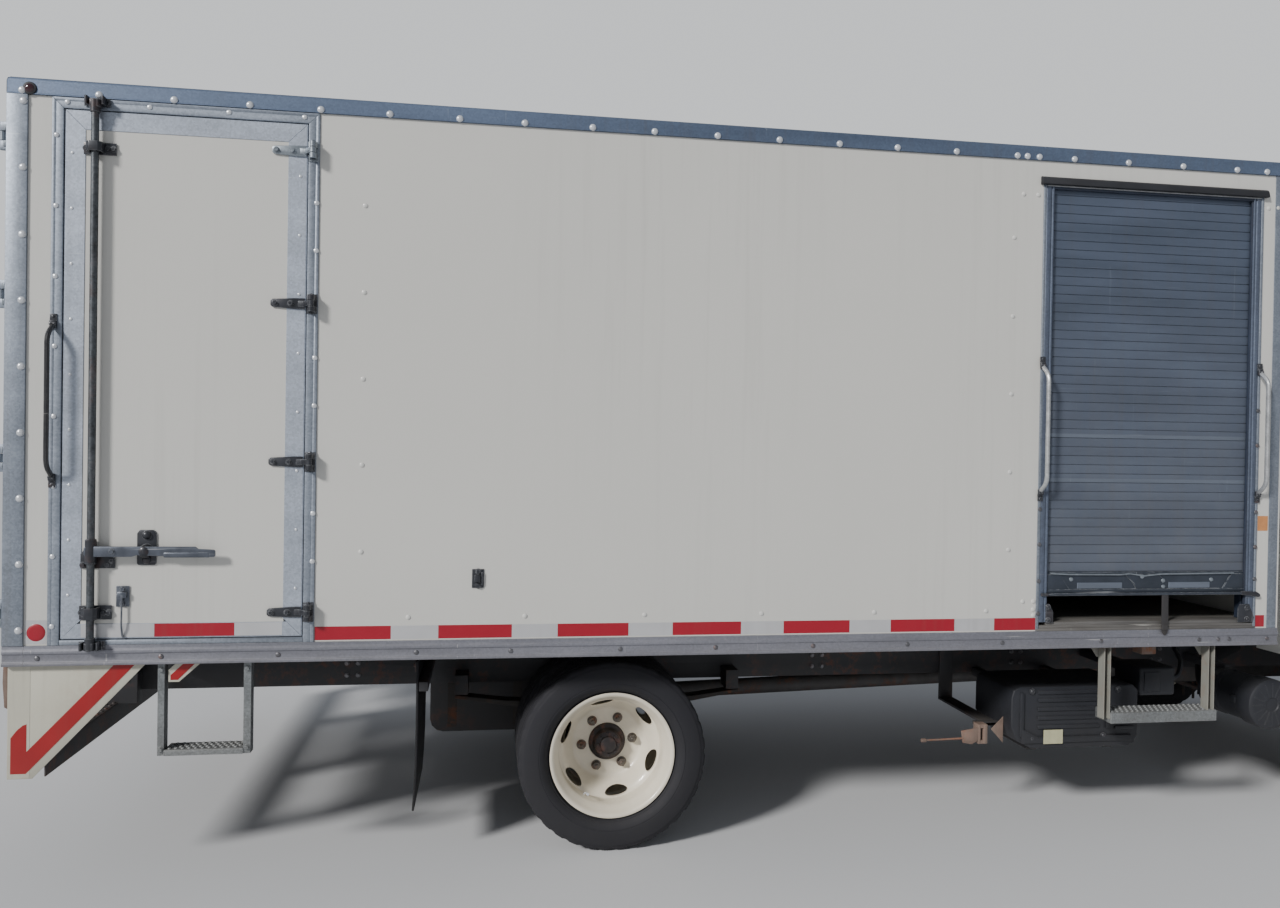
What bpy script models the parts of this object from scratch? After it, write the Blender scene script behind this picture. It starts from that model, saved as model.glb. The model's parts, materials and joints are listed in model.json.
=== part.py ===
"""Cab-over box truck with an insulated body, a hinged side door and a roller shutter.

Metres. +Z is up, +X is forward, +Y is the left side. The ground is at Z = 0.
"""
import math

import bmesh
import bpy
from mathutils import Matrix, Vector

# Whole truck
OVERALL_LENGTH = 7.18
WHEELBASE = 3.81
FRONT_OVERHANG = 1.091
REAR_STAND_OUT = 0.036
HALF_LENGTH = OVERALL_LENGTH / 2
FRONT_AXLE = HALF_LENGTH - FRONT_OVERHANG
REAR_AXLE = FRONT_AXLE - WHEELBASE

# Fits between pieces
SEAT = 0.0003
WORKING_GAP = 0.006
OVERRUN = 0.03
LAP = 0.004

# Insulated body
BODY_LENGTH = 5.16
BODY_WIDTH = 2.44
BODY_TOP = 2.962
SIDE_RAIL_BOTTOM = 0.844
SIDE_RAIL_HEIGHT = 0.074
SIDE_RAIL_DEPTH = 0.055
RAIL_GROOVE = 0.005
WALL_SET_BACK = 0.008
WALL = 0.065
ROOF_DEPTH = 0.063
ROOF_EDGE = 0.014
DECK_TOP = 0.956
BODY_REAR = REAR_STAND_OUT - HALF_LENGTH
BODY_FRONT = BODY_REAR + BODY_LENGTH
HALF_BODY = BODY_WIDTH / 2
WALL_FACE = HALF_BODY - WALL_SET_BACK
WALL_INNER = WALL_FACE - WALL
WALL_FOOT = SIDE_RAIL_BOTTOM + SIDE_RAIL_HEIGHT
ROOF_FOOT = BODY_TOP - ROOF_DEPTH

# Floor frame
CROSS_SILL_PITCH = 0.42
CROSS_SILL_WIDTH = 0.045
LONG_SILL_WIDTH = 0.06

# Rear frame and rear doors
POST = 0.071
REAR_JAMB = 0.075
REAR_HEADER = 0.10
REAR_LEAF = 0.06
REAR_SET_BACK = 0.002
REAR_PIN_RADIUS = 0.010
REAR_PIN_INSET = 0.036
REAR_HINGE_HEIGHT = 0.10
REAR_ROD = 0.012
REAR_ROD_OFFSET = 0.19

# Hinged side door
SIDE_FRAME_REAR = 0.150
SIDE_FRAME_LENGTH = 0.929
SIDE_FRAME_TRIM = 0.041
SIDE_FRAME_SILL = 0.019
SIDE_FRAME_PROUD = 0.005
SIDE_STILE = 0.066
SIDE_STILE_PROUD = 0.002
SIDE_PIN_PROUD = 0.034
SIDE_PIN_RADIUS = 0.012
STRAP_LENGTH = 0.15
STRAP_HEIGHT = 0.042
STRAP = 0.006
HINGE_HEIGHTS = (1.031, 1.594, 2.185, 2.753)
LOCK_ROD = 0.0135
LOCK_ROD_INSET = 0.113
LOCK_GUIDE_HEIGHTS = (1.039, 1.246, 2.723)
LOCK_GUIDE_HEIGHT = 0.05
LOCK_GUIDE_WIDTH = 0.085
LOCK_ROD_OVER = 0.024
LOCK_ROD_UNDER = 0.040
LOCK_ROD_GAP = 0.012
LOCK_LEVER_HEIGHT = 1.262
LOCK_LEVER_LENGTH = 0.43
LOCK_LEVER_DEPTH = 0.034
LOCK_KEEPER_REACH = 0.185
LOCK_KEEPER_RADIUS = 0.034
KEEPER_CHEEK = 0.010
KEEPER_GAP = 0.010
KEEPER_HEIGHT = 0.030
HANDLE_TUBE = 0.009
HANDLE_STAND_OUT = 0.052
REAR_HANDLE_FOOT = 1.528
REAR_HANDLE_HEAD = 2.079
SHUTTER_HANDLE_FOOT = 1.506
SHUTTER_HANDLE_HEAD = 2.038
HANDLE_PAD = 0.030

# Roller shutter
SHUTTER_FRAME_REAR = 4.010
SHUTTER_FRAME_LENGTH = 1.038
SHUTTER_JAMB = 0.048
SHUTTER_GUIDE_WALL = 0.012
SHUTTER_HEAD_TOP = 2.834
SHUTTER_HEAD = 0.040
SHUTTER_LIFT = 0.112
SLAT_PITCH = 0.038
SLAT_GROOVE = 0.005
SLAT_DEPTH = 0.012
SLAT_SET_BACK = 0.014
SHUTTER_BAR = 0.099
SHUTTER_LIP = 0.030
DRIP_CAP = 0.016
DRIP_CAP_OVER = 0.014

# Chassis
FRAME_WIDTH = 0.85
FRAME_TOP = 0.76
FRAME_HEIGHT = 0.20
FRAME_FLANGE = 0.065
FRAME_PLATE = 0.007
FRAME_REAR_INSET = 0.10
FRAME_FRONT_INSET = 0.25
CROSSMEMBER_LENGTH = 0.08
CROSSMEMBER_HEIGHT = 0.15
CROSSMEMBER_SHARES = (0.006, 0.15, 0.315, 0.475, 0.63, 0.745, 0.988)
FRAME_REAR = BODY_REAR + FRAME_REAR_INSET
FRAME_FRONT = HALF_LENGTH - FRAME_FRONT_INSET
HALF_FRAME = FRAME_WIDTH / 2
FRAME_FOOT = FRAME_TOP - FRAME_HEIGHT

# Wheels
TYRE_RADIUS = 0.392
TYRE_WIDTH = 0.226
RIM_RADIUS = 0.2477
RIM_FLANGE = 0.0128
RIM_WIDTH = 0.178
RIM_PLATE = 0.009
WELL_DEPTH = 0.021
WHEEL_OFFSET = 0.127
DISC_PLATE = 0.012
DISC_FLAT = 0.150
HUB_RADIUS = 0.075
HUB_STAND_OUT = 0.075
DRUM_RADIUS = 0.178
DRUM_DEPTH = 0.125
HAND_HOLES = 6
HAND_HOLE_RADIUS = 0.0165
HAND_HOLE_STRETCH = 2.8
HAND_HOLE_CIRCLE = 0.195
HAND_HOLE_STEPS = 8
FRONT_TRACK = 1.665
REAR_TRACK = 1.636
WHEEL_STEPS = 20

# Front axle and steering
KINGPIN_SPAN = 1.40
KINGPIN_RADIUS = 0.040
BEAM_END_HEIGHT = 0.10
LUG_HEIGHT = 0.028
KNUCKLE_REACH = 0.045
KNUCKLE_PLATE = 0.030
KNUCKLE_WIDTH = 0.07
BACKING_RADIUS = 0.165
BACKING_PLATE = 0.008
SPINDLE_RADIUS = 0.030
STEERING_ARM = 0.18
STEERING_ARM_WIDTH = 0.036
TIE_ROD = 0.014
TIE_ROD_EYE = 0.020
TIE_ROD_EYE_HEIGHT = 0.035
BEAM_DEPTH = 0.075
BEAM_WIDTH = 0.085
BEAM_DROP = 0.092

# Leaf springs: how far each reaches from its axle, its seat and its stack
FRONT_SPRING_REACH = 0.56
FRONT_SPRING_PLACE = 0.39
REAR_SPRING_REACH = 0.66
REAR_SPRING_PLACE = 0.50
SPRING_WIDTH = 0.07
SPRING_STACK = 0.042
SPRING_LEAF = 0.014
SPRING_STEPS = 6
HANGER_LENGTH = 0.06

# Rear axle and propeller shaft
AXLE_TUBE = 0.062
BANJO_RADIUS = 0.165
BANJO_HALF_WIDTH = 0.085
BANJO_TAPER = 0.24
PINION_REACH = 0.30
PINION_RADIUS = 0.07
SHAFT_RADIUS = 0.042
YOKE_RADIUS = 0.055
YOKE_LENGTH = 0.10

# Engine, gearbox and radiator
ENGINE_REAR = 2.15
ENGINE_LENGTH = 0.78
ENGINE_WIDTH = 0.52
ENGINE_FOOT = 0.46
ENGINE_TOP = 1.10
GEARBOX_LENGTH = 0.44
GEARBOX_WIDTH = 0.34
GEARBOX_FOOT = 0.42
GEARBOX_TOP = 0.72
OUTPUT_HEIGHT = 0.475
MOUNT_LENGTH = 0.10
MOUNT_HEIGHT = 0.05
MOUNT_FOOT = 0.62
RADIATOR_PLACE = 3.07
RADIATOR_DEPTH = 0.06
RADIATOR_WIDTH = 0.64
RADIATOR_FOOT = 0.48
RADIATOR_TOP = 0.86
HOSE_RADIUS = 0.03

# Tank, battery box, air cleaner and exhaust
TANK_REAR = -2.09
TANK_LENGTH = 0.51
TANK_WIDTH = 0.68
TANK_FOOT = 0.31
TANK_TOP = 0.66
TANK_CORNER = 0.06
BATTERY_REAR = 0.483
BATTERY_LENGTH = 0.62
BATTERY_OUTER = 1.0
BATTERY_FOOT = 0.345
BATTERY_TOP = 0.625
BATTERY_CORNER = 0.05
BATTERY_DEPTH = 0.34
CLEANER_PLACE = 1.785
CLEANER_HEIGHT = 0.515
CLEANER_RADIUS = 0.118
CLEANER_OUTER = 1.0
CLEANER_DEPTH = 0.36
EXHAUST_PLACE = 0.70
EXHAUST_LENGTH = 0.90
EXHAUST_RADIUS = 0.125
EXHAUST_HEIGHT = 0.50
EXHAUST_SIDE = 0.66
TAILPIPE_RADIUS = 0.038
BRACKET = 0.04

# Steps, rear step bumper and mud flaps
REAR_STEP_PLACE = 0.522
REAR_STEP_LENGTH = 0.33
REAR_STEP_TREAD = 0.548
FRONT_STEP_PLACE = 4.345
FRONT_STEP_LENGTH = 0.53
FRONT_STEP_TREAD = 0.562
STEP_DEPTH = 0.17
STEP_TREAD = 0.050
STEP_POST = 0.032
STEP_INSET = 0.02
PLATE_TOP_LENGTH = 0.47
PLATE_FOOT_LENGTH = 0.085
PLATE_FOOT = 0.430
PLATE_SHEET = 0.006
PLATE_INSET = 0.024
PLATE_REAR = 0.012
BUMPER_STEP_HEIGHT = 0.09
BUMPER_STEP_DEPTH = 0.13
BUMPER_HANGER = 0.06
FLAP_PLACE = 1.447
FLAP_SHEET = 0.010
FLAP_FOOT = 0.205
FLAP_OUTER = 1.06
FLAP_WIDTH = 0.52

# Cab
CAB_FRONT = HALF_LENGTH - 0.09
CAB_REAR = FRONT_AXLE - 0.63
CAB_WALL = 0.045
CAB_FLOOR = 0.90
CAB_DECK = 0.05
CAB_TILT_PLACE = 3.30
CAB_TILT_HEIGHT = 0.80
LUG_RADIUS = 0.04
LUG_PLATE = 0.030
LUG_GAP = 0.0008
HUMP_WIDTH = 0.84
HUMP_REAR = 2.05
HUMP_LENGTH = 0.98
HUMP_TOP = 1.24
HUMP_PLATE = 0.03
ARCH_RADIUS = 0.495
SKIRT_INNER = 0.80
DOOR_GAP = 0.008
DOOR_FRONT = 3.22
DOOR_LENGTH = 0.80
DOOR_TOP = 2.04
DOOR_FOOT = 0.80
BELT = 1.38
DOOR_HINGE_PROUD = 0.006
DOOR_HINGE_HEIGHTS = (1.00, 1.34)
DOOR_HINGE_RADIUS = 0.008
DOOR_HINGE_HEIGHT = 0.06
DOOR_HINGE_REACH = 0.035
GLASS = 0.006
GLASS_INSET = 0.012
WINDOW_FOOT = 1.44
WINDOW_TOP = 1.98
WINDOW_FRAME = 0.075
SCREEN_FOOT = 1.42
SCREEN_TOP = 2.04
SCREEN_FOOT_WIDTH = 1.74
SCREEN_TOP_WIDTH = 1.56
SCREEN_DEPTH = 0.55
REAR_WINDOW_WIDTH = 1.10
REAR_WINDOW_FOOT = 1.45
REAR_WINDOW_TOP = 1.85
CORNER_STEPS = 4

# Cab sections, from the sill to the roof. Columns: height, front set back, rear set back,
# half width, front corner radius, rear corner radius, share of the wall taken off the height inside.
CAB_SECTIONS = (
    (0.74, 0.010, 0.000, 0.985, 0.14, 0.05, 0.0),
    (1.10, 0.000, 0.000, 1.015, 0.15, 0.05, 0.0),
    (1.38, 0.020, 0.000, 1.020, 0.16, 0.05, 0.0),
    (2.00, 0.330, 0.020, 0.940, 0.16, 0.06, 0.2),
    (2.17, 0.450, 0.050, 0.880, 0.18, 0.08, 0.6),
    (2.26, 0.680, 0.140, 0.740, 0.20, 0.12, 1.0),
)

# Cab fittings
SEAT_REAR = 2.00
SEAT_CUSHION_TOP = 1.38
SEAT_CUSHION_LENGTH = 0.68
SEAT_BACK = 0.13
SEAT_BACK_TOP = 1.93
SEAT_WIDTH = 1.76
SEAT_SPLIT = 0.24
SEAT_SPLIT_GAP = 0.05
SEAT_BASE = 0.04
DASH_REAR = 3.03
DASH_FOOT = 1.12
DASH_TOP = 1.40
DASH_WIDTH = 1.80
DASH_BROW = 0.10
WHEEL_RIM_RADIUS = 0.205
WHEEL_RIM_TUBE = 0.014
WHEEL_PLACE = 2.86
WHEEL_SIDE = 0.54
WHEEL_HEIGHT = 1.53
WHEEL_LEAN = math.radians(32)
WHEEL_HUB = 0.045
WHEEL_HUB_DEPTH = 0.05
COLUMN_RADIUS = 0.03
BUMPER_TOP = 0.70
BUMPER_FOOT = 0.42
BUMPER_SHEET = 0.02
BUMPER_HALF_WIDTH = 1.02
BUMPER_WING = 0.52
BUMPER_CORNER = 0.16
BUMPER_ARM = 0.055
BUMPER_ARM_HEIGHT = 0.08
BUMPER_ARM_LAP = 0.14
ENTRY_STEP = 0.22
ENTRY_STEP_WIDTH = 0.26
MIRROR_SPAN = 2.62
MIRROR_WIDTH = 0.17
MIRROR_HEIGHT = 0.36
MIRROR_DEPTH = 0.07
MIRROR_PLACE = 3.36
MIRROR_FOOT = 1.50
MIRROR_TUBE = 0.011

SMOOTH_ANGLE = math.radians(32)
MERGE = 0.00002
SIDES = {"right": -1, "left": 1}

# Finishes. Columns: colour, roughness, metallic.
FINISHES = {
    "cream_panel": ((0.80, 0.77, 0.68), 0.45, 0.0),
    "aluminium": ((0.62, 0.64, 0.66), 0.38, 1.0),
    "galvanised": ((0.42, 0.45, 0.46), 0.50, 1.0),
    "shutter_grey": ((0.33, 0.39, 0.44), 0.45, 0.6),
    "black_steel": ((0.03, 0.03, 0.03), 0.55, 0.3),
    "chassis_black": ((0.035, 0.035, 0.037), 0.60, 0.2),
    "wheel_cream": ((0.78, 0.76, 0.66), 0.42, 0.0),
    "tyre_rubber": ((0.025, 0.025, 0.026), 0.85, 0.0),
    "cab_paint": ((0.82, 0.82, 0.80), 0.30, 0.0),
    "glass": ((0.55, 0.62, 0.62), 0.05, 0.0),
    "trim_grey": ((0.12, 0.12, 0.13), 0.65, 0.0),
    "seat_cloth": ((0.16, 0.17, 0.19), 0.90, 0.0),
    "black_plastic": ((0.04, 0.04, 0.042), 0.50, 0.0),
    "cast_grey": ((0.22, 0.22, 0.22), 0.60, 0.8),
}


# Tools for making solids


def clear_scene():
    for obj in list(bpy.data.objects):
        bpy.data.objects.remove(obj, do_unlink=True)


def finish_material(name):
    """One Principled material for each finish, made when it is first used."""
    if name in bpy.data.materials:
        return bpy.data.materials[name]
    colour, roughness, metallic = FINISHES[name]
    material = bpy.data.materials.new(name)
    material.use_nodes = True
    shader = material.node_tree.nodes["Principled BSDF"]
    shader.inputs["Base Color"].default_value = (*colour, 1)
    shader.inputs["Roughness"].default_value = roughness
    shader.inputs["Metallic"].default_value = metallic
    return material


def solid(name, shape, finish):
    """An object made from a closed bmesh, with its faces pointing out."""
    bmesh.ops.recalc_face_normals(shape, faces=shape.faces)
    mesh = bpy.data.meshes.new(name)
    shape.to_mesh(mesh)
    shape.free()
    mesh.materials.append(finish_material(finish))
    mesh.shade_smooth()
    mesh.set_sharp_from_angle(angle=SMOOTH_ANGLE)
    obj = bpy.data.objects.new(name, mesh)
    bpy.context.collection.objects.link(obj)
    return obj


def combine(target, operation, shapes):
    """Add, cut or keep the space of closed shapes, one live Boolean for each."""
    for shape in shapes:
        label = f"{target.name}_{operation.lower()}_{len(target.modifiers)}"
        tool = solid(label, shape, target.data.materials[0].name)
        tool.hide_render = True
        tool.display_type = "WIRE"
        tool.parent = target
        step = target.modifiers.new(label, "BOOLEAN")
        step.operation = operation
        step.object = tool
    return target


def unite(target, *shapes):
    return combine(target, "UNION", shapes)


def cut(target, *shapes):
    return combine(target, "DIFFERENCE", shapes)


def keep(target, *shapes):
    return combine(target, "INTERSECT", shapes)


def hang_on_axis(name, place, pieces):
    """Parent the pieces of a moving body to an empty on its joint's axis."""
    axis = bpy.data.objects.new(name, None)
    axis.location = place
    bpy.context.collection.objects.link(axis)
    for piece in pieces:
        piece.parent = axis
        piece.matrix_parent_inverse = Matrix.Translation(place).inverted()
    return axis


def block(low, high):
    """Box between two opposite corners, given in any order."""
    shape = bmesh.new()
    low, high = Vector(low), Vector(high)
    bmesh.ops.create_cube(shape, size=1)
    bmesh.ops.scale(shape, vec=[abs(length) for length in high - low], verts=shape.verts)
    bmesh.ops.translate(shape, vec=(low + high) / 2, verts=shape.verts)
    return shape


def prism(outline, along, low, high):
    """A flat outline pushed along X, Y or Z. The outline gives the other two coordinates in order."""
    turn = {"X": lambda a, b: (low, a, b), "Y": lambda a, b: (a, low, b), "Z": lambda a, b: (a, b, low)}[along]
    travel = {"X": Vector((1, 0, 0)), "Y": Vector((0, 1, 0)), "Z": Vector((0, 0, 1))}[along]
    shape = bmesh.new()
    face = shape.faces.new([shape.verts.new(turn(*point)) for point in outline])
    pushed = bmesh.ops.extrude_face_region(shape, geom=[face])["geom"]
    ends = [item for item in pushed if isinstance(item, bmesh.types.BMVert)]
    bmesh.ops.translate(shape, vec=travel * (high - low), verts=ends)
    bmesh.ops.recalc_face_normals(shape, faces=shape.faces)
    return shape


def loft(rings):
    """Closed skin over rings of equal count, with flat ends."""
    shape = bmesh.new()
    rows = [[shape.verts.new(point) for point in ring] for ring in rings]
    loops = [[shape.edges.new(pair) for pair in zip(row, row[1:] + row[:1])] for row in rows]
    for lower, upper in zip(loops, loops[1:]):
        bmesh.ops.bridge_loops(shape, edges=lower + upper)
    shape.faces.new(rows[0])
    shape.faces.new(rows[-1])
    bmesh.ops.recalc_face_normals(shape, faces=shape.faces)
    return shape


def lathe(profile, place, axis=(0, 1, 0), steps=WHEEL_STEPS):
    """Solid of revolution through place. Profile columns: distance along the axis, radius."""
    shape = bmesh.new()
    points = [shape.verts.new((0, along, radius)) for along, radius in profile]
    pairs = list(zip(points, points[1:]))
    if profile[0][1] > 0:
        pairs.append((points[-1], points[0]))
    edges = [shape.edges.new(pair) for pair in pairs]
    bmesh.ops.spin(
        shape, geom=points + edges, cent=(0, 0, 0), axis=(0, 1, 0), angle=math.tau, steps=steps, use_merge=True
    )
    bmesh.ops.remove_doubles(shape, verts=shape.verts, dist=MERGE)
    turn = Vector((0, 1, 0)).rotation_difference(Vector(axis)).to_matrix().to_4x4()
    bmesh.ops.transform(shape, matrix=Matrix.Translation(place) @ turn, verts=shape.verts)
    bmesh.ops.recalc_face_normals(shape, faces=shape.faces)
    return shape


def rod(start, end, radius, steps=12):
    """Round bar between two points."""
    start, end = Vector(start), Vector(end)
    length = (end - start).length
    profile = ((0, 0), (0, radius), (length, radius), (length, 0))
    return lathe(profile, start, (end - start).normalized(), steps)


def pipe(points, radius, steps=10):
    """Round bar swept along a bent path."""
    points = [Vector(point) for point in points]
    tangents = [(after - before).normalized() for before, after in zip(points, points[1:])]
    joints = [tangents[0]] + [(a + b).normalized() for a, b in zip(tangents, tangents[1:])] + [tangents[-1]]
    across = joints[0].orthogonal().normalized()
    rings = []
    for point, tangent in zip(points, joints):
        across = (across - tangent * across.dot(tangent)).normalized()
        other = tangent.cross(across)
        turns = [math.tau * step / steps for step in range(steps)]
        rings.append([point + radius * (math.cos(turn) * across + math.sin(turn) * other) for turn in turns])
    return loft(rings)


def arc(centre, radius, start, end, steps):
    """Points on an arc, angles in degrees."""
    angles = [math.radians(start + (end - start) * step / steps) for step in range(steps + 1)]
    return [(centre[0] + radius * math.cos(angle), centre[1] + radius * math.sin(angle)) for angle in angles]


def rounded(low, high, radii, steps=CORNER_STEPS):
    """Rectangle with its own radius at each corner: low-low, high-low, high-high, low-high."""
    corners = ((low[0], low[1], 1, 1, 180), (high[0], low[1], -1, 1, 270))
    corners += ((high[0], high[1], -1, -1, 0), (low[0], high[1], 1, -1, 90))
    points = []
    for (across, up, inward, rise, start), radius in zip(corners, radii):
        centre = (across + inward * radius, up + rise * radius)
        points += arc(centre, radius, start, start + 90, steps) if radius > 0 else [(across, up)]
    return points


def grown(outline, distance):
    """The same outline with every edge moved out by a distance, or in where it is negative."""
    area = sum(a[0] * b[1] - b[0] * a[1] for a, b in zip(outline, outline[1:] + outline[:1]))
    side = math.copysign(1, area)
    points = []
    for before, here, after in zip(outline[-1:] + outline[:-1], outline, outline[1:] + outline[:1]):
        first = (Vector(here) - Vector(before)).normalized()
        second = (Vector(after) - Vector(here)).normalized()
        normals = [side * Vector((edge.y, -edge.x)) for edge in (first, second)]
        middle = (normals[0] + normals[1]).normalized()
        points.append(tuple(Vector(here) + middle * distance / middle.dot(normals[0])))
    return points


# Chassis


def chassis_frame():
    web_inner = HALF_FRAME - FRAME_PLATE
    flange = HALF_FRAME - FRAME_FLANGE
    channel = [
        (HALF_FRAME, FRAME_FOOT), (flange, FRAME_FOOT), (flange, FRAME_FOOT + FRAME_PLATE),
        (web_inner, FRAME_FOOT + FRAME_PLATE), (web_inner, FRAME_TOP - FRAME_PLATE),
        (flange, FRAME_TOP - FRAME_PLATE), (flange, FRAME_TOP), (HALF_FRAME, FRAME_TOP),
    ]
    rails = [prism([(side * y, z) for y, z in channel], "X", FRAME_REAR, FRAME_FRONT) for side in SIDES.values()]
    frame = solid("chassis_frame", rails[0], "chassis_black")
    unite(frame, rails[1])
    half_end = web_inner + FRAME_PLATE / 2
    foot = FRAME_FOOT + (FRAME_HEIGHT - CROSSMEMBER_HEIGHT) / 2
    for share in CROSSMEMBER_SHARES:
        middle = FRAME_REAR + share * (FRAME_FRONT - FRAME_REAR)
        near = max(middle - CROSSMEMBER_LENGTH / 2, FRAME_REAR + LAP)
        far = min(middle + CROSSMEMBER_LENGTH / 2, FRAME_FRONT - LAP)
        unite(frame, block((near, -half_end, foot), (far, half_end, foot + CROSSMEMBER_HEIGHT)))
    springs = (
        (FRONT_AXLE, FRONT_SPRING_REACH, FRONT_SPRING_PLACE), (REAR_AXLE, REAR_SPRING_REACH, REAR_SPRING_PLACE),
    )
    for axle, reach, place in springs:
        for end in (-1, 1):
            eye = axle + end * (reach - HANGER_LENGTH / 2)
            for side in SIDES.values():
                unite(frame, spring_hanger(eye, side, place, axle == REAR_AXLE))
    for side in SIDES.values():
        outer = side * (HALF_FRAME - LAP)
        unite(frame, tilt_lug(outer - side * LUG_PLATE, outer, FRAME_TOP - LAP, True))
        unite(frame, cab_rest_post(side))
    unite(frame, cab_rest_beam())
    return frame


def spring_top(rear):
    """Height of the spring ends, where the hangers carry them."""
    return (FRAME_FOOT - HANGER_LENGTH / 2) if rear else (FRAME_FOOT - HANGER_LENGTH)


def spring_hanger(eye, side, place, rear):
    inner = min(place - SPRING_WIDTH / 2, HALF_FRAME - FRAME_PLATE / 2)
    outer = place + SPRING_WIDTH / 2 if rear else HALF_FRAME - LAP
    top = FRAME_FOOT + FRAME_PLATE / 2
    if rear:
        top = FRAME_FOOT + HANGER_LENGTH
    low = (eye - HANGER_LENGTH / 2, side * inner, spring_top(rear) + SEAT)
    return block(low, (eye + HANGER_LENGTH / 2, side * outer, top))


def tilt_lug(inner, outer, foot, upright):
    """Round-ended plate about the cab's tilt axis."""
    start, end = (0, 180) if upright else (180, 360)
    ends = arc((CAB_TILT_PLACE, CAB_TILT_HEIGHT), LUG_RADIUS, start, end, CORNER_STEPS * 2)
    outline = ends + [(ends[-1][0], foot), (ends[0][0], foot)]
    return prism(outline, "Y", min(inner, outer), max(inner, outer))


def cab_rest_post(side):
    near = CAB_REAR + CROSSMEMBER_LENGTH / 2
    outer = HALF_FRAME - LAP
    low = (near, side * (HALF_FRAME - FRAME_FLANGE + LAP), FRAME_TOP - FRAME_PLATE / 2)
    return block(low, (near + CROSSMEMBER_LENGTH, side * outer, CAB_FLOOR - CROSSMEMBER_LENGTH / 2))


def cab_rest_beam():
    near = CAB_REAR + CROSSMEMBER_LENGTH / 2 - LAP
    reach = HUMP_WIDTH / 2 + LUG_RADIUS
    low = (near, -reach, CAB_FLOOR - CROSSMEMBER_LENGTH / 2 - LAP)
    return block(low, (near + CROSSMEMBER_LENGTH + LAP * 2, reach, CAB_FLOOR - SEAT))


def leaf_spring(axle, reach, place, side, seat, rear):
    """Stack of leaves, thin at its ends, curved up from the axle's seat to the hangers."""
    rise = spring_top(rear) - SPRING_LEAF - seat
    shares = [2 * step / SPRING_STEPS - 1 for step in range(SPRING_STEPS + 1)]
    under = [(axle + reach * share, seat + rise * share * share) for share in shares]
    stack = [SPRING_LEAF + (SPRING_STACK - SPRING_LEAF) * (1 - abs(share)) for share in shares]
    over = [(x, z + deep) for (x, z), deep in zip(under, stack)]
    half = SPRING_WIDTH / 2
    return prism(under + over[::-1], "Y", side * place - half, side * place + half)


def front_axle():
    end = KINGPIN_SPAN / 2
    pad = FRONT_SPRING_PLACE
    low = TYRE_RADIUS - BEAM_DROP
    half = SPRING_WIDTH / 2
    # Columns: distance from the middle, height of the section's middle, depth, width.
    stations = (
        (pad - half * 2, low, BEAM_DEPTH, BEAM_WIDTH),
        (pad - half, low + BEAM_DEPTH / 6, BEAM_DEPTH, BEAM_WIDTH),
        (pad + half, low + BEAM_DEPTH / 6, BEAM_DEPTH, BEAM_WIDTH),
        (end - half * 2, TYRE_RADIUS - BEAM_DEPTH / 4, BEAM_DEPTH, BEAM_WIDTH),
        (end - KINGPIN_RADIUS / 2, TYRE_RADIUS, BEAM_DEPTH, KINGPIN_RADIUS),
    )
    rows = [(-place, *rest) for place, *rest in stations[::-1]] + list(stations)
    rings = []
    for place, height, depth, width in rows:
        corners = rounded((-width / 2, -depth / 2), (width / 2, depth / 2), (0, 0, 0, 0))
        rings.append([(FRONT_AXLE + x, place, height + z) for x, z in corners])
    axle = solid("front_axle", loft(rings), "chassis_black")
    seat = low + BEAM_DEPTH / 6 + BEAM_DEPTH / 2 - LAP
    for side in SIDES.values():
        foot = TYRE_RADIUS - BEAM_END_HEIGHT / 2
        place = (FRONT_AXLE, side * end, foot)
        unite(axle, rod(place, (FRONT_AXLE, side * end, foot + BEAM_END_HEIGHT), KINGPIN_RADIUS, 12))
        unite(axle, leaf_spring(FRONT_AXLE, FRONT_SPRING_REACH, FRONT_SPRING_PLACE, side, seat, False))
    return axle


def rear_axle():
    end = REAR_TRACK / 2 - DISC_PLATE - DRUM_DEPTH - HUB_STAND_OUT / 5
    rows = [
        (0, BANJO_RADIUS), (BANJO_HALF_WIDTH, BANJO_RADIUS), (BANJO_TAPER, AXLE_TUBE * 1.2),
        (end - BACKING_PLATE * 3, AXLE_TUBE), (end - BACKING_PLATE * 3, BACKING_RADIUS),
        (end - BACKING_PLATE, BACKING_RADIUS), (end - BACKING_PLATE, AXLE_TUBE), (end - SEAT, AXLE_TUBE), (end - SEAT, 0),
    ]
    profile = [(-place, radius) for place, radius in rows[:0:-1]] + rows[1:]
    axle = solid("rear_axle", lathe(profile, (REAR_AXLE, 0, TYRE_RADIUS), steps=16), "chassis_black")
    nose = ((0, 0), (0, PINION_RADIUS * 1.7), (PINION_REACH, PINION_RADIUS), (PINION_REACH, 0))
    unite(axle, lathe(nose, (REAR_AXLE, 0, TYRE_RADIUS), (1, 0, 0), 16))
    seat = TYRE_RADIUS + AXLE_TUBE - LAP
    for side in SIDES.values():
        unite(axle, leaf_spring(REAR_AXLE, REAR_SPRING_REACH, REAR_SPRING_PLACE, side, seat, True))
    return axle


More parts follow.
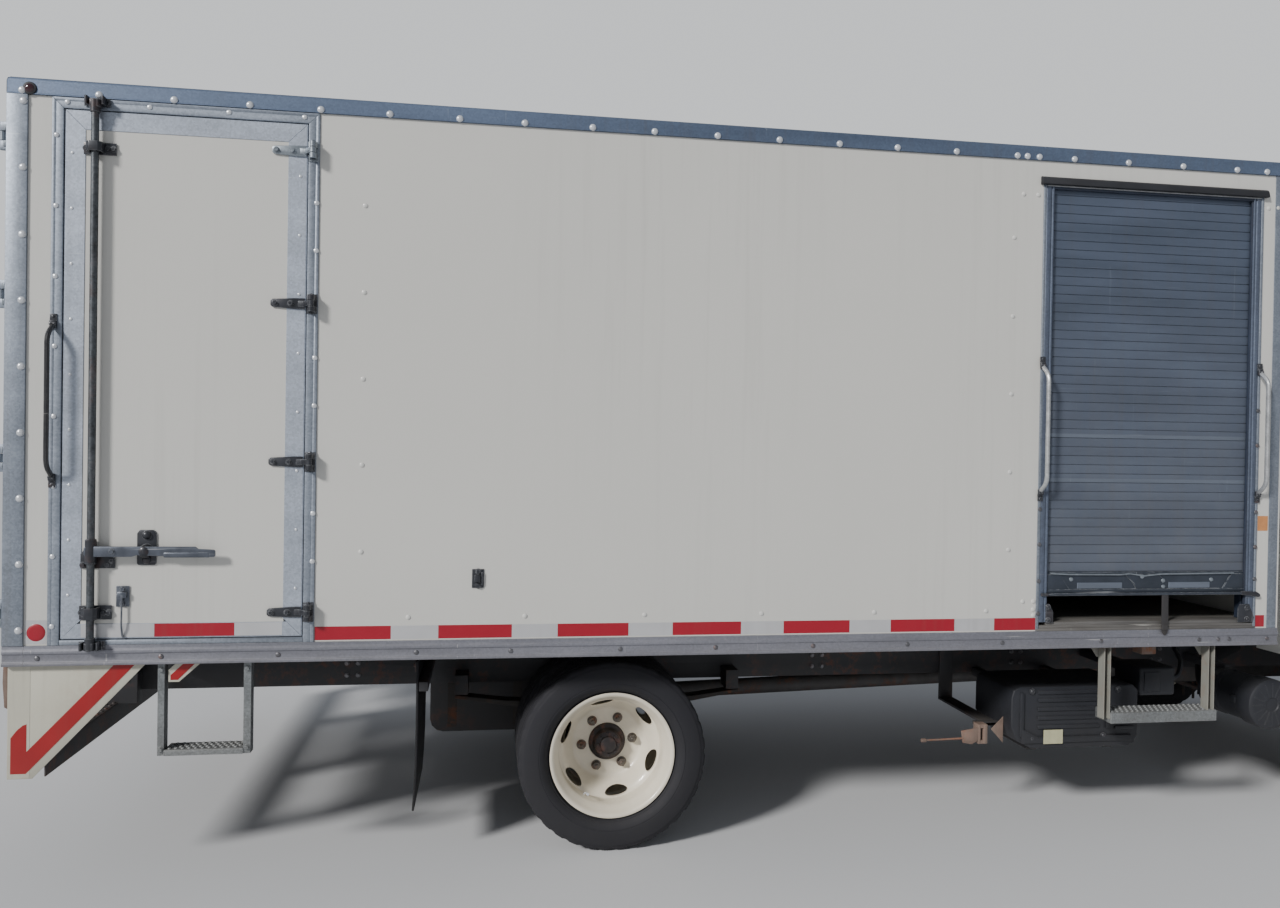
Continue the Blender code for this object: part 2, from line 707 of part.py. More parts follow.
def propeller_shaft():
    rear = Vector((REAR_AXLE + PINION_REACH + SEAT * 2, 0, TYRE_RADIUS))
    front = Vector((ENGINE_REAR - GEARBOX_LENGTH - SEAT * 2, 0, OUTPUT_HEIGHT))
    length = (front - rear).length
    profile = (
        (0, 0), (0, YOKE_RADIUS), (YOKE_LENGTH, YOKE_RADIUS), (YOKE_LENGTH * 1.2, SHAFT_RADIUS),
        (length - YOKE_LENGTH * 1.2, SHAFT_RADIUS), (length - YOKE_LENGTH, YOKE_RADIUS), (length, YOKE_RADIUS), (length, 0),
    )
    shaft = lathe(profile, rear, (front - rear).normalized(), 16)
    tilt_room = YOKE_RADIUS
    piece = solid("propeller_shaft", shaft, "chassis_black")
    cut(piece, block((rear.x - tilt_room, -tilt_room * 2, 0), (rear.x, tilt_room * 2, FRAME_TOP)))
    cut(piece, block((front.x, -tilt_room * 2, 0), (front.x + tilt_room, tilt_room * 2, FRAME_TOP)))
    return piece


def engine_block():
    """Engine and gearbox as plain blocks, with the radiator on its hoses."""
    front = ENGINE_REAR + ENGINE_LENGTH
    half = ENGINE_WIDTH / 2
    engine = block((ENGINE_REAR, -half, ENGINE_FOOT), (front, half, ENGINE_TOP))
    piece = solid("engine_block", engine, "cast_grey")
    gearbox_low = (ENGINE_REAR - GEARBOX_LENGTH, -GEARBOX_WIDTH / 2, GEARBOX_FOOT)
    unite(piece, block(gearbox_low, (ENGINE_REAR + LAP, GEARBOX_WIDTH / 2, GEARBOX_TOP)))
    middle = (ENGINE_REAR + front) / 2
    reach = HALF_FRAME - FRAME_PLATE - SEAT
    mount_low = (middle - MOUNT_LENGTH / 2, -reach, MOUNT_FOOT)
    unite(piece, block(mount_low, (middle + MOUNT_LENGTH / 2, reach, MOUNT_FOOT + MOUNT_HEIGHT)))
    wide = RADIATOR_WIDTH / 2
    radiator_low = (RADIATOR_PLACE, -wide, RADIATOR_FOOT)
    unite(piece, block(radiator_low, (RADIATOR_PLACE + RADIATOR_DEPTH, wide, RADIATOR_TOP)))
    hose_end = RADIATOR_PLACE + LAP
    for side, height in ((1, RADIATOR_TOP - HOSE_RADIUS * 2), (-1, RADIATOR_FOOT + HOSE_RADIUS * 2)):
        across = side * (half - HOSE_RADIUS * 2)
        unite(piece, rod((front - LAP, across, height), (hose_end, across, height), HOSE_RADIUS))
    return piece


def fuel_tank():
    radii = (TANK_CORNER, TANK_CORNER, TANK_CORNER / 2, TANK_CORNER / 2)
    outline = rounded((TANK_REAR, TANK_FOOT), (TANK_REAR + TANK_LENGTH, TANK_TOP), radii, 3)
    tank = solid("fuel_tank", prism(outline, "Y", -TANK_WIDTH / 2, TANK_WIDTH / 2), "chassis_black")
    reach = HALF_FRAME - FRAME_PLATE - SEAT
    strap_foot = TANK_TOP - BRACKET * 2
    for share in (0.2, 0.8):
        middle = TANK_REAR + share * TANK_LENGTH
        low = (middle - BRACKET / 2, -reach, strap_foot)
        unite(tank, block(low, (middle + BRACKET / 2, reach, strap_foot + BRACKET)))
    return tank


def battery_box():
    radii = (BATTERY_CORNER * 2, BATTERY_CORNER, BATTERY_CORNER / 2, BATTERY_CORNER)
    outline = rounded((BATTERY_REAR, BATTERY_FOOT), (BATTERY_REAR + BATTERY_LENGTH, BATTERY_TOP), radii, 3)
    inner = BATTERY_OUTER - BATTERY_DEPTH
    box = solid("battery_box", prism(outline, "Y", -BATTERY_OUTER, -inner), "black_plastic")
    for share in (0.2, 0.8):
        middle = BATTERY_REAR + share * BATTERY_LENGTH
        unite(box, rail_bracket(middle, -1, inner + LAP, BATTERY_TOP - BRACKET))
    return box


def rail_bracket(middle, side, reach, top):
    """Arm from the frame rail's outer face to a piece that it carries."""
    low = (middle - BRACKET / 2, side * (HALF_FRAME + SEAT), top - BRACKET)
    return block(low, (middle + BRACKET / 2, side * reach, top))


def air_cleaner():
    cap = CLEANER_RADIUS * 0.92
    profile = (
        (0, 0), (0, cap), (BRACKET / 4, CLEANER_RADIUS), (CLEANER_DEPTH * 0.3, CLEANER_RADIUS),
        (CLEANER_DEPTH * 0.3, cap), (CLEANER_DEPTH - BRACKET / 4, cap), (CLEANER_DEPTH, cap * 0.9), (CLEANER_DEPTH, 0),
    )
    can = lathe(profile, (CLEANER_PLACE, -CLEANER_OUTER, CLEANER_HEIGHT), steps=16)
    piece = solid("air_cleaner", can, "black_plastic")
    inner = CLEANER_OUTER - CLEANER_DEPTH
    foot = FRAME_FOOT + BRACKET
    unite(piece, rail_bracket(CLEANER_PLACE, -1, inner + BRACKET * 2, foot + BRACKET))
    return piece


def exhaust():
    rear = EXHAUST_PLACE - EXHAUST_LENGTH / 2
    lip = EXHAUST_RADIUS * 0.7
    profile = ((0, 0), (0, lip), (BRACKET / 2, EXHAUST_RADIUS), (EXHAUST_LENGTH - BRACKET / 2, EXHAUST_RADIUS))
    profile += ((EXHAUST_LENGTH, lip), (EXHAUST_LENGTH, 0))
    drum = lathe(profile, (rear, EXHAUST_SIDE, EXHAUST_HEIGHT), (1, 0, 0), 16)
    piece = solid("exhaust", drum, "cast_grey")
    bend = TAILPIPE_RADIUS * 3
    front = rear + EXHAUST_LENGTH
    unite(piece, pipe((
        (rear + LAP, EXHAUST_SIDE, EXHAUST_HEIGHT), (rear - bend, EXHAUST_SIDE, EXHAUST_HEIGHT),
        (rear - bend * 2, EXHAUST_SIDE + bend / 2, EXHAUST_HEIGHT), (rear - bend * 3, EXHAUST_SIDE + bend * 2, EXHAUST_HEIGHT),
    ), TAILPIPE_RADIUS, 8))
    unite(piece, pipe((
        (front - LAP, EXHAUST_SIDE, EXHAUST_HEIGHT), (front + bend, EXHAUST_SIDE, EXHAUST_HEIGHT),
        (front + bend * 3, HALF_FRAME + bend, EXHAUST_HEIGHT), (front + bend * 4, HALF_FRAME + bend, EXHAUST_HEIGHT),
    ), TAILPIPE_RADIUS, 8))
    for share in (0.2, 0.8):
        middle = rear + share * EXHAUST_LENGTH
        unite(piece, rail_bracket(middle, 1, EXHAUST_SIDE, EXHAUST_HEIGHT + EXHAUST_RADIUS))
    return piece


# Wheels


def tyre_profile():
    """Section of a tyre from one bead round the crown to the other. Columns: along, radius."""
    half = TYRE_WIDTH / 2
    bead = RIM_WIDTH / 2 - RIM_FLANGE - SEAT
    base = RIM_RADIUS + SEAT
    crown = TYRE_RADIUS / math.cos(math.pi / WHEEL_STEPS)
    wall = crown - base
    outside = [(bead, base), (half, base + wall * 0.45), (half * 0.96, crown - wall * 0.12), (half * 0.78, crown)]
    return outside + [(-along, radius) for along, radius in outside[::-1]]


def rim_barrel():
    """Outer line of the rim, its inner line on the disc's side, and its tail. Columns: along, radius."""
    half = RIM_WIDTH / 2
    flange = RIM_RADIUS + RIM_FLANGE
    well = RIM_RADIUS - WELL_DEPTH
    outer = [
        (-half, flange), (RIM_FLANGE - half, RIM_RADIUS), (-half / 3, well), (half / 3, well),
        (half - RIM_FLANGE, RIM_RADIUS), (half, flange),
    ]
    inner = [(half, flange - RIM_PLATE * 1.5), (half / 3 + RIM_PLATE * 1.6, well - RIM_PLATE)]
    tail = [(-half / 3 - RIM_PLATE, well - RIM_PLATE), (-half, flange - RIM_PLATE * 1.5)]
    return outer, inner, tail


def disc_lines():
    """The disc's two faces from the rim's well in to the flat round the hub. Columns: along, radius."""
    well = RIM_RADIUS - WELL_DEPTH - RIM_PLATE
    face = [(WHEEL_OFFSET, DISC_FLAT)]
    back = [(WHEEL_OFFSET - DISC_PLATE, DISC_FLAT - DISC_PLATE * 0.3), (RIM_WIDTH / 6, well)]
    return face, back


def hand_holes(x, y, reach):
    """Oval cutters in a ring through the disc, standing along the axle."""
    cutters = []
    for hole in range(HAND_HOLES):
        profile = ((-reach, 0), (-reach, HAND_HOLE_RADIUS), (reach, HAND_HOLE_RADIUS), (reach, 0))
        shape = lathe(profile, (0, 0, 0), steps=HAND_HOLE_STEPS)
        bmesh.ops.scale(shape, vec=(HAND_HOLE_STRETCH, 1, 1), verts=shape.verts)
        bmesh.ops.translate(shape, vec=(0, 0, HAND_HOLE_CIRCLE), verts=shape.verts)
        turn = Matrix.Rotation(math.tau * (hole + 0.5) / HAND_HOLES, 3, "Y")
        bmesh.ops.rotate(shape, cent=(0, 0, 0), matrix=turn, verts=shape.verts)
        bmesh.ops.translate(shape, vec=(x, y, TYRE_RADIUS), verts=shape.verts)
        cutters.append(shape)
    return cutters


def front_wheel(name, side):
    """Dished wheel with its hub and brake drum."""
    outer, inner, tail = rim_barrel()
    face, back = disc_lines()
    spindle_end = KINGPIN_SPAN / 2 + KNUCKLE_REACH + KNUCKLE_PLATE + BACKING_PLATE * 2
    hub_inner = spindle_end + SEAT - FRONT_TRACK / 2
    cap = WHEEL_OFFSET + HUB_STAND_OUT
    profile = [(cap, 0), (cap, HUB_RADIUS * 0.7), (cap - HUB_STAND_OUT * 0.4, HUB_RADIUS), (WHEEL_OFFSET, HUB_RADIUS)]
    profile += face[::-1] + inner[::-1] + outer[::-1] + tail[::-1] + back[::-1]
    profile += [
        (WHEEL_OFFSET * 0.6, DISC_FLAT * 0.9), (WHEEL_OFFSET * 0.5, DRUM_RADIUS), (hub_inner + BACKING_PLATE, DRUM_RADIUS),
        (hub_inner + BACKING_PLATE * 2, HUB_RADIUS), (hub_inner, HUB_RADIUS), (hub_inner, 0),
    ]
    profile = [(side * along, radius) for along, radius in profile]
    wheel = turned_wheel(name, profile, FRONT_AXLE, side * FRONT_TRACK / 2, "wheel_cream")
    disc_middle = side * (FRONT_TRACK / 2 + WHEEL_OFFSET * 0.6)
    return cut(wheel, *hand_holes(FRONT_AXLE, disc_middle, WHEEL_OFFSET * 0.4))


def rear_twin(name, side):
    """Two rims back to back on one hub, with the brake drum inside the inner one."""
    outer, inner, tail = rim_barrel()
    face, back = disc_lines()
    rim = [(WHEEL_OFFSET, DISC_FLAT * 0.8)] + face + inner[::-1] + outer[::-1] + tail[::-1] + back[::-1]
    outside = [(WHEEL_OFFSET - along, radius) for along, radius in rim[1:]]
    inside = [(-along, radius) for along, radius in outside]
    tail_end = -DRUM_DEPTH - DISC_PLATE
    profile = [(HUB_STAND_OUT, 0), (HUB_STAND_OUT, HUB_RADIUS), (DISC_PLATE, HUB_RADIUS * 1.25)]
    profile += outside[::-1] + inside[1:]
    profile += [
        (-DISC_PLATE * 2, DRUM_RADIUS), (tail_end, DRUM_RADIUS), (tail_end, DRUM_RADIUS * 0.94),
        (-DRUM_DEPTH * 0.6, HUB_RADIUS), (tail_end - HUB_STAND_OUT / 5, HUB_RADIUS), (tail_end - HUB_STAND_OUT / 5, 0),
    ]
    profile = [(side * along, radius) for along, radius in profile]
    wheel = turned_wheel(name, profile, REAR_AXLE, side * REAR_TRACK / 2, "wheel_cream")
    return cut(wheel, *hand_holes(REAR_AXLE, side * REAR_TRACK / 2, WHEEL_OFFSET))


def turned_wheel(name, profile, x, y, finish):
    """A round piece on an axle, turned so that it stands on the flat of one facet."""
    shape = lathe(profile, (0, 0, 0))
    half_step = Matrix.Rotation(math.pi / WHEEL_STEPS, 3, "Y")
    bmesh.ops.rotate(shape, cent=(0, 0, 0), matrix=half_step, verts=shape.verts)
    bmesh.ops.translate(shape, vec=(x, y, TYRE_RADIUS), verts=shape.verts)
    return solid(name, shape, finish)


def tyre(name, x, y):
    return turned_wheel(name, tyre_profile(), x, y, "tyre_rubber")


def wheels():
    for label, side in SIDES.items():
        front = (FRONT_AXLE, side * FRONT_TRACK / 2, TYRE_RADIUS)
        pieces = [front_wheel(f"front_rim_{label}", side), tyre(f"front_tyre_{label}", FRONT_AXLE, front[1])]
        hang_on_axis(f"front_wheel_axis_{label}", front, pieces)
        middle = side * REAR_TRACK / 2
        pieces = [rear_twin(f"rear_rims_{label}", side)]
        pieces.append(tyre(f"rear_tyre_outer_{label}", REAR_AXLE, middle + side * WHEEL_OFFSET))
        pieces.append(tyre(f"rear_tyre_inner_{label}", REAR_AXLE, middle - side * WHEEL_OFFSET))
        hang_on_axis(f"rear_wheel_axis_{label}", (REAR_AXLE, middle, TYRE_RADIUS), pieces)


def knuckle(label, side):
    """Fork over the beam's end, with the backing plate, spindle and steering arm."""
    place = side * KINGPIN_SPAN / 2
    half_width = KNUCKLE_WIDTH / 2
    foot = TYRE_RADIUS - BEAM_END_HEIGHT / 2 - LUG_HEIGHT - SEAT
    top = TYRE_RADIUS + BEAM_END_HEIGHT / 2 + LUG_HEIGHT + SEAT
    web = place + side * KNUCKLE_REACH
    web_outer = web + side * KNUCKLE_PLATE
    low = (FRONT_AXLE - half_width, web, foot + LAP / 2)
    body = block(low, (FRONT_AXLE + half_width, web_outer, top - LAP / 2))
    piece = solid(f"knuckle_{label}", body, "chassis_black")
    ear = arc((FRONT_AXLE, place), KINGPIN_RADIUS, 0, -180 * side, 8)
    outline = ear + [(ear[-1][0] + LAP, web + side * LAP), (ear[0][0] - LAP, web + side * LAP)]
    for low in (foot, top - LUG_HEIGHT):
        unite(piece, prism(outline, "Z", low, low + LUG_HEIGHT))
    plate_end = web_outer + side * BACKING_PLATE
    unite(piece, rod((FRONT_AXLE, web_outer - side * LAP, TYRE_RADIUS), (FRONT_AXLE, plate_end, TYRE_RADIUS), BACKING_RADIUS, 16))
    spindle_end = (FRONT_AXLE, plate_end + side * BACKING_PLATE, TYRE_RADIUS)
    unite(piece, rod((FRONT_AXLE, web_outer - side * LAP * 2, TYRE_RADIUS), spindle_end, SPINDLE_RADIUS, 12))
    arm = STEERING_ARM_WIDTH / 2
    arm_rear = FRONT_AXLE - STEERING_ARM
    top = foot + LUG_HEIGHT
    unite(piece, block((arm_rear, place - arm, foot + LAP), (FRONT_AXLE - KINGPIN_RADIUS / 2, place + arm, top - LAP)))
    unite(piece, rod((arm_rear, place, foot), (arm_rear, place, top - LAP / 2), TIE_ROD_EYE, 10))
    return piece


def tie_rod():
    foot = TYRE_RADIUS - BEAM_END_HEIGHT / 2 - LUG_HEIGHT - SEAT
    half = KINGPIN_SPAN / 2
    rear = FRONT_AXLE - STEERING_ARM
    height = foot - SEAT - TIE_ROD_EYE_HEIGHT / 2
    piece = solid("tie_rod", rod((rear, -half, height), (rear, half, height), TIE_ROD, 8), "chassis_black")
    for side in SIDES.values():
        low = (rear, side * half, foot - SEAT - TIE_ROD_EYE_HEIGHT)
        unite(piece, rod(low, (rear, side * half, foot - SEAT), TIE_ROD_EYE, 10))
    return piece


def steering():
    for label, side in SIDES.items():
        piece = knuckle(label, side)
        hang_on_axis(f"kingpin_axis_{label}", (FRONT_AXLE, side * KINGPIN_SPAN / 2, TYRE_RADIUS), [piece])
    ball = (FRONT_AXLE - STEERING_ARM, KINGPIN_SPAN / 2, TYRE_RADIUS)
    hang_on_axis("tie_rod_axis", ball, [tie_rod()])


# Insulated body


def floor():
    half = WALL_INNER - SEAT
    rear = BODY_REAR + POST + SEAT
    front = BODY_FRONT - WALL - SEAT
    deck_foot = WALL_FOOT - LAP
    piece = solid("floor", block((rear, -half, deck_foot), (front, half, DECK_TOP)), "galvanised")
    sill_half = HALF_BODY - SIDE_RAIL_DEPTH - SEAT
    sill_foot = SIDE_RAIL_BOTTOM + LAP
    count = int((front - rear - CROSS_SILL_WIDTH) / CROSS_SILL_PITCH)
    pitch = (front - rear - CROSS_SILL_WIDTH - LAP * 2) / count
    for place in range(count + 1):
        near = rear + LAP + place * pitch
        high = (near + CROSS_SILL_WIDTH, sill_half, WALL_FOOT - SEAT)
        unite(piece, block((near, -sill_half, sill_foot), high))
    for side in SIDES.values():
        outer = side * (HALF_FRAME - LAP)
        low = (rear + LAP * 2, outer - side * LONG_SILL_WIDTH, FRAME_TOP + SEAT)
        unite(piece, block(low, (front - LAP * 2, outer, sill_foot + LAP)))
    return piece


def bottom_rail(label, side):
    """Aluminium extrusion with two grooves along its face and a lip under the wall."""
    foot, top = SIDE_RAIL_BOTTOM, WALL_FOOT - SEAT
    face = HALF_BODY
    groove = face - RAIL_GROOVE
    lip = face - SIDE_RAIL_DEPTH
    rises = [foot + share * SIDE_RAIL_HEIGHT for share in (0.16, 0.20, 0.58, 0.62, 0.84, 0.88)]
    outline = [
        (lip, foot), (face, foot), (face, rises[0]), (groove, rises[1]), (groove, rises[2]), (face, rises[3]),
        (face, rises[4]), (groove, rises[5]), (groove, top), (lip, top), (lip, top - LAP),
        (groove - LAP * 2, top - LAP), (groove - LAP * 2, foot + LAP), (lip, foot + LAP),
    ]
    shape = prism([(side * y, z) for y, z in outline], "X", BODY_REAR, BODY_FRONT)
    return solid(f"bottom_rail_{label}", shape, "aluminium")


def side_frame_box():
    """Outline in X and Z of the hinged side door's frame, from the bottom rail to the roof."""
    rear = BODY_REAR + SIDE_FRAME_REAR
    return rounded((rear, WALL_FOOT), (rear + SIDE_FRAME_LENGTH, ROOF_FOOT - SEAT), (0, 0, 0, 0))


def shutter_frame_box(growth):
    """Outline in X and Z of the roller shutter's frame."""
    rear = BODY_REAR + SHUTTER_FRAME_REAR
    low = (rear - growth, WALL_FOOT - growth)
    return rounded(low, (rear + SHUTTER_FRAME_LENGTH + growth, SHUTTER_HEAD_TOP + growth), (0, 0, 0, 0))


def wall(name, rear, front, side):
    """Insulated panel between the rails."""
    shape = block((rear, side * WALL_INNER, WALL_FOOT), (front, side * WALL_FACE, ROOF_FOOT - SEAT))
    return solid(name, shape, "cream_panel")


def walls():
    rear = BODY_REAR + POST + SEAT
    front = BODY_FRONT - WALL - SEAT
    wall("wall_left", rear, front, SIDES["left"])
    frame = side_frame_box()
    wall("wall_right_rear", rear, frame[0][0] - SEAT, SIDES["right"])
    panel = wall("wall_right", frame[1][0] + SEAT, front, SIDES["right"])
    cut(panel, prism(shutter_frame_box(SEAT), "Y", -HALF_BODY - OVERRUN, OVERRUN - WALL_INNER))
    low = (BODY_FRONT - WALL, -WALL_FACE, WALL_FOOT)
    solid("front_wall", block(low, (BODY_FRONT, WALL_FACE, ROOF_FOOT - SEAT)), "cream_panel")


def roof():
    top, foot, half = BODY_TOP, ROOF_FOOT, HALF_BODY
    outline = [(-half, foot), (half, foot), (half, top - ROOF_EDGE), (half - ROOF_EDGE, top)]
    outline += [(ROOF_EDGE - half, top), (-half, top - ROOF_EDGE)]
    return solid("roof", prism(outline, "X", BODY_REAR, BODY_FRONT), "aluminium")


def rear_opening(growth):
    half = HALF_BODY - REAR_JAMB + growth
    return rounded((-half, DECK_TOP - growth), (half, ROOF_FOOT - REAR_HEADER + growth), (0, 0, 0, 0))


def rear_frame():
    outline = rounded((-HALF_BODY, WALL_FOOT), (HALF_BODY, ROOF_FOOT - SEAT), (0, 0, 0, 0))
    piece = solid("rear_frame", prism(outline, "X", BODY_REAR, BODY_REAR + POST), "aluminium")
    cut(piece, prism(rear_opening(0), "X", BODY_REAR - OVERRUN, BODY_REAR + POST + OVERRUN))
    third = REAR_HINGE_HEIGHT / 3
    for side in SIDES.values():
        x, y = rear_pin(side)[:2]
        round_end = arc((x, y), REAR_PIN_RADIUS, 90, 270, 6)
        knuckle_outline = round_end + [(BODY_REAR + LAP, round_end[-1][1]), (BODY_REAR + LAP, round_end[0][1])]
        for height in HINGE_HEIGHTS:
            for low in (height + third / 2 + LUG_GAP, height - third * 1.5):
                unite(piece, prism(knuckle_outline, "Z", low, low + third - LUG_GAP))
    return piece


def rear_pin(side):
    return (REAR_PIN_RADIUS - HALF_LENGTH, side * (HALF_BODY - REAR_PIN_INSET), DECK_TOP)


def rear_strap(side, outer, face):
    """Outline in X and Y of a door hinge: a round knuckle, and a strap that steps in to the leaf."""
    x, y = rear_pin(side)[:2]
    near = math.degrees(math.asin(STRAP / 2 / REAR_PIN_RADIUS))
    round_end = arc((0, 0), REAR_PIN_RADIUS, 270 - near, near - 90, 8)
    points = [(x + a, y + side * b) for a, b in round_end]
    tip = side * (outer - STRAP_LENGTH)
    points += [(x + STRAP / 2, side * (outer - LAP)), (face + STRAP / 2, side * (outer - LAP)), (face + STRAP / 2, tip)]
    return points + [(x - STRAP / 2, tip)]


def rear_doors():
    top = ROOF_FOOT - REAR_HEADER - WORKING_GAP
    foot = DECK_TOP + WORKING_GAP
    outer = HALF_BODY - REAR_JAMB - WORKING_GAP
    face = BODY_REAR + REAR_SET_BACK
    for label, side in SIDES.items():
        leaf = block((face, side * WORKING_GAP / 2, foot), (face + REAR_LEAF, side * outer, top))
        piece = solid(f"rear_door_{label}", leaf, "cream_panel")
        for height in HINGE_HEIGHTS:
            half = REAR_HINGE_HEIGHT / 6
            unite(piece, prism(rear_strap(side, outer, face), "Z", height - half, height + half))
        rod_x = face - REAR_ROD - LAP
        rod_y = side * REAR_ROD_OFFSET
        unite(piece, rod((rod_x, rod_y, foot - LAP / 2), (rod_x, rod_y, top + LAP / 2), REAR_ROD, 8))
        for height in LOCK_GUIDE_HEIGHTS:
            low = (rod_x - REAR_ROD / 2, rod_y - LOCK_GUIDE_WIDTH / 2, height)
            unite(piece, block(low, (face + LAP, rod_y + LOCK_GUIDE_WIDTH / 2, height + LOCK_GUIDE_HEIGHT)))
        hang_on_axis(f"rear_door_axis_{label}", rear_pin(side), [piece])


def side_pin():
    x = BODY_REAR + SIDE_FRAME_REAR + SIDE_FRAME_LENGTH - SIDE_FRAME_TRIM / 2
    return (x, -(WALL_FACE + SIDE_PIN_PROUD), DECK_TOP)


def side_leaf_box(growth):
    """Outline in X and Z of the space for the leaf."""
    rear = BODY_REAR + SIDE_FRAME_REAR + SIDE_FRAME_TRIM
    front = BODY_REAR + SIDE_FRAME_REAR + SIDE_FRAME_LENGTH - SIDE_FRAME_TRIM
    foot = WALL_FOOT + SIDE_FRAME_SILL
    top = ROOF_FOOT - SIDE_FRAME_TRIM
    return rounded((rear - growth, foot - growth), (front + growth, top + growth), (0, 0, 0, 0))


def bent_handle(x, face, foot, head):
    """Path of a grab handle that stands off a face on the right side."""
    out = face + HANDLE_STAND_OUT
    bend = HANDLE_STAND_OUT
    return (
        (x, -face + LAP, foot), (x, -(face + bend / 2), foot + LAP), (x, -out, foot + bend),
        (x, -out, head - bend), (x, -(face + bend / 2), head - LAP), (x, -face + LAP, head),
    )


def side_door_frame():
    """Frame with the fixed hinge knuckles, the lock rod's keepers and a grab handle."""
    proud = WALL_FACE + SIDE_FRAME_PROUD
    outline = side_frame_box()
    piece = solid("side_door_frame", prism(outline, "Y", -proud, -WALL_INNER), "aluminium")
    cut(piece, prism(side_leaf_box(0), "Y", -proud - OVERRUN, OVERRUN - WALL_INNER))
    x, y = side_pin()[:2]
    third = STRAP_HEIGHT / 2
    round_end = arc((x, y), SIDE_PIN_RADIUS, 180, 360, 5)
    knuckle_outline = round_end + [(round_end[-1][0], STRAP / 2 - proud), (round_end[0][0], STRAP / 2 - proud)]
    for height in HINGE_HEIGHTS:
        for low in (height + third / 2 + LUG_GAP, height - third * 1.5):
            unite(piece, prism(knuckle_outline, "Z", low, low + third - LUG_GAP))
    handle_x = outline[0][0] + HANDLE_TUBE + LAP
    unite(piece, pipe(bent_handle(handle_x, proud, REAR_HANDLE_FOOT, REAR_HANDLE_HEAD), HANDLE_TUBE, 6))
    rod_x = outline[0][0] + SIDE_FRAME_TRIM + LOCK_ROD_INSET
    near = LOCK_ROD + KEEPER_GAP
    far = near + KEEPER_CHEEK
    face = HALF_BODY + SEAT
    out = proud + LOCK_ROD_GAP + LOCK_ROD * 2
    fork = [(-far, -out), (-near, -out), (-near, -face - STRAP / 2), (near, -face - STRAP / 2), (near, -out), (far, -out)]
    heel = [(far, LAP - proud), (-far, LAP - proud)]
    shelf = [(far, -face), (-far, -face)]
    for low, seat_low, seat_high in (
        (ROOF_FOOT - KEEPER_HEIGHT, ROOF_FOOT - KEEPER_HEIGHT, ROOF_FOOT - LAP),
        (WALL_FOOT - KEEPER_HEIGHT / 2, WALL_FOOT + LAP, WALL_FOOT + KEEPER_HEIGHT / 2),
    ):
        unite(piece, prism([(rod_x + a, b) for a, b in fork + shelf], "Z", low, low + KEEPER_HEIGHT))
        seat = [(rod_x + a, b) for a, b in [(-far, -face - LAP / 2), (far, -face - LAP / 2)] + heel]
        unite(piece, prism(seat, "Z", seat_low + LAP / 4, seat_high - LAP / 4))
    return piece


def side_door():
    box = side_leaf_box(-WORKING_GAP)
    piece = solid("side_door", prism(box, "Y", -WALL_FACE, -WALL_INNER), "cream_panel")
    front = box[1][0]
    face = -WALL_FACE - SIDE_STILE_PROUD
    unite(piece, prism(box, "Y", face, LAP - WALL_FACE))
    cut(piece, prism(grown(box, -SIDE_STILE), "Y", face - OVERRUN, -WALL_FACE))
    x, y = side_pin()[:2]
    half = STRAP_HEIGHT / 2
    round_end = arc((x, y), SIDE_PIN_RADIUS, 180, 450, 7)
    inside = face + SIDE_STILE_PROUD / 2
    hinge = round_end + [(front - LAP, face - STRAP / 2), (front - LAP, inside), (front - STRAP * 4, inside)]
    hinge.append((front - STRAP * 4, face - STRAP / 2))
    for height in HINGE_HEIGHTS:
        unite(piece, prism(hinge, "Z", height - half / 2, height + half / 2))
        low = (x - STRAP_LENGTH, face - STRAP, height - half)
        unite(piece, block(low, (front - LAP / 2, face + SIDE_STILE_PROUD / 3, height + half)))
    lock = side_door_lock()
    hang_on_axis("side_door_axis", side_pin(), [piece, lock])
    return piece


def side_door_lock():
    """Lock rod with its guides on the door's face, cam ends, lever and keeper."""
    rear = side_leaf_box(-WORKING_GAP)[0][0]
    x = BODY_REAR + SIDE_FRAME_REAR + SIDE_FRAME_TRIM + LOCK_ROD_INSET
    face = WALL_FACE + SIDE_STILE_PROUD + SEAT
    y = -(face + LOCK_ROD_GAP + LOCK_ROD)
    foot = WALL_FOOT - LOCK_ROD_UNDER + LOCK_ROD_OVER
    top = ROOF_FOOT - LOCK_ROD_OVER / 2
    piece = solid("side_door_lock", rod((x, y, foot), (x, y, top), LOCK_ROD, 10), "galvanised")
    for height in LOCK_GUIDE_HEIGHTS:
        half = LOCK_GUIDE_WIDTH / 2
        low = (max(x - half, rear), y - LOCK_ROD / 2, height - LOCK_GUIDE_HEIGHT / 2)
        unite(piece, block(low, (x + half, -face, height + LOCK_GUIDE_HEIGHT / 2)))
    lever_y = y - LOCK_ROD
    lever = LOCK_LEVER_DEPTH / 2
    height = LOCK_LEVER_HEIGHT
    unite(piece, block((x, lever_y, height - lever), (x + LOCK_LEVER_LENGTH, y, height + lever)))
    keeper = (x + LOCK_KEEPER_REACH, -face, height)
    unite(piece, rod(keeper, (keeper[0], lever_y - LAP, height), LOCK_KEEPER_RADIUS, 12))
    return piece


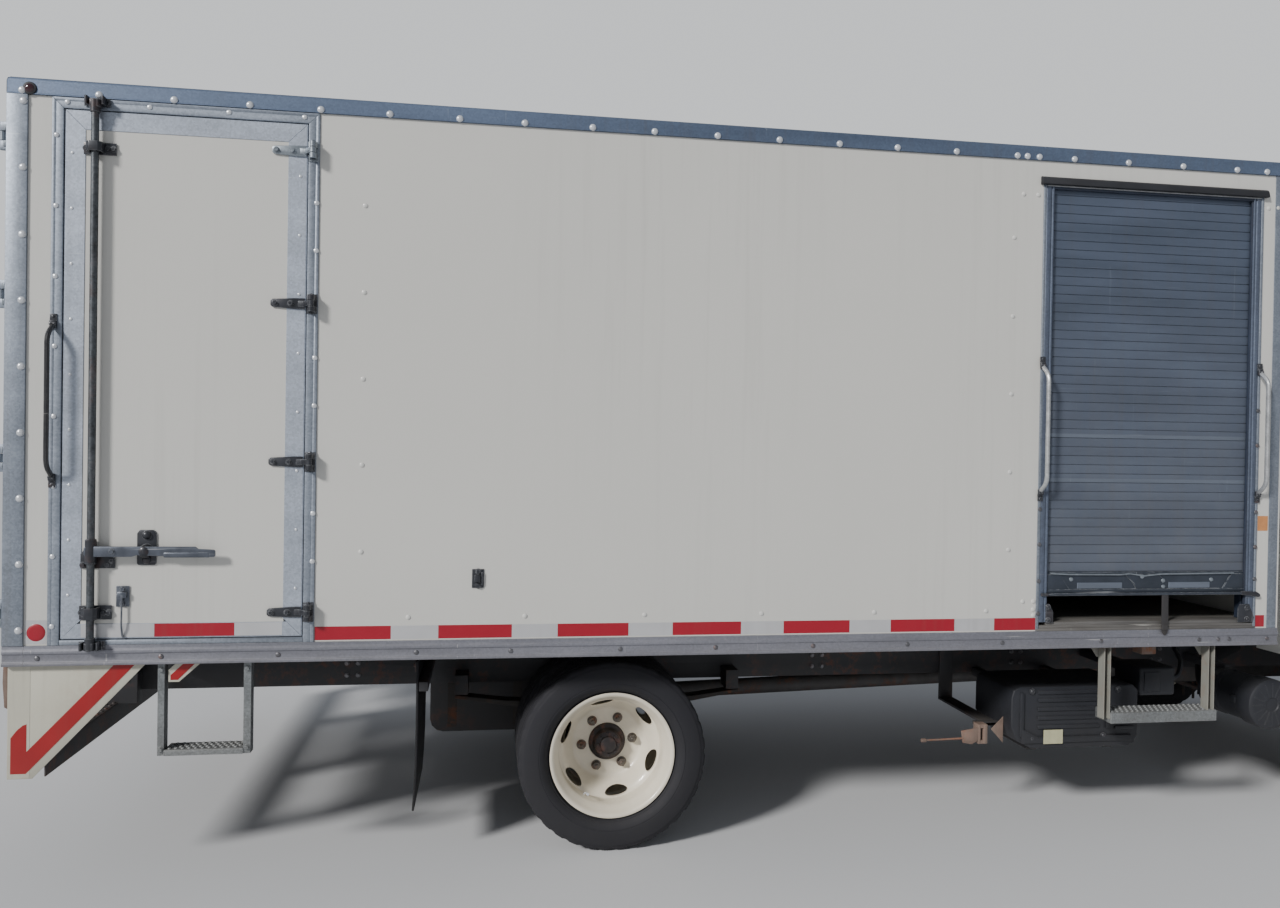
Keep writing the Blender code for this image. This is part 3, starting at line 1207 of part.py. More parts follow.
def roller_door_frame():
    outer = shutter_frame_box(0)
    rear, foot = outer[0]
    front, top = outer[2]
    proud = WALL_FACE + SIDE_FRAME_PROUD
    piece = solid("roller_door_frame", prism(outer, "Y", -proud, -WALL_INNER), "aluminium")
    inner = rounded((rear + SHUTTER_JAMB, DECK_TOP), (front - SHUTTER_JAMB, top - SHUTTER_HEAD), (0, 0, 0, 0))
    cut(piece, prism(inner, "Y", -proud - OVERRUN, OVERRUN - WALL_INNER))
    slot_face = WALL_FACE - SLAT_SET_BACK + SEAT
    slot = slot_face - SLAT_DEPTH - SEAT * 2
    low = (rear + SHUTTER_GUIDE_WALL, -slot_face, DECK_TOP)
    cut(piece, block(low, (front - SHUTTER_GUIDE_WALL, -slot, top - SHUTTER_GUIDE_WALL)))
    cap_low = (rear - DRIP_CAP_OVER, -proud - DRIP_CAP, top - SHUTTER_HEAD + LAP)
    unite(piece, block(cap_low, (front + DRIP_CAP_OVER, -proud + LAP / 2, top - LAP)))
    for x in (rear + SHUTTER_JAMB / 4, front - SHUTTER_JAMB / 4):
        unite(piece, pipe(bent_handle(x, proud, SHUTTER_HANDLE_FOOT, SHUTTER_HANDLE_HEAD), HANDLE_TUBE, 6))
    return piece


def roller_shutter():
    """Curtain of interlocking slats with a stiff bottom bar, left open a hand's breadth."""
    rear, front = shutter_frame_box(0)[0][0], shutter_frame_box(0)[2][0]
    face = WALL_FACE - SLAT_SET_BACK
    back = face - SLAT_DEPTH
    bar_foot = DECK_TOP + SHUTTER_LIFT
    foot = bar_foot + SHUTTER_BAR
    top = SHUTTER_HEAD_TOP - SHUTTER_GUIDE_WALL - SEAT
    count = int((top - foot) / SLAT_PITCH)
    line = [(-back, bar_foot), (-face, bar_foot)]
    for slat in range(count):
        low = foot + slat * SLAT_PITCH
        line += [(SLAT_GROOVE - face, low), (SLAT_GROOVE - face, low + SLAT_GROOVE), (-face, low + SLAT_GROOVE * 1.2)]
        line.append((-face, low + SLAT_PITCH - SLAT_GROOVE * 0.2))
    line += [(-face, top), (-back, top)]
    inset = SHUTTER_GUIDE_WALL + SEAT
    piece = solid("roller_shutter", prism(line, "X", rear + inset, front - inset), "shutter_grey")
    side = SHUTTER_JAMB + LAP
    low = (rear + side, -face - SHUTTER_LIP, bar_foot)
    unite(piece, block(low, (front - side, LAP / 2 - face, bar_foot + LAP * 2)))
    middle = (rear + side, -face - SHUTTER_LIP / 3, bar_foot + LAP)
    unite(piece, block(middle, (front - side, LAP / 2 - face, foot - LAP)))
    return piece


# Steps, flaps and the rear step bumper


def side_step(name, place, length, tread, finish):
    """Two posts under the bottom rail with a tread between them."""
    outer = HALF_BODY - STEP_INSET
    rear = BODY_REAR + place
    top = SIDE_RAIL_BOTTOM - SEAT
    tread_box = block((rear, -outer, tread - STEP_TREAD), (rear + length, STEP_DEPTH - outer, tread))
    piece = solid(name, tread_box, finish)
    for near in (rear, rear + length - STEP_POST):
        low = (near, -outer + LAP, tread - LAP)
        unite(piece, block(low, (near + STEP_POST, -outer + SIDE_RAIL_DEPTH - LAP, top)))
    return piece


def rear_step_bumper():
    """Step across the tail on two hangers, with a three-cornered plate at each side."""
    rear = BODY_REAR + PLATE_REAR
    top = SIDE_RAIL_BOTTOM - SEAT
    plate = [(rear, PLATE_FOOT), (rear + PLATE_FOOT_LENGTH, PLATE_FOOT), (rear + PLATE_TOP_LENGTH, top), (rear, top)]
    half = HALF_BODY - PLATE_INSET
    low = (rear + LAP, -half + LAP, PLATE_FOOT + LAP)
    step = block(low, (rear + BUMPER_STEP_DEPTH, half - LAP, PLATE_FOOT + BUMPER_STEP_HEIGHT))
    piece = solid("rear_step_bumper", step, "chassis_black")
    for side in SIDES.values():
        inner, outer = sorted((side * (half - PLATE_SHEET), side * half))
        unite(piece, prism(plate, "Y", inner, outer))
        near = FRAME_REAR + LAP
        outer = side * (HALF_FRAME + BUMPER_HANGER)
        unite(piece, block((rear + BUMPER_HANGER, side * (HALF_FRAME + SEAT), PLATE_FOOT + BUMPER_STEP_HEIGHT - LAP),
                           (near + BUMPER_HANGER * 2, outer, FRAME_TOP - LAP)))
    return piece


def mud_flap(label, side):
    x = BODY_REAR + FLAP_PLACE
    outer = side * FLAP_OUTER
    inner = side * (FLAP_OUTER - FLAP_WIDTH)
    shape = block((x, inner, FLAP_FOOT), (x + FLAP_SHEET, outer, SIDE_RAIL_BOTTOM - BRACKET))
    piece = solid(f"mud_flap_{label}", shape, "tyre_rubber")
    arm_top = FRAME_TOP - BRACKET
    arm_low = (x + FLAP_SHEET - LAP, side * (HALF_FRAME + SEAT), arm_top - BRACKET)
    unite(piece, block(arm_low, (x + FLAP_SHEET + BRACKET, outer, arm_top)))
    return piece


# Cab


def cab_ring(row, inset):
    """One level outline of the cab, moved in by a wall's thickness."""
    height, front_back, rear_back, half_width, front_radius, rear_radius, drop = row
    low = (CAB_REAR + rear_back + inset, inset - half_width)
    high = (CAB_FRONT - front_back - inset, half_width - inset)
    front, rear = max(front_radius - inset, LAP), max(rear_radius - inset, LAP)
    outline = rounded(low, high, (rear, front, front, rear))
    return [(x, y, height - inset * drop) for x, y in outline]


def cab_row_at(height):
    """A section between two rows of the table."""
    below = max(row for row in CAB_SECTIONS if row[0] <= height)
    above = min(row for row in CAB_SECTIONS if row[0] > height)
    share = (height - below[0]) / (above[0] - below[0])
    return tuple(a + (b - a) * share for a, b in zip(below, above))


def cab_space(inset, foot=None):
    """The cab's outer form, or the space inside a wall of the given thickness."""
    rows = list(CAB_SECTIONS)
    if foot is not None:
        rows = [cab_row_at(foot)] + [row for row in rows if row[0] > foot]
    return loft([cab_ring(row, inset) for row in rows])


def door_outline(growth):
    slope_top = DOOR_FRONT - DOOR_LENGTH * 0.35
    rear = DOOR_FRONT - DOOR_LENGTH
    points = [(rear, DOOR_FOOT), (DOOR_FRONT, DOOR_FOOT), (DOOR_FRONT, BELT), (slope_top, DOOR_TOP), (rear, DOOR_TOP)]
    return grown(points, growth)


def window_outline(growth):
    frame = WINDOW_FRAME
    rear = DOOR_FRONT - DOOR_LENGTH + frame
    front = DOOR_FRONT - frame
    slope_top = DOOR_FRONT - DOOR_LENGTH * 0.35 - frame * 0.8
    points = [(rear, WINDOW_FOOT), (front, WINDOW_FOOT), (slope_top, WINDOW_TOP), (rear, WINDOW_TOP)]
    return grown(points, growth)


def screen_outline(growth):
    foot, top = SCREEN_FOOT_WIDTH / 2, SCREEN_TOP_WIDTH / 2
    return grown([(-foot, SCREEN_FOOT), (foot, SCREEN_FOOT), (top, SCREEN_TOP), (-top, SCREEN_TOP)], growth)


def rear_window_outline(growth):
    half = REAR_WINDOW_WIDTH / 2
    return grown(rounded((-half, REAR_WINDOW_FOOT), (half, REAR_WINDOW_TOP), (0, 0, 0, 0)), growth)


def through_side(outline, side):
    near, far = side * HALF_FRAME, side * (BUMPER_HALF_WIDTH + OVERRUN)
    return prism(outline, "Y", min(near, far), max(near, far))


def through_front(outline):
    return prism(outline, "X", CAB_FRONT - SCREEN_DEPTH, CAB_FRONT + OVERRUN)


def through_back(outline):
    return prism(outline, "X", CAB_REAR - OVERRUN, CAB_REAR + WINDOW_FRAME * 2)


def wheel_arch(growth):
    reach = BUMPER_HALF_WIDTH + OVERRUN
    profile = ((-reach, 0), (-reach, ARCH_RADIUS + growth), (reach, ARCH_RADIUS + growth), (reach, 0))
    return lathe(profile, (FRONT_AXLE, 0, TYRE_RADIUS), steps=WHEEL_STEPS)


def cab_shell():
    """Hollow cab: roof, back, pillars, nose, side skirts and floor, with its openings cut."""
    piece = solid("cab_shell", cab_space(0), "cab_paint")
    deck = CAB_FLOOR + CAB_DECK
    cut(piece, cab_space(CAB_WALL, deck))
    foot = CAB_SECTIONS[0][0] - OVERRUN
    half = SKIRT_INNER
    cut(piece, block((CAB_REAR - OVERRUN, -half, foot), (CAB_FRONT - CAB_WALL, half, CAB_FLOOR)))
    hump_front = HUMP_REAR + HUMP_LENGTH
    hump = HUMP_WIDTH / 2
    unite(piece, block((HUMP_REAR, -hump, CAB_FLOOR + LAP), (hump_front, hump, HUMP_TOP)))
    plate = HUMP_PLATE
    well_low = (HUMP_REAR + plate, plate - hump, CAB_FLOOR - OVERRUN)
    cut(piece, block(well_low, (hump_front - plate, hump - plate, HUMP_TOP - plate)))
    cut(piece, wheel_arch(0))
    cut(piece, through_front(screen_outline(0)), through_back(rear_window_outline(0)))
    for side in SIDES.values():
        cut(piece, through_side(door_outline(DOOR_GAP / 2), side))
        inner = HALF_FRAME + LUG_GAP
        unite(piece, tilt_lug(side * inner, side * (inner + LUG_PLATE), CAB_FLOOR + LAP, False))
        for height in DOOR_HINGE_HEIGHTS:
            unite(piece, cab_door_knuckle(side, 1, height - DOOR_HINGE_HEIGHT / 2, height - LUG_GAP / 2))
    return piece


def layer(name, outer, inner, finish):
    """A thin skin that follows the cab's form between two depths."""
    piece = solid(name, cab_space(outer), finish)
    return cut(piece, cab_space(inner))


def cab_panes():
    screen = layer("windscreen", GLASS_INSET, GLASS_INSET + GLASS, "glass")
    keep(screen, through_front(screen_outline(-SEAT)))
    pane = layer("rear_window", GLASS_INSET, GLASS_INSET + GLASS, "glass")
    keep(pane, through_back(rear_window_outline(-SEAT)))


def cab_doors():
    for label, side in SIDES.items():
        leaf = layer(f"cab_door_{label}", 0, CAB_WALL, "cab_paint")
        keep(leaf, through_side(door_outline(-DOOR_GAP / 2), side))
        cut(leaf, wheel_arch(DOOR_GAP), through_side(window_outline(0), side))
        for height in DOOR_HINGE_HEIGHTS:
            unite(leaf, cab_door_knuckle(side, -1, height + LUG_GAP / 2, height + DOOR_HINGE_HEIGHT / 2))
        pane = layer(f"door_glass_{label}", GLASS_INSET, GLASS_INSET + GLASS, "glass")
        keep(pane, through_side(window_outline(-SEAT), side))
        hang_on_axis(f"cab_door_axis_{label}", cab_hinge(side), [leaf, pane])


def cab_hinge(side):
    return (DOOR_FRONT, side * (CAB_SECTIONS[2][3] + DOOR_HINGE_PROUD), BELT)


def cab_door_knuckle(side, way, low, high):
    """Half of a door hinge, with its leaf let in to the skin ahead of the axis or behind it."""
    x, y = cab_hinge(side)[:2]
    round_end = arc((0, 0), DOOR_HINGE_RADIUS, 90, 270, 6)
    inner = CAB_SECTIONS[1][3] - CAB_WALL / 3 - CAB_SECTIONS[2][3] - DOOR_HINGE_PROUD
    outline = [(x - way * a, y + side * b) for a, b in round_end]
    outline += [(x + way * DOOR_GAP, y + side * inner), (x + way * DOOR_HINGE_REACH, y + side * inner)]
    outline.append((x + way * DOOR_HINGE_REACH, y + side * DOOR_HINGE_RADIUS / 2))
    return prism(outline, "Z", low, high)


def seats():
    """Driver's seat and double passenger seat on one base over the engine cover."""
    base = HUMP_TOP + SEAT
    rear = SEAT_REAR
    front = rear + SEAT_CUSHION_LENGTH
    back = SEAT_BACK
    outline = [
        (rear + back / 2, base), (front - back / 4, base), (front, base + back * 0.7), (front - back / 4, SEAT_CUSHION_TOP),
        (rear + back * 1.4, SEAT_CUSHION_TOP - back / 6), (rear + back, SEAT_BACK_TOP - back / 3),
        (rear + back * 0.7, SEAT_BACK_TOP), (rear, SEAT_BACK_TOP - back / 4),
    ]
    half = SEAT_WIDTH / 2
    piece = solid("seats", prism(outline, "Y", SEAT_SPLIT + SEAT_SPLIT_GAP, half), "seat_cloth")
    unite(piece, prism(outline, "Y", -half, SEAT_SPLIT))
    base_front = front - back
    low = (rear + back, LAP - half, base)
    unite(piece, block(low, (base_front, half - LAP, base + SEAT_BASE)))
    inner = HUMP_WIDTH / 2 + SEAT_SPLIT_GAP / 2
    deck = CAB_FLOOR + CAB_DECK + SEAT
    for side in SIDES.values():
        box = block((rear + back * 1.2, side * inner, deck), (base_front - LAP, side * (half - LAP * 2), base + LAP))
        unite(piece, box)
    return piece


def dashboard():
    front = CAB_FRONT - CAB_WALL / 2
    slope = DASH_REAR + DASH_BROW
    outline = [
        (slope, DASH_FOOT), (front, DASH_FOOT), (front, DASH_TOP - DASH_BROW / 4), (slope + DASH_BROW, DASH_TOP),
        (slope, DASH_TOP - DASH_BROW / 8), (DASH_REAR, DASH_TOP - DASH_BROW),
    ]
    half = DASH_WIDTH / 2
    piece = solid("dashboard", prism(outline, "Y", -half, half), "trim_grey")
    keep(piece, cab_space(CAB_WALL + SEAT))
    axis = wheel_axis()
    start = Vector((WHEEL_PLACE, WHEEL_SIDE, WHEEL_HEIGHT)) - axis * (WHEEL_HUB_DEPTH + SEAT)
    unite(piece, rod(start, start - axis * (WHEEL_RIM_RADIUS + DASH_BROW * 1.2), COLUMN_RADIUS))
    return piece


def wheel_axis():
    """Unit vector from the steering column to the driver."""
    return Vector((-math.sin(WHEEL_LEAN), 0, math.cos(WHEEL_LEAN)))


def steering_wheel():
    centre = Vector((WHEEL_PLACE, WHEEL_SIDE, WHEEL_HEIGHT))
    steps = 6
    ring = [(WHEEL_RIM_TUBE * math.cos(math.tau * step / steps), WHEEL_RIM_TUBE * math.sin(math.tau * step / steps))
            for step in range(steps)]
    profile = [(along, WHEEL_RIM_RADIUS + across) for along, across in ring]
    piece = solid("steering_wheel", lathe(profile, centre, wheel_axis(), 20), "black_plastic")
    axis = wheel_axis()
    across = Vector((0, 1, 0))
    other = axis.cross(across)
    for turn in (0, 180, 270):
        angle = math.radians(turn)
        out = math.cos(angle) * across + math.sin(angle) * other
        inner = centre - axis * WHEEL_HUB_DEPTH / 2
        unite(piece, rod(inner, centre + out * WHEEL_RIM_RADIUS, WHEEL_RIM_TUBE * 0.8, 6))
    unite(piece, rod(centre - axis * WHEEL_HUB_DEPTH, centre, WHEEL_HUB))
    hang_on_axis("steering_wheel_axis", centre, [piece])
    return piece


def front_bumper():
    """Pressed bumper round the nose, with an entry step in each wing and arms under the frame."""
    rear = HALF_LENGTH - BUMPER_WING
    low, high = (rear - OVERRUN, -BUMPER_HALF_WIDTH), (HALF_LENGTH, BUMPER_HALF_WIDTH)
    outer = rounded(low, high, (0, BUMPER_CORNER, BUMPER_CORNER, 0), 5)
    piece = solid("front_bumper", prism(outer, "Z", BUMPER_FOOT, BUMPER_TOP), "cab_paint")
    inner = grown(outer, -BUMPER_SHEET)
    inner = [(x - OVERRUN if x < rear else x, y) for x, y in inner]
    cut(piece, prism(inner, "Z", BUMPER_FOOT - OVERRUN, BUMPER_TOP + OVERRUN))
    arm_top = FRAME_FOOT - SEAT
    for side in SIDES.values():
        outer_y = side * (HALF_FRAME - LAP)
        arm_low = (FRAME_FRONT - BUMPER_ARM_LAP, outer_y - side * BUMPER_ARM, arm_top - BUMPER_ARM_HEIGHT)
        unite(piece, block(arm_low, (HALF_LENGTH - BUMPER_SHEET / 2, outer_y, arm_top)))
        step_low = (rear - OVERRUN + LAP, side * (BUMPER_HALF_WIDTH - ENTRY_STEP_WIDTH), BUMPER_FOOT + LAP)
        step_high = (rear + ENTRY_STEP, side * (BUMPER_HALF_WIDTH - BUMPER_SHEET / 2), BUMPER_FOOT + BUMPER_SHEET * 2)
        unite(piece, block(step_low, step_high))
    return piece


def mirror(label, side):
    outer = side * MIRROR_SPAN / 2
    inner = outer - side * MIRROR_WIDTH
    low = (MIRROR_PLACE - MIRROR_DEPTH / 2, min(inner, outer), MIRROR_FOOT)
    high = (MIRROR_PLACE + MIRROR_DEPTH / 2, max(inner, outer), MIRROR_FOOT + MIRROR_HEIGHT)
    case = rounded(low[:2], high[:2], (0, MIRROR_DEPTH * 0.4, MIRROR_DEPTH * 0.4, 0), 3)
    piece = solid(f"mirror_{label}", prism(case, "Z", low[2], high[2]), "black_plastic")
    middle = (inner + outer) / 2
    top = high[2]
    stem = MIRROR_PLACE + MIRROR_TUBE
    pillar_top = DOOR_FRONT - DOOR_LENGTH * 0.16
    pillar_y = side * (CAB_SECTIONS[3][3] - CAB_WALL)
    upper = ((stem, middle, top - LAP * 3), (stem, middle, top + MIRROR_TUBE * 3), (pillar_top, pillar_y, top + MIRROR_TUBE * 3))
    lower_y = side * (CAB_SECTIONS[2][3] - CAB_WALL)
    lower = ((stem, middle, low[2] + LAP * 3), (stem, middle, low[2] - MIRROR_TUBE * 3),
             (MIRROR_PLACE - MIRROR_DEPTH, lower_y, low[2] - MIRROR_TUBE * 3))
    unite(piece, pipe(upper, MIRROR_TUBE, 6), pipe(lower, MIRROR_TUBE, 6))
    cut(piece, cab_space(-SEAT))
    return piece


def build():
    clear_scene()
    chassis_frame()
    front_axle()
    rear_axle()
    propeller_shaft()
    engine_block()
    fuel_tank()
    battery_box()
    air_cleaner()
    exhaust()
    wheels()
    steering()
    floor()
    for label, side in SIDES.items():
        bottom_rail(label, side)
        mud_flap(label, side)
        mirror(label, side)
    walls()
    roof()
    rear_frame()
    rear_doors()
    side_door_frame()
    side_door()
    roller_door_frame()
    roller_shutter()
    side_step("rear_side_step", REAR_STEP_PLACE, REAR_STEP_LENGTH, REAR_STEP_TREAD, "galvanised")
    side_step("front_side_step", FRONT_STEP_PLACE, FRONT_STEP_LENGTH, FRONT_STEP_TREAD, "cream_panel")
    rear_step_bumper()
    cab_shell()
    cab_panes()
    cab_doors()
    seats()
    dashboard()
    steering_wheel()
    front_bumper()


build()
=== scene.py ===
import json
from math import atan2, copysign, cos, dist, hypot, pi, radians, sin, tan, tau

import bmesh
import bpy
from bmesh import ops
from mathutils import Matrix, Vector


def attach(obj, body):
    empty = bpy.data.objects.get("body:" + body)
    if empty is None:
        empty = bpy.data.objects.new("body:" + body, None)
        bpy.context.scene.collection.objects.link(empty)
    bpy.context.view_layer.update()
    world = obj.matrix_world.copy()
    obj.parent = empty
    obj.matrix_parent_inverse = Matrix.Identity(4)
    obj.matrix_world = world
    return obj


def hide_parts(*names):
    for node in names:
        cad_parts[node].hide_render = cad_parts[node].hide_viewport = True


# Looks of the box truck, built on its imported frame. Metres, +X forward, +Y left, +Z up.
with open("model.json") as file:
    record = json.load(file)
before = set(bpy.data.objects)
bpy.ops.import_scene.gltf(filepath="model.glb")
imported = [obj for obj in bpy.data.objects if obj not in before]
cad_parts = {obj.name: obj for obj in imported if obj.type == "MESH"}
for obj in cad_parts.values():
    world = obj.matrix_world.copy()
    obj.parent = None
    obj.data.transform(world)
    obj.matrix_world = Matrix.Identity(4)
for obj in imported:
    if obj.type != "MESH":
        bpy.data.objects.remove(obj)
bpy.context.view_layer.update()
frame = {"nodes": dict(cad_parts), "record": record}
SCENE = bpy.context.scene
BODY_OF = {node: body for body, nodes in frame["record"]["behaviour"]["bodies"].items() for node in nodes}
RIGHT, LEFT = -1, 1


def tint(red, green, blue):
    """Linear colour from the 0 to 255 values of a paint chart."""
    values = [value / 255 for value in (red, green, blue)]
    return (*[v / 12.92 if v <= 0.04045 else ((v + 0.055) / 1.055) ** 2.4 for v in values], 1.0)


def shaded(colour, factor):
    return (*[min(value * factor, 1.0) for value in colour[:3]], 1.0)


# Shader wiring


class Wiring:
    """Adds nodes to one shader tree. Every input is a number, a colour or another node's output."""

    def __init__(self, tree):
        self.tree = tree

    def feed(self, socket, value):
        if isinstance(value, bpy.types.NodeSocket):
            self.tree.links.new(value, socket)
        else:
            socket.default_value = value

    def add(self, kind, settings=None, **inputs):
        node = self.tree.nodes.new("ShaderNode" + kind)
        for key, value in (settings or {}).items():
            setattr(node, key, value)
        for key, value in inputs.items():
            self.feed(node.inputs[key.replace("_", " ")], value)
        return node

    def math(self, operation, first, second=0.0, clamp=False):
        node = self.add("Math", {"operation": operation, "use_clamp": clamp})
        self.feed(node.inputs[0], first)
        self.feed(node.inputs[1], second)
        return node.outputs[0]

    def mix(self, share, first, second, blend="MIX"):
        node = self.add("Mix", {"data_type": "RGBA", "blend_type": blend})
        self.feed(node.inputs[0], share)
        self.feed(node.inputs[6], first)
        self.feed(node.inputs[7], second)
        return node.outputs[2]

    def span(self, value, low, high, to_low=0.0, to_high=1.0):
        node = self.add("MapRange", {"clamp": True})
        for socket, item in zip(node.inputs, (value, low, high, to_low, to_high)):
            self.feed(socket, item)
        return node.outputs[0]

    def place(self, scale=(1, 1, 1), turn=(0, 0, 0), shift=(0, 0, 0)):
        where = self.add("TexCoord").outputs["Object"]
        return self.add("Mapping", Vector=where, Location=shift, Rotation=turn, Scale=scale).outputs[0]

    def noise(self, vector, scale, detail=3.0, roughness=0.55):
        return self.add("TexNoise", Vector=vector, Scale=scale, Detail=detail, Roughness=roughness).outputs[0]

    def use(self, group, **inputs):
        node = self.tree.nodes.new("ShaderNodeGroup")
        node.node_tree = group
        for key, value in inputs.items():
            self.feed(node.inputs[key.replace("_", " ")], value)
        return node.outputs


def shader_group(name, inputs, outputs, wire):
    tree = bpy.data.node_groups.new(name, "ShaderNodeTree")
    for label, kind, value in inputs:
        socket = tree.interface.new_socket(name=label, in_out="INPUT", socket_type="NodeSocket" + kind)
        socket.default_value = value
    for label, kind in outputs:
        tree.interface.new_socket(name=label, in_out="OUTPUT", socket_type="NodeSocket" + kind)
    source, sink = tree.nodes.new("NodeGroupInput"), tree.nodes.new("NodeGroupOutput")
    for label, result in wire(Wiring(tree), source.outputs).items():
        tree.links.new(result, sink.inputs[label])
    return tree


def wire_clouding(work, given):
    flow = work.place(scale=given["Stretch"])
    return {"Value": work.span(work.noise(flow, given["Scale"], 5.0, 0.6), 0.32, 0.68)}


def wire_zinc(work, given):
    flow = work.place()
    cells = work.add("TexVoronoi", {"feature": "F1"}, Vector=flow, Scale=given["Scale"], Randomness=1.0)
    flake = work.add("SeparateColor", Color=cells.outputs["Color"]).outputs[0]
    broad = work.noise(flow, 7.0, 4.0)
    rolled = work.noise(work.place(scale=(3, 3, 220)), 3.0, 2.0)
    value = work.math("ADD", work.math("MULTIPLY", flake, 0.45), work.math("MULTIPLY", broad, 0.35))
    return {"Value": work.math("ADD", value, work.math("MULTIPLY", rolled, 0.35)), "Height": flake}


def wire_edge_wear(work, given):
    eased = work.add("Bevel", {"samples": 4}, Radius=0.003).outputs[0]
    plain = work.add("NewGeometry").outputs["Normal"]
    turned = work.add("VectorMath", {"operation": "DOT_PRODUCT"})
    work.feed(turned.inputs[0], eased)
    work.feed(turned.inputs[1], plain)
    edge = work.math("MULTIPLY", work.math("SUBTRACT", 1.0, turned.outputs["Value"]), 9.0, clamp=True)
    broken = work.span(work.noise(work.place(), 38.0, 5.0, 0.7), 0.38, 0.6)
    return {"Mask": work.math("MULTIPLY", work.math("MULTIPLY", edge, broken), given["Amount"], clamp=True)}


def wire_rain_marks(work, given):
    fine = work.noise(work.place(scale=(1, 1, 0.03)), given["Scale"], 4.0, 0.65)
    broad = work.noise(work.place(scale=(1, 1, 0.25)), 1.3, 2.0)
    marks = work.math("MULTIPLY", work.span(fine, 0.5, 0.78), work.span(broad, 0.4, 0.62))
    return {"Mask": work.math("MULTIPLY", marks, given["Amount"], clamp=True)}


def wire_scratches(work, given):
    marks = []
    for turn, stretch in (((0.3, 0.5, 0.2), (90, 90, 2.2)), ((1.1, 0.2, 0.7), (2.6, 110, 110))):
        line = work.noise(work.place(scale=stretch, turn=turn), given["Scale"], 2.0, 0.5)
        marks.append(work.span(line, 0.7, 0.74))
    both = work.math("MAXIMUM", marks[0], marks[1])
    patch = work.span(work.noise(work.place(), 5.0, 2.0), 0.45, 0.62)
    return {"Mask": work.math("MULTIPLY", work.math("MULTIPLY", both, patch), given["Amount"], clamp=True)}


def wire_road_film(work, given):
    height = work.add("SeparateXYZ", Vector=work.place()).outputs[2]
    low = work.span(height, given["Foot"], given["Head"], 1.0, 0.0)
    up = work.add("SeparateXYZ", Vector=work.add("NewGeometry").outputs["Normal"]).outputs[2]
    ledge = work.math("MULTIPLY", work.span(up, 0.3, 0.9), 0.55)
    uneven = work.span(work.noise(work.place(scale=(1, 1, 0.5)), 9.0, 6.0, 0.7), 0.25, 0.75, 0.35, 1.0)
    mask = work.math("MULTIPLY", work.math("MULTIPLY", work.math("ADD", low, ledge), uneven), given["Amount"],
            clamp=True)
    return {"Colour": work.mix(mask, given["Colour"], given["Film"]), "Mask": mask}


def wire_rust(work, given):
    spots = work.span(work.noise(work.place(), given["Scale"], 8.0, 0.72), 0.5, 0.6)
    patch = work.span(work.noise(work.place(), 3.1, 2.0), 0.42, 0.62)
    mask = work.math("MULTIPLY", work.math("MULTIPLY", spots, patch), given["Amount"], clamp=True)
    tone = work.noise(work.place(), 60.0, 4.0)
    return {"Mask": mask, "Colour": work.mix(tone, tint(88, 42, 22), tint(176, 98, 48))}


CLOUDING = shader_group("clouding", (("Scale", "Float", 5.0), ("Stretch", "Vector", (1, 1, 1))),
        (("Value", "Float"),), wire_clouding)
ZINC = shader_group("zinc_flakes", (("Scale", "Float", 160.0),), (("Value", "Float"), ("Height", "Float")),
        wire_zinc)
EDGE_WEAR = shader_group("edge_wear", (("Amount", "Float", 1.0),), (("Mask", "Float"),), wire_edge_wear)
RAIN_MARKS = shader_group("rain_marks", (("Amount", "Float", 1.0), ("Scale", "Float", 30.0)), (("Mask", "Float"),),
        wire_rain_marks)
SCRATCHES = shader_group("scratches", (("Amount", "Float", 1.0), ("Scale", "Float", 1.0)), (("Mask", "Float"),),
        wire_scratches)
ROAD_FILM = shader_group("road_film", (("Colour", "Color", (1, 1, 1, 1)), ("Film", "Color", (0.3, 0.27, 0.24, 1)),
        ("Amount", "Float", 0.5), ("Foot", "Float", 0.2), ("Head", "Float", 1.0)),
        (("Colour", "Color"), ("Mask", "Float")), wire_road_film)
RUST = shader_group("rust", (("Amount", "Float", 1.0), ("Scale", "Float", 14.0)),
        (("Mask", "Float"), ("Colour", "Color")), wire_rust)

DUST = tint(120, 112, 102)
GRIME = tint(96, 88, 78)


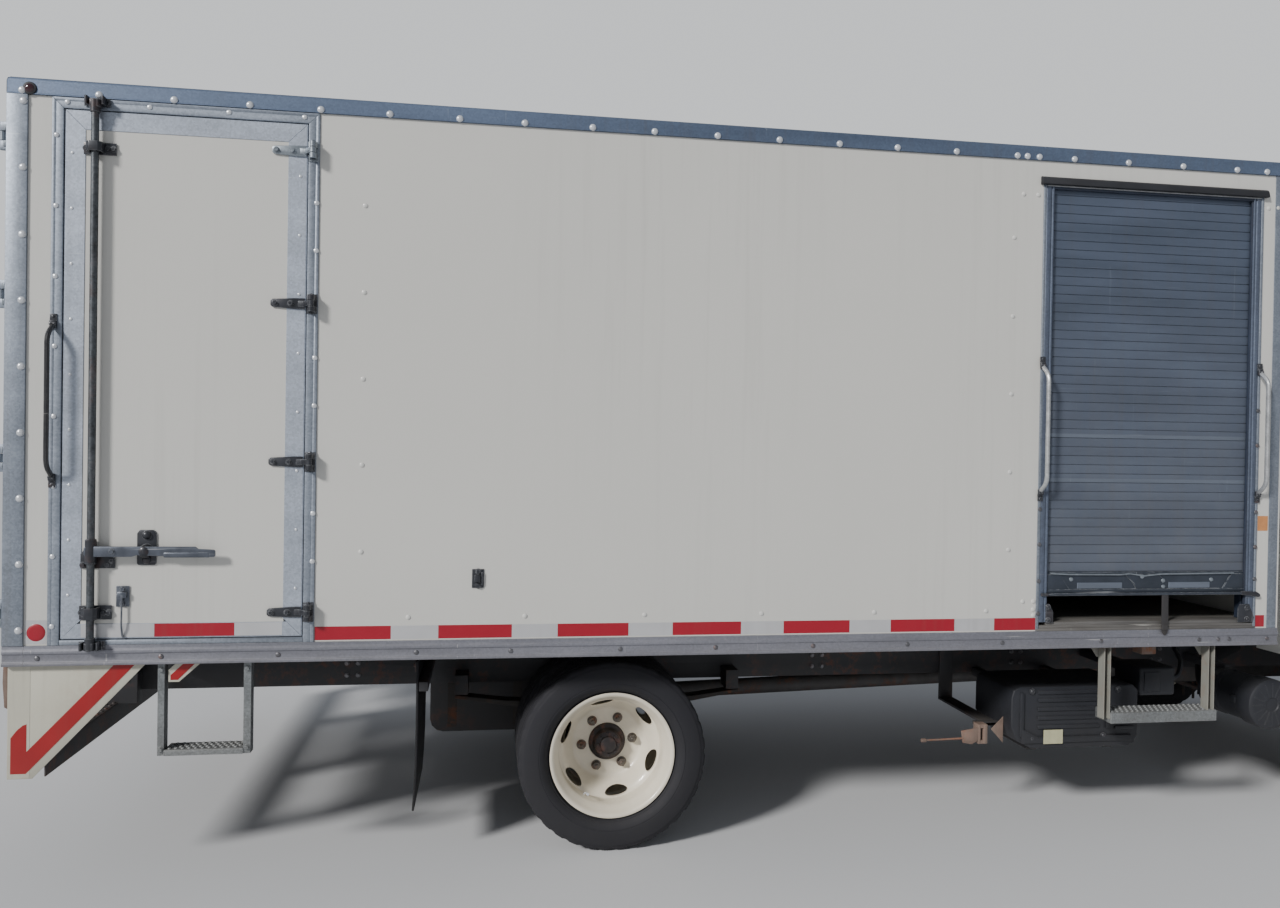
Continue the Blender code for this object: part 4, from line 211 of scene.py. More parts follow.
def finish(name, colour, roughness, metallic=0.0, coat=0.0, tone=0.06, clouds=3.0, stretch=(1, 1, 1), zinc=0.0,
        rain=0.0, worn=0.0, worn_colour=tint(150, 152, 156), scratched=0.0, film=0.0, film_low=0.15,
        film_high=0.95, film_colour=DUST, rusted=0.0, grain=700.0, relief=0.00015, spread=0.1, wave=0.0):
    """A painted, metal, rubber or plastic surface with its clouding, marks, wear, dust and grain."""
    material = bpy.data.materials.new(name)
    material.use_nodes = True
    work = Wiring(material.node_tree)
    shader = material.node_tree.nodes["Principled BSDF"]
    cloud = work.use(CLOUDING, Scale=clouds, Stretch=stretch)["Value"]
    result = work.mix(cloud, shaded(colour, 1 - tone), shaded(colour, 1 + tone))
    height = work.noise(work.place(), grain, 3.0)
    shine = work.span(cloud, 0.0, 1.0, roughness - spread / 2, roughness + spread / 2)
    dull = None
    if zinc:
        flakes = work.use(ZINC, Scale=150.0)
        level = work.span(flakes["Value"], 0.3, 0.85, 0.62, 1.25)
        grey = work.add("CombineColor", Red=level, Green=level, Blue=level).outputs[0]
        result = work.mix(zinc, result, grey, "MULTIPLY")
        height = work.math("ADD", work.math("MULTIPLY", flakes["Height"], 0.6), height)
    if rain:
        result = work.mix(work.use(RAIN_MARKS, Amount=rain)["Mask"], result, GRIME)
    if scratched:
        result = work.mix(work.use(SCRATCHES, Amount=scratched)["Mask"], result, worn_colour)
    if worn:
        result = work.mix(work.use(EDGE_WEAR, Amount=worn)["Mask"], result, worn_colour)
    if rusted:
        rust = work.use(RUST, Amount=rusted)
        result = work.mix(rust["Mask"], result, rust["Colour"])
        dull = rust["Mask"]
    if film:
        layer = work.use(ROAD_FILM, Colour=result, Film=film_colour, Amount=film, Foot=film_low, Head=film_high)
        result = layer["Colour"]
        dull = layer["Mask"] if dull is None else work.math("MAXIMUM", dull, layer["Mask"])
    if dull is not None:
        shine = work.math("ADD", shine, work.math("MULTIPLY", dull, max(0.92 - roughness, 0)), clamp=True)
    if metallic and dull is not None:
        work.feed(shader.inputs["Metallic"], work.math("SUBTRACT", metallic, work.math("MULTIPLY", dull, metallic)))
    else:
        shader.inputs["Metallic"].default_value = metallic
    shader.inputs["Coat Weight"].default_value = coat
    shader.inputs["Coat Roughness"].default_value = 0.12
    work.feed(shader.inputs["Base Color"], result)
    work.feed(shader.inputs["Roughness"], shine)
    bump = work.add("Bump", Strength=0.55, Distance=relief, Height=height)
    if wave:
        swell = work.noise(work.place(), 1.7, 1.0)
        work.feed(bump.inputs["Normal"], work.add("Bump", Strength=0.5, Distance=wave, Height=swell).outputs[0])
    work.feed(shader.inputs["Normal"], bump.outputs[0])
    return material


def clear_finish(name, colour, transmission, roughness, mottled=0.0):
    """Glass or a lamp's lens: tinted, clean, with a faint film of dust."""
    material = finish(name, colour, roughness, tone=0.02, spread=0.0, film=mottled, film_low=0.8, film_high=2.6,
            relief=0.0)
    shader = material.node_tree.nodes["Principled BSDF"]
    for socket in ("Roughness", "Normal"):
        material.node_tree.links.remove(shader.inputs[socket].links[0])
    shader.inputs["Roughness"].default_value = roughness
    shader.inputs["Transmission Weight"].default_value = transmission
    shader.inputs["IOR"].default_value = 1.45
    return material


def tape_finish(name, colour, metallic):
    """Reflecting tape with its pressed diamond cells."""
    material = finish(name, colour, 0.4, metallic, coat=0.15, tone=0.04, clouds=9.0, rain=0.25, relief=0.0001)
    work = Wiring(material.node_tree)
    shader = material.node_tree.nodes["Principled BSDF"]
    before = shader.inputs["Base Color"].links[0].from_socket
    lines = []
    for turn in (radians(45), radians(-45)):
        stripes = work.add("TexWave", {"wave_type": "BANDS", "bands_direction": "X"},
                Vector=work.place(turn=(0, turn, 0)), Scale=55.0)
        lines.append(work.span(stripes.outputs["Fac"], 0.0, 0.16, 1.0, 0.0))
    net = work.math("MULTIPLY", work.math("MAXIMUM", lines[0], lines[1]), 0.16)
    work.feed(shader.inputs["Base Color"], work.mix(net, before, shaded(colour, 1.6)))
    return material


def cloth_finish(name, colour):
    """Woven seat cloth."""
    material = finish(name, colour, 0.92, tone=0.12, clouds=11.0, grain=500.0, relief=0.0003)
    work = Wiring(material.node_tree)
    shader = material.node_tree.nodes["Principled BSDF"]
    before = shader.inputs["Base Color"].links[0].from_socket
    threads = []
    for axis in ("Y", "DIAGONAL"):
        weave = work.add("TexWave", {"wave_type": "BANDS", "bands_direction": axis}, Vector=work.place(),
                Scale=150.0, Distortion=0.6)
        threads.append(weave.outputs["Fac"])
    woven = work.math("MULTIPLY", threads[0], threads[1])
    work.feed(shader.inputs["Base Color"], work.mix(work.math("MULTIPLY", woven, 0.5), before, shaded(colour, 2.1)))
    shader.inputs["Sheen Weight"].default_value = 0.25
    return material


def sill_finish():
    """Worn sill: bare metal scored along its length, with old grime, and a base colour darkened as painted shade of
    the doorway.
    """
    # The dark base colour is painted shade, seen in the gap under the shutter.
    material = finish("worn_sill_painted_shade", tint(98, 97, 96), 0.6, 0.35, tone=0.35, clouds=14.0, stretch=(0.25, 1, 3),
            scratched=0.8, worn_colour=tint(205, 203, 198), film=0.35, film_low=0.9, film_high=1.0, relief=0.0004)
    return material


PANEL = finish("cream_panel", tint(204, 203, 198), 0.36, coat=0.25, tone=0.012, clouds=0.9, rain=0.1, film=0.1,
        film_low=0.85, film_high=1.25, grain=420.0, relief=0.00008, spread=0.05, wave=0.012)
RAIL = finish("rail_aluminium", tint(172, 180, 193), 0.46, 0.5, tone=0.08, clouds=5.0, stretch=(0.3, 1, 1.6),
        zinc=0.45, rain=0.3, scratched=0.35, worn_colour=tint(205, 208, 214), film=0.16, film_low=0.84,
        film_high=1.05)
# Roof rails: a dark blue-grey that paints the reflection of a blue sky into the metal's colour.
TOP_RAIL_SKY_REFLECTION = finish("top_rail", tint(94, 108, 131), 0.44, 0.45, tone=0.16, clouds=2.2, stretch=(0.25, 1, 2.0),
        zinc=0.35, rain=0.3, scratched=0.3, worn_colour=tint(176, 184, 196))
DULL_RAIL = finish("dull_rail", tint(138, 146, 158), 0.5, 0.6, tone=0.1, clouds=6.0, stretch=(0.3, 1, 1.6),
        zinc=0.5, rain=0.35, scratched=0.3, worn_colour=tint(190, 194, 200), film=0.14, film_low=0.84,
        film_high=1.1)
FLOOR_RAIL = finish("floor_rail", tint(132, 133, 142), 0.46, 0.6, tone=0.14, clouds=7.0, stretch=(0.25, 1, 2.0),
        zinc=0.3, scratched=0.6, worn=0.5, worn_colour=tint(214, 214, 214), film=0.32, film_low=0.8,
        film_high=0.93)
RIVET = finish("rivet_metal", tint(212, 215, 220), 0.3, 0.35, tone=0.1, clouds=30.0, film=0.05)
WALL_RIVET = finish("painted_rivet", tint(206, 206, 202), 0.3, coat=0.3, tone=0.06, clouds=30.0)
BOLT = finish("bolt_metal", tint(112, 112, 116), 0.38, 0.8, tone=0.2, clouds=40.0, rusted=0.35, film=0.2)
ROD = finish("rod_zinc", tint(84, 88, 92), 0.46, 0.7, tone=0.3, clouds=34.0, stretch=(1, 1, 0.5), zinc=0.8,
        rusted=0.12, worn=0.3, relief=0.0004)
LOCK_BLACK = finish("lock_black", tint(48, 50, 56), 0.42, 0.35, coat=0.2, tone=0.25, clouds=24.0, worn=0.85,
        scratched=0.7, worn_colour=tint(158, 160, 164), rusted=0.15, film=0.12)
LOCK_STEEL = finish("lock_steel", tint(96, 101, 111), 0.38, 0.75, tone=0.2, clouds=24.0, worn=0.7, scratched=0.8,
        worn_colour=tint(190, 192, 196))
HINGE_STEEL = finish("hinge_steel", tint(140, 148, 156), 0.4, 0.7, tone=0.15, clouds=26.0, zinc=0.4, worn=0.5)
HANDLE_BLACK = finish("handle_black", tint(34, 34, 38), 0.34, 0.1, coat=0.3, tone=0.2, clouds=18.0, worn=0.7,
        scratched=0.9, worn_colour=tint(140, 138, 134), relief=0.0003)
HANDLE_ZINC = finish("handle_zinc", tint(176, 178, 180), 0.36, 0.6, tone=0.16, clouds=18.0, zinc=0.4, scratched=0.4)
SLAT = finish("shutter_slats", tint(84, 94, 111), 0.46, 0.4, tone=0.16, clouds=2.4, stretch=(0.6, 1, 3), rain=0.25,
        scratched=0.2, worn=0.15, worn_colour=tint(150, 158, 168), film=0.45, film_low=1.0, film_high=2.5,
        film_colour=tint(112, 110, 110), wave=0.002)
SLAT_LIGHT = finish("shutter_slats_light", tint(106, 114, 127), 0.42, 0.4, tone=0.12, clouds=4.0,
        stretch=(0.5, 1, 5), scratched=0.3, worn_colour=tint(176, 182, 190))
SHUTTER_EDGE = finish("shutter_bar", tint(60, 67, 78), 0.44, 0.55, tone=0.2, clouds=9.0, scratched=1.0, worn=0.9,
        worn_colour=tint(188, 192, 196), film=0.15, film_low=0.9, film_high=1.2)
GUIDE_BLUE = finish("guide_channel", tint(92, 101, 118), 0.46, 0.5, tone=0.12, clouds=6.0, zinc=0.4, rain=0.3,
        scratched=0.4)
# Dark navy that paints the shade deep in the roller guides and under the drip cap.
GUIDE_PAINTED_SHADE = finish("guide_painted_shade", tint(44, 52, 68), 0.55, 0.2, tone=0.2, clouds=10.0, rain=0.2)
SEAL = finish("black_seal", tint(30, 32, 38), 0.62, tone=0.2, clouds=12.0, film=0.18, film_low=0.9, film_high=3.2)
SILL_PAINTED_SHADE = sill_finish()
RED_TAPE = tape_finish("red_tape", tint(152, 6, 34), 0.0)
WHITE_TAPE = tape_finish("white_tape", tint(188, 188, 190), 0.25)
RED_LAMP = clear_finish("red_lens", tint(150, 14, 12), 0.35, 0.12)
DARK_LAMP = finish("dark_lens", tint(52, 18, 26), 0.14, coat=0.6, tone=0.2)
AMBER_LAMP = clear_finish("amber_lens", tint(236, 120, 16), 0.35, 0.12)
CLEAR_LAMP = clear_finish("clear_lens", (0.93, 0.95, 0.96, 1), 0.96, 0.03)
GLASS = clear_finish("cab_glass", (0.88, 0.93, 0.91, 1), 0.97, 0.01, 0.02)
MIRROR = finish("mirror_glass", (0.86, 0.88, 0.89, 1), 0.03, 1.0, tone=0.01, grain=40.0, relief=0.00001,
        spread=0.01)
CHROME = finish("lamp_reflector", (0.85, 0.86, 0.87, 1), 0.1, 1.0, tone=0.02, spread=0.03)
CHASSIS = finish("chassis_black", tint(42, 44, 50), 0.52, tone=0.2, clouds=7.0, worn=0.35,
        worn_colour=tint(96, 84, 74), rusted=0.3, film=0.42, film_low=0.25, film_high=0.95,
        film_colour=tint(84, 78, 70), relief=0.0005)
SPRING = finish("spring_steel", tint(52, 50, 50), 0.6, 0.3, tone=0.25, clouds=12.0, rusted=0.8, film=0.4,
        film_colour=tint(92, 84, 74), relief=0.0006)
CASTING = finish("cast_iron", tint(86, 86, 88), 0.62, 0.5, tone=0.25, clouds=16.0, rusted=0.6, film=0.35,
        grain=260.0, relief=0.0009)
MUFFLER = finish("muffler_steel", tint(118, 112, 106), 0.55, 0.6, tone=0.2, clouds=6.0, rusted=0.9, film=0.25)
WHEEL = finish("wheel_cream", tint(226, 218, 200), 0.34, coat=0.35, tone=0.05, clouds=10.0, worn=0.15,
        worn_colour=tint(120, 96, 70), rusted=0.05, film=0.14, film_low=0.05, film_high=0.62,
        film_colour=tint(150, 138, 120))
HUB = finish("greasy_hub", tint(44, 42, 46), 0.4, 0.35, tone=0.45, clouds=28.0, rusted=0.35, relief=0.0012,
        grain=220.0, film=0.2, film_colour=tint(96, 84, 70))
NUT = finish("wheel_nut", tint(104, 98, 90), 0.42, 0.7, tone=0.3, clouds=60.0, rusted=0.8, worn=0.5)
DRUM = finish("brake_drum", tint(70, 62, 56), 0.7, 0.4, tone=0.3, clouds=20.0, rusted=0.9, relief=0.0008)
TYRE = finish("tyre_rubber", tint(28, 28, 34), 0.78, tone=0.12, clouds=9.0, film=0.16, film_low=-0.05,
        film_high=0.75, film_colour=tint(84, 82, 80), grain=900.0, relief=0.0003)
RUBBER = finish("flap_rubber", tint(17, 18, 24), 0.76, tone=0.15, clouds=6.0, film=0.1, film_low=0.2, film_high=0.8,
        film_colour=tint(84, 80, 74), grain=600.0, relief=0.0003)
PLATE_WHITE = finish("plate_white", tint(190, 187, 172), 0.4, coat=0.2, tone=0.03, clouds=3.0, rain=0.35,
        rusted=0.1, film=0.22, film_low=0.42, film_high=0.85, scratched=0.2, worn_colour=tint(120, 110, 96))
PLATE_RED = finish("plate_red", tint(150, 8, 16), 0.42, coat=0.1, tone=0.08, clouds=7.0, rain=0.3, film=0.12)
RUSTED = finish("rusted_post", tint(118, 100, 90), 0.66, tone=0.3, clouds=9.0, rusted=0.55, rain=0.6, relief=0.0006)
STEP_ZINC = finish("step_zinc", tint(126, 130, 132), 0.48, 0.55, tone=0.15, clouds=10.0, zinc=0.7, scratched=0.5,
        worn=0.5, worn_colour=tint(196, 198, 198), film=0.3, film_low=0.45, film_high=0.8)
STEP_CREAM = finish("step_cream", tint(134, 134, 127), 0.45, tone=0.08, clouds=8.0, rusted=0.25, worn=0.6,
        worn_colour=tint(110, 92, 74), film=0.25, film_low=0.45, film_high=0.9)
BOX_BLACK = finish("battery_cover", tint(27, 30, 38), 0.56, tone=0.15, clouds=8.0, worn=0.4,
        worn_colour=tint(80, 80, 84), film=0.2, film_low=0.3, film_high=0.75, film_colour=tint(90, 86, 80),
        grain=380.0, relief=0.0003)
LABEL = finish("blank_label", tint(186, 184, 150), 0.5, tone=0.06, clouds=40.0, rain=0.4, film=0.2)
STICKER = finish("orange_sticker", tint(196, 134, 84), 0.5, tone=0.1, clouds=50.0, rain=0.3)
CAB = finish("cab_paint", tint(214, 214, 210), 0.26, coat=0.6, tone=0.012, clouds=1.5, rain=0.06, film=0.14,
        film_low=0.55, film_high=1.15, grain=900.0, relief=0.00003, spread=0.04)
BUMPER = finish("bumper_paint", tint(206, 206, 202), 0.32, coat=0.4, tone=0.03, clouds=2.5, scratched=0.25,
        film=0.2, film_low=0.4, film_high=0.75)
BLACK = finish("black_plastic", tint(40, 41, 44), 0.48, tone=0.1, clouds=9.0, film=0.16, film_low=0.4,
        film_high=1.4, grain=520.0, relief=0.0002)
TRIM = finish("interior_trim", tint(92, 93, 97), 0.62, tone=0.06, clouds=6.0, grain=460.0, relief=0.0003)
TRIM_DARK = finish("dash_trim", tint(58, 59, 63), 0.6, tone=0.06, clouds=6.0, grain=460.0, relief=0.0003)
CLOTH = cloth_finish("seat_cloth", tint(74, 77, 84))
CLOTH_SIDE = finish("seat_side", tint(58, 60, 66), 0.7, tone=0.08, clouds=9.0, grain=600.0, relief=0.0003)
# Cargo deck: its colour is darkened to paint the shade inside the body.
DECK_PAINTED_SHADE = finish("cargo_deck", tint(112, 110, 106), 0.5, 0.4, tone=0.15, clouds=6.0, scratched=0.8, film=0.2)
ROOF_SKIN = finish("roof_skin", tint(206, 206, 202), 0.5, tone=0.05, clouds=2.0, film=0.35, film_low=2.9,
        film_high=3.0, film_colour=tint(160, 156, 148), wave=0.01)


# Usual slot of each finish in the record
USUAL_SLOTS = {"body_rails": (TOP_RAIL_SKY_REFLECTION, RIVET, FLOOR_RAIL, BOLT, DULL_RAIL, SEAL, RAIL, GUIDE_BLUE, GUIDE_PAINTED_SHADE,
        HANDLE_ZINC, SILL_PAINTED_SHADE), "body_panels": (ROOF_SKIN, WALL_RIVET, RED_TAPE, WHITE_TAPE, PANEL, STICKER,
        PLATE_WHITE, PLATE_RED), "castings": (HINGE_STEEL, LOCK_BLACK, ROD, LOCK_STEEL, HUB, NUT, MUFFLER, DRUM),
        "shutter_slats": (SLAT, SLAT_LIGHT, SHUTTER_EDGE), "wheel_paint": (WHEEL,), "tyre_rubber": (TYRE,),
        "chassis_paint": (SPRING, CHASSIS), "black_plastic": (BLACK, BOX_BLACK, LABEL, RUBBER, RED_LAMP,
        DARK_LAMP), "galvanised_steel": (STEP_ZINC, STEP_CREAM, RUSTED),
        "cab_glass": (CLEAR_LAMP, CHROME, AMBER_LAMP, GLASS, MIRROR), "cab_paint": (CAB, BUMPER),
        "interior_trim": (TRIM, TRIM_DARK, CLOTH_SIDE), "seat_cloth": (CLOTH,),}
SLOT_OF = {surface.name: slot for slot, surfaces in USUAL_SLOTS.items() for surface in surfaces}


# Shape tools


def merge(bm, part):
    """Adds a finished part to a shape. The part is used up."""
    mesh = bpy.data.meshes.new("part")
    part.to_mesh(mesh)
    part.free()
    bm.from_mesh(mesh)
    bpy.data.meshes.remove(mesh)


def ease(bm, width, steps=2):
    """Bevels the sharp edges."""
    edges = [e for e in bm.edges if e.is_manifold and e.calc_face_angle(0) > radians(28)]
    if edges and width:
        ops.bevel(bm, geom=edges, offset=width, offset_type="OFFSET", affect="EDGES", segments=steps, profile=0.5,
                material=-1, clamp_overlap=True)


def box(bm, low, high, edge=0.0, steps=2):
    part = bmesh.new()
    middle = (Vector(low) + Vector(high)) / 2
    size = [abs(b - a) for a, b in zip(low, high)]
    ops.create_cube(part, size=1, matrix=Matrix.Translation(middle) @ Matrix.Diagonal((*size, 1)))
    ease(part, edge, steps)
    merge(bm, part)


def loft(rows):
    """Closed skin through outlines that all have the same number of points."""
    bm = bmesh.new()
    rings = [[bm.verts.new(point) for point in row] for row in rows]
    loops = [[bm.edges.new(pair) for pair in zip(ring, ring[1:] + ring[:1])] for ring in rings]
    for lower, upper in zip(loops, loops[1:]):
        ops.bridge_loops(bm, edges=lower + upper)
    bm.faces.new(rings[0])
    bm.faces.new(rings[-1])
    ops.recalc_face_normals(bm, faces=bm.faces)
    return bm


def strut(bm, ring_low, ring_high, edge=0.0, steps=2):
    """Closed bar between two outlines."""
    part = loft((ring_low, ring_high))
    ease(part, edge, steps)
    merge(bm, part)


def slab(bm, outline, along, low, high, edge=0.0, steps=2):
    """Pushes a flat outline. Its two numbers are Y and Z along X, X and Z along Y, or X and Y along Z."""
    place = {"X": lambda a, b, c: (c, a, b), "Y": lambda a, b, c: (a, c, b), "Z": lambda a, b, c: (a, b, c)}[along]
    strut(bm, [place(a, b, low) for a, b in outline], [place(a, b, high) for a, b in outline], edge, steps)


def aim(place, direction, turn=0.0):
    """Stands a shape made along +Z at a place, pointing in a direction."""
    quat = Vector(direction).to_track_quat("Z", "Y")
    return Matrix.Translation(place) @ quat.to_matrix().to_4x4() @ Matrix.Rotation(turn, 4, "Z")


def turned(bm, profile, place=(0, 0, 0), direction=(0, 0, 1), steps=32):
    """Spins a line of (radius, height) points about +Z, then stands it at a place."""
    part = bmesh.new()
    line = [part.verts.new((radius, 0, height)) for radius, height in profile]
    edges = [part.edges.new(pair) for pair in zip(line, line[1:])]
    ops.spin(part, geom=line + edges, cent=(0, 0, 0), axis=(0, 0, 1), angle=tau, steps=steps, use_merge=True)
    ops.remove_doubles(part, verts=[v for v in part.verts if abs(v.co.x) + abs(v.co.y) < 1e-6], dist=1e-6)
    ops.transform(part, matrix=aim(place, direction), verts=part.verts)
    ops.recalc_face_normals(part, faces=part.faces)
    merge(bm, part)


def rod(bm, start, end, radius, steps=16, edge=0.0):
    start, end = Vector(start), Vector(end)
    length = (end - start).length
    by = min(edge, radius * 0.5)
    profile = [(0, 0), (radius - by, 0), (radius, by), (radius, length - by), (radius - by, length), (0, length)]
    if not edge:
        profile = [(0, 0), (radius, 0), (radius, length), (0, length)]
    turned(bm, profile, start, end - start, steps)


def bent(points, radius, steps=6):
    """Rounds the corners of a path of points."""
    points = [Vector(point) for point in points]
    result = [points[0]]
    for before, corner, after in zip(points, points[1:], points[2:]):
        into, out = (before - corner), (after - corner)
        reach = min(radius, into.length * 0.49, out.length * 0.49)
        first, last = corner + into.normalized() * reach, corner + out.normalized() * reach
        for step in range(steps + 1):
            share = step / steps
            result.append(first.lerp(corner, share).lerp(corner.lerp(last, share), share))
    return result + [points[-1]]


def tube(bm, points, radius, sides=12):
    """Sweeps a round section along a path."""
    curve = bpy.data.curves.new("tube", "CURVE")
    curve.dimensions, curve.bevel_depth, curve.use_fill_caps = "3D", radius, True
    curve.bevel_resolution = max(sides // 4 - 1, 0)
    spline = curve.splines.new("POLY")
    spline.points.add(len(points) - 1)
    for point, place in zip(spline.points, points):
        point.co = (*place, 1)
    holder = bpy.data.objects.new("tube", curve)
    mesh = bpy.data.meshes.new_from_object(holder)
    part = bmesh.new()
    part.from_mesh(mesh)
    bpy.data.objects.remove(holder)
    bpy.data.curves.remove(curve)
    bpy.data.meshes.remove(mesh)
    ops.remove_doubles(part, verts=part.verts, dist=1e-6)
    ops.recalc_face_normals(part, faces=part.faces)
    merge(bm, part)


def pattern(make):
    """A small shape, kept as a mesh, to stamp many times."""
    bm = bmesh.new()
    make(bm)
    mesh = bpy.data.meshes.new("pattern")
    bm.to_mesh(mesh)
    bm.free()
    return mesh


def stamp(bm, shape, places, direction=(0, RIGHT, 0), turn=0.0):
    for place in places:
        stand = aim(place, direction, turn)
        shape.transform(stand)
        bm.from_mesh(shape)
        shape.transform(stand.inverted())


def piece(name, bm, surface, body="chassis", stands_for=(), smooth=34, bevel=0.0, slot=None):
    """Makes the finished mesh a piece that rides on a body."""
    mesh = bpy.data.meshes.new(name)
    bm.to_mesh(mesh)
    bm.free()
    mesh.materials.append(surface)
    mesh.shade_smooth()
    mesh.set_sharp_from_angle(angle=radians(smooth))
    obj = bpy.data.objects.new(name, mesh)
    SCENE.collection.objects.link(obj)
    if bevel:
        rounding = obj.modifiers.new("rounding", "BEVEL")
        rounding.width, rounding.segments, rounding.limit_method = bevel, 2, "ANGLE"
        rounding.angle_limit, rounding.harden_normals = radians(30), True
    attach(obj, body)
    slot or SLOT_OF[surface.name]
    if stands_for:
        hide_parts(*stands_for)
    return obj


def joined(bm, operation, other):
    """Cuts or unites a bmesh with another, exactly. Both are used up."""
    holders = []
    for shape in (bm, other):
        mesh = bpy.data.meshes.new("shape")
        shape.to_mesh(mesh)
        shape.free()
        holders.append(bpy.data.objects.new("shape", mesh))
        SCENE.collection.objects.link(holders[-1])
    step = holders[0].modifiers.new("join", "BOOLEAN")
    step.operation, step.solver, step.object = operation, "EXACT", holders[1]
    bpy.context.view_layer.update()
    ready = holders[0].evaluated_get(bpy.context.evaluated_depsgraph_get())
    mesh = bpy.data.meshes.new_from_object(ready)
    result = bmesh.new()
    result.from_mesh(mesh)
    for holder in holders:
        data = holder.data
        bpy.data.objects.remove(holder)
        bpy.data.meshes.remove(data)
    bpy.data.meshes.remove(mesh)
    return result


def node_shape(node):
    """A merged copy of a CAD node's mesh."""
    bm = bmesh.new()
    bm.from_mesh(frame["nodes"][node].data)
    ops.remove_doubles(bm, verts=bm.verts, dist=1e-5)
    ops.dissolve_limit(bm, angle_limit=radians(0.8), verts=bm.verts, edges=bm.edges)
    return bm


def eased(node, surface, slot, width=0.002, name=None, smooth=34):
    """The CAD node's own shape with its edges eased, in place of it."""
    bm = node_shape(node)
    ease(bm, width, 2)
    bm.normal_update()
    return piece(name or node + "_eased", bm, surface, BODY_OF[node], (node,), smooth, slot=slot)


def dress(node, surface):
    """Gives a CAD node a better material."""
    slots = frame["nodes"][node].material_slots
    for place in slots:
        place.material = surface


RIVET_HEAD = pattern(lambda bm: turned(bm, [(0, 0.0048), (0.0048, 0.0043), (0.0082, 0.0026), (0.0096, 0)],
        steps=12))
SCREW_HEAD = pattern(lambda bm: turned(bm, [(0, 0.003), (0.003, 0.0028), (0.0052, 0.0016), (0.0058, 0)], steps=10))
BIG_RIVET = pattern(lambda bm: turned(bm, [(0, 0.0075), (0.0075, 0.0066), (0.0118, 0.0038), (0.0135, 0)], steps=16))


def make_bolt(bm):
    turned(bm, [(0, 0.0022), (0.0105, 0.0022), (0.0115, 0.0012), (0.0115, 0)], steps=16)
    head = bmesh.new()
    ops.create_cone(head, cap_ends=True, segments=6, radius1=0.0085, radius2=0.0085, depth=0.0062,
            matrix=Matrix.Translation((0, 0, 0.0053)))
    ease(head, 0.0008, 1)
    merge(bm, head)


BOLT_HEAD = pattern(make_bolt)

FACE, PROUD = -1.212, -1.217
WALL_INSIDE = -1.1475
FLOOR_UNDER = 0.8436
CHASSIS_SIDE = 0.4255
SIDE_PIN_X, SIDE_PIN_Y = -2.4955, -1.246
REAR_PIN_X, REAR_PIN_Y = -3.58, 1.184
CLEANER_X, CLEANER_Z = 1.785, 0.515


def rounded_box(low, high, radii, steps=8):
    """Rectangle with a radius at each corner: low-low, high-low, high-high, low-high."""
    corners = ((low[0], low[1], 1, 1, 180), (high[0], low[1], -1, 1, 270), (high[0], high[1], -1, -1, 0),
            (low[0], high[1], 1, -1, 90))
    points = []
    for (a, b, inward, rise, start), radius in zip(corners, radii):
        for step in range(steps + 1):
            angle = radians(start + 90 * step / steps)
            points.append((a + inward * radius + radius * cos(angle), b + rise * radius + radius * sin(angle)))
            if radius <= 0:
                break
    return points


def soft_outline(points, radii, steps=7):
    """Flat outline with each corner rounded by its own radius."""
    result = []
    count = len(points)
    for index in range(count):
        before, corner, after = (Vector(points[(index + shift) % count]) for shift in (-1, 0, 1))
        into, out = (before - corner), (after - corner)
        half = into.angle(out) / 2
        reach = min(radii[index] / tan(half), into.length * 0.48, out.length * 0.48) if radii[index] else 0
        if not reach:
            result.append(tuple(corner))
            continue
        radius = reach * tan(half)
        first, last = corner + into.normalized() * reach, corner + out.normalized() * reach
        centre = corner + (into.normalized() + out.normalized()).normalized() * (radius / sin(half))
        for step in range(steps + 1):
            share = step / steps
            spot = first.lerp(last, share) - centre
            result.append(tuple(centre + spot.normalized() * radius))
    return result


def offset(points, distance):
    """The outline moved out by a distance."""
    area = sum(a[0] * b[1] - b[0] * a[1] for a, b in zip(points, points[1:] + points[:1]))
    side = copysign(1, area)
    result = []
    for before, here, after in zip(points[-1:] + points[:-1], points, points[1:] + points[:1]):
        first, second = (Vector(here) - Vector(before)).normalized(), (Vector(after) - Vector(here)).normalized()
        normals = [side * Vector((edge.y, -edge.x)) for edge in (first, second)]
        middle = (normals[0] + normals[1]).normalized()
        result.append(tuple(Vector(here) + middle * distance / max(middle.dot(normals[0]), 0.3)))
    return result


def frame_member(bm, section, low, high, side, mitre=(1, 1), edge=0.0006):
    """One side of a frame that lies in X and Z. Section columns: distance in from the outer edge, and Y."""
    ends = []
    for end in (0, 1):
        ring = []
        for inward, y in section:
            trim = (inward if mitre[end] else 0) + 0.0004
            along_x = low[0] + trim if end == 0 else high[0] - trim
            along_z = low[1] + trim if end == 0 else high[1] - trim
            place = {"rear": (low[0] + inward, y, along_z), "front": (high[0] - inward, y, along_z),
                    "foot": (along_x, y, low[1] + inward), "head": (along_x, y, high[1] - inward)}[side]
            ring.append(place)
        ends.append(ring)
    strut(bm, ends[0], ends[1], edge, 1)


def spread(first, last, pitch):
    """Even places from first to last, about a pitch apart."""
    count = max(round(abs(last - first) / pitch), 1)
    return [first + (last - first) * step / count for step in range(count + 1)]


BODY_BACK, BODY_FRONT = -3.554, 1.606
TOP_RIVETS = (-3.502, -3.246, -2.99, -2.726, -2.473, -2.222, -1.962, -1.715, -1.452, -1.207, -0.953, -0.698, -0.446,
        -0.198, 0.06, 0.331, 0.376, 0.43, 0.59, 0.84, 1.098, 1.357, 1.503)
FOOT_BOLTS = (-3.436, -3.015, -2.603, -2.098, -1.74, -1.311, -0.926, -0.52, -0.114, 0.307, 0.76, 1.225, 1.317, 1.37,
        1.556)


# Roof and rails


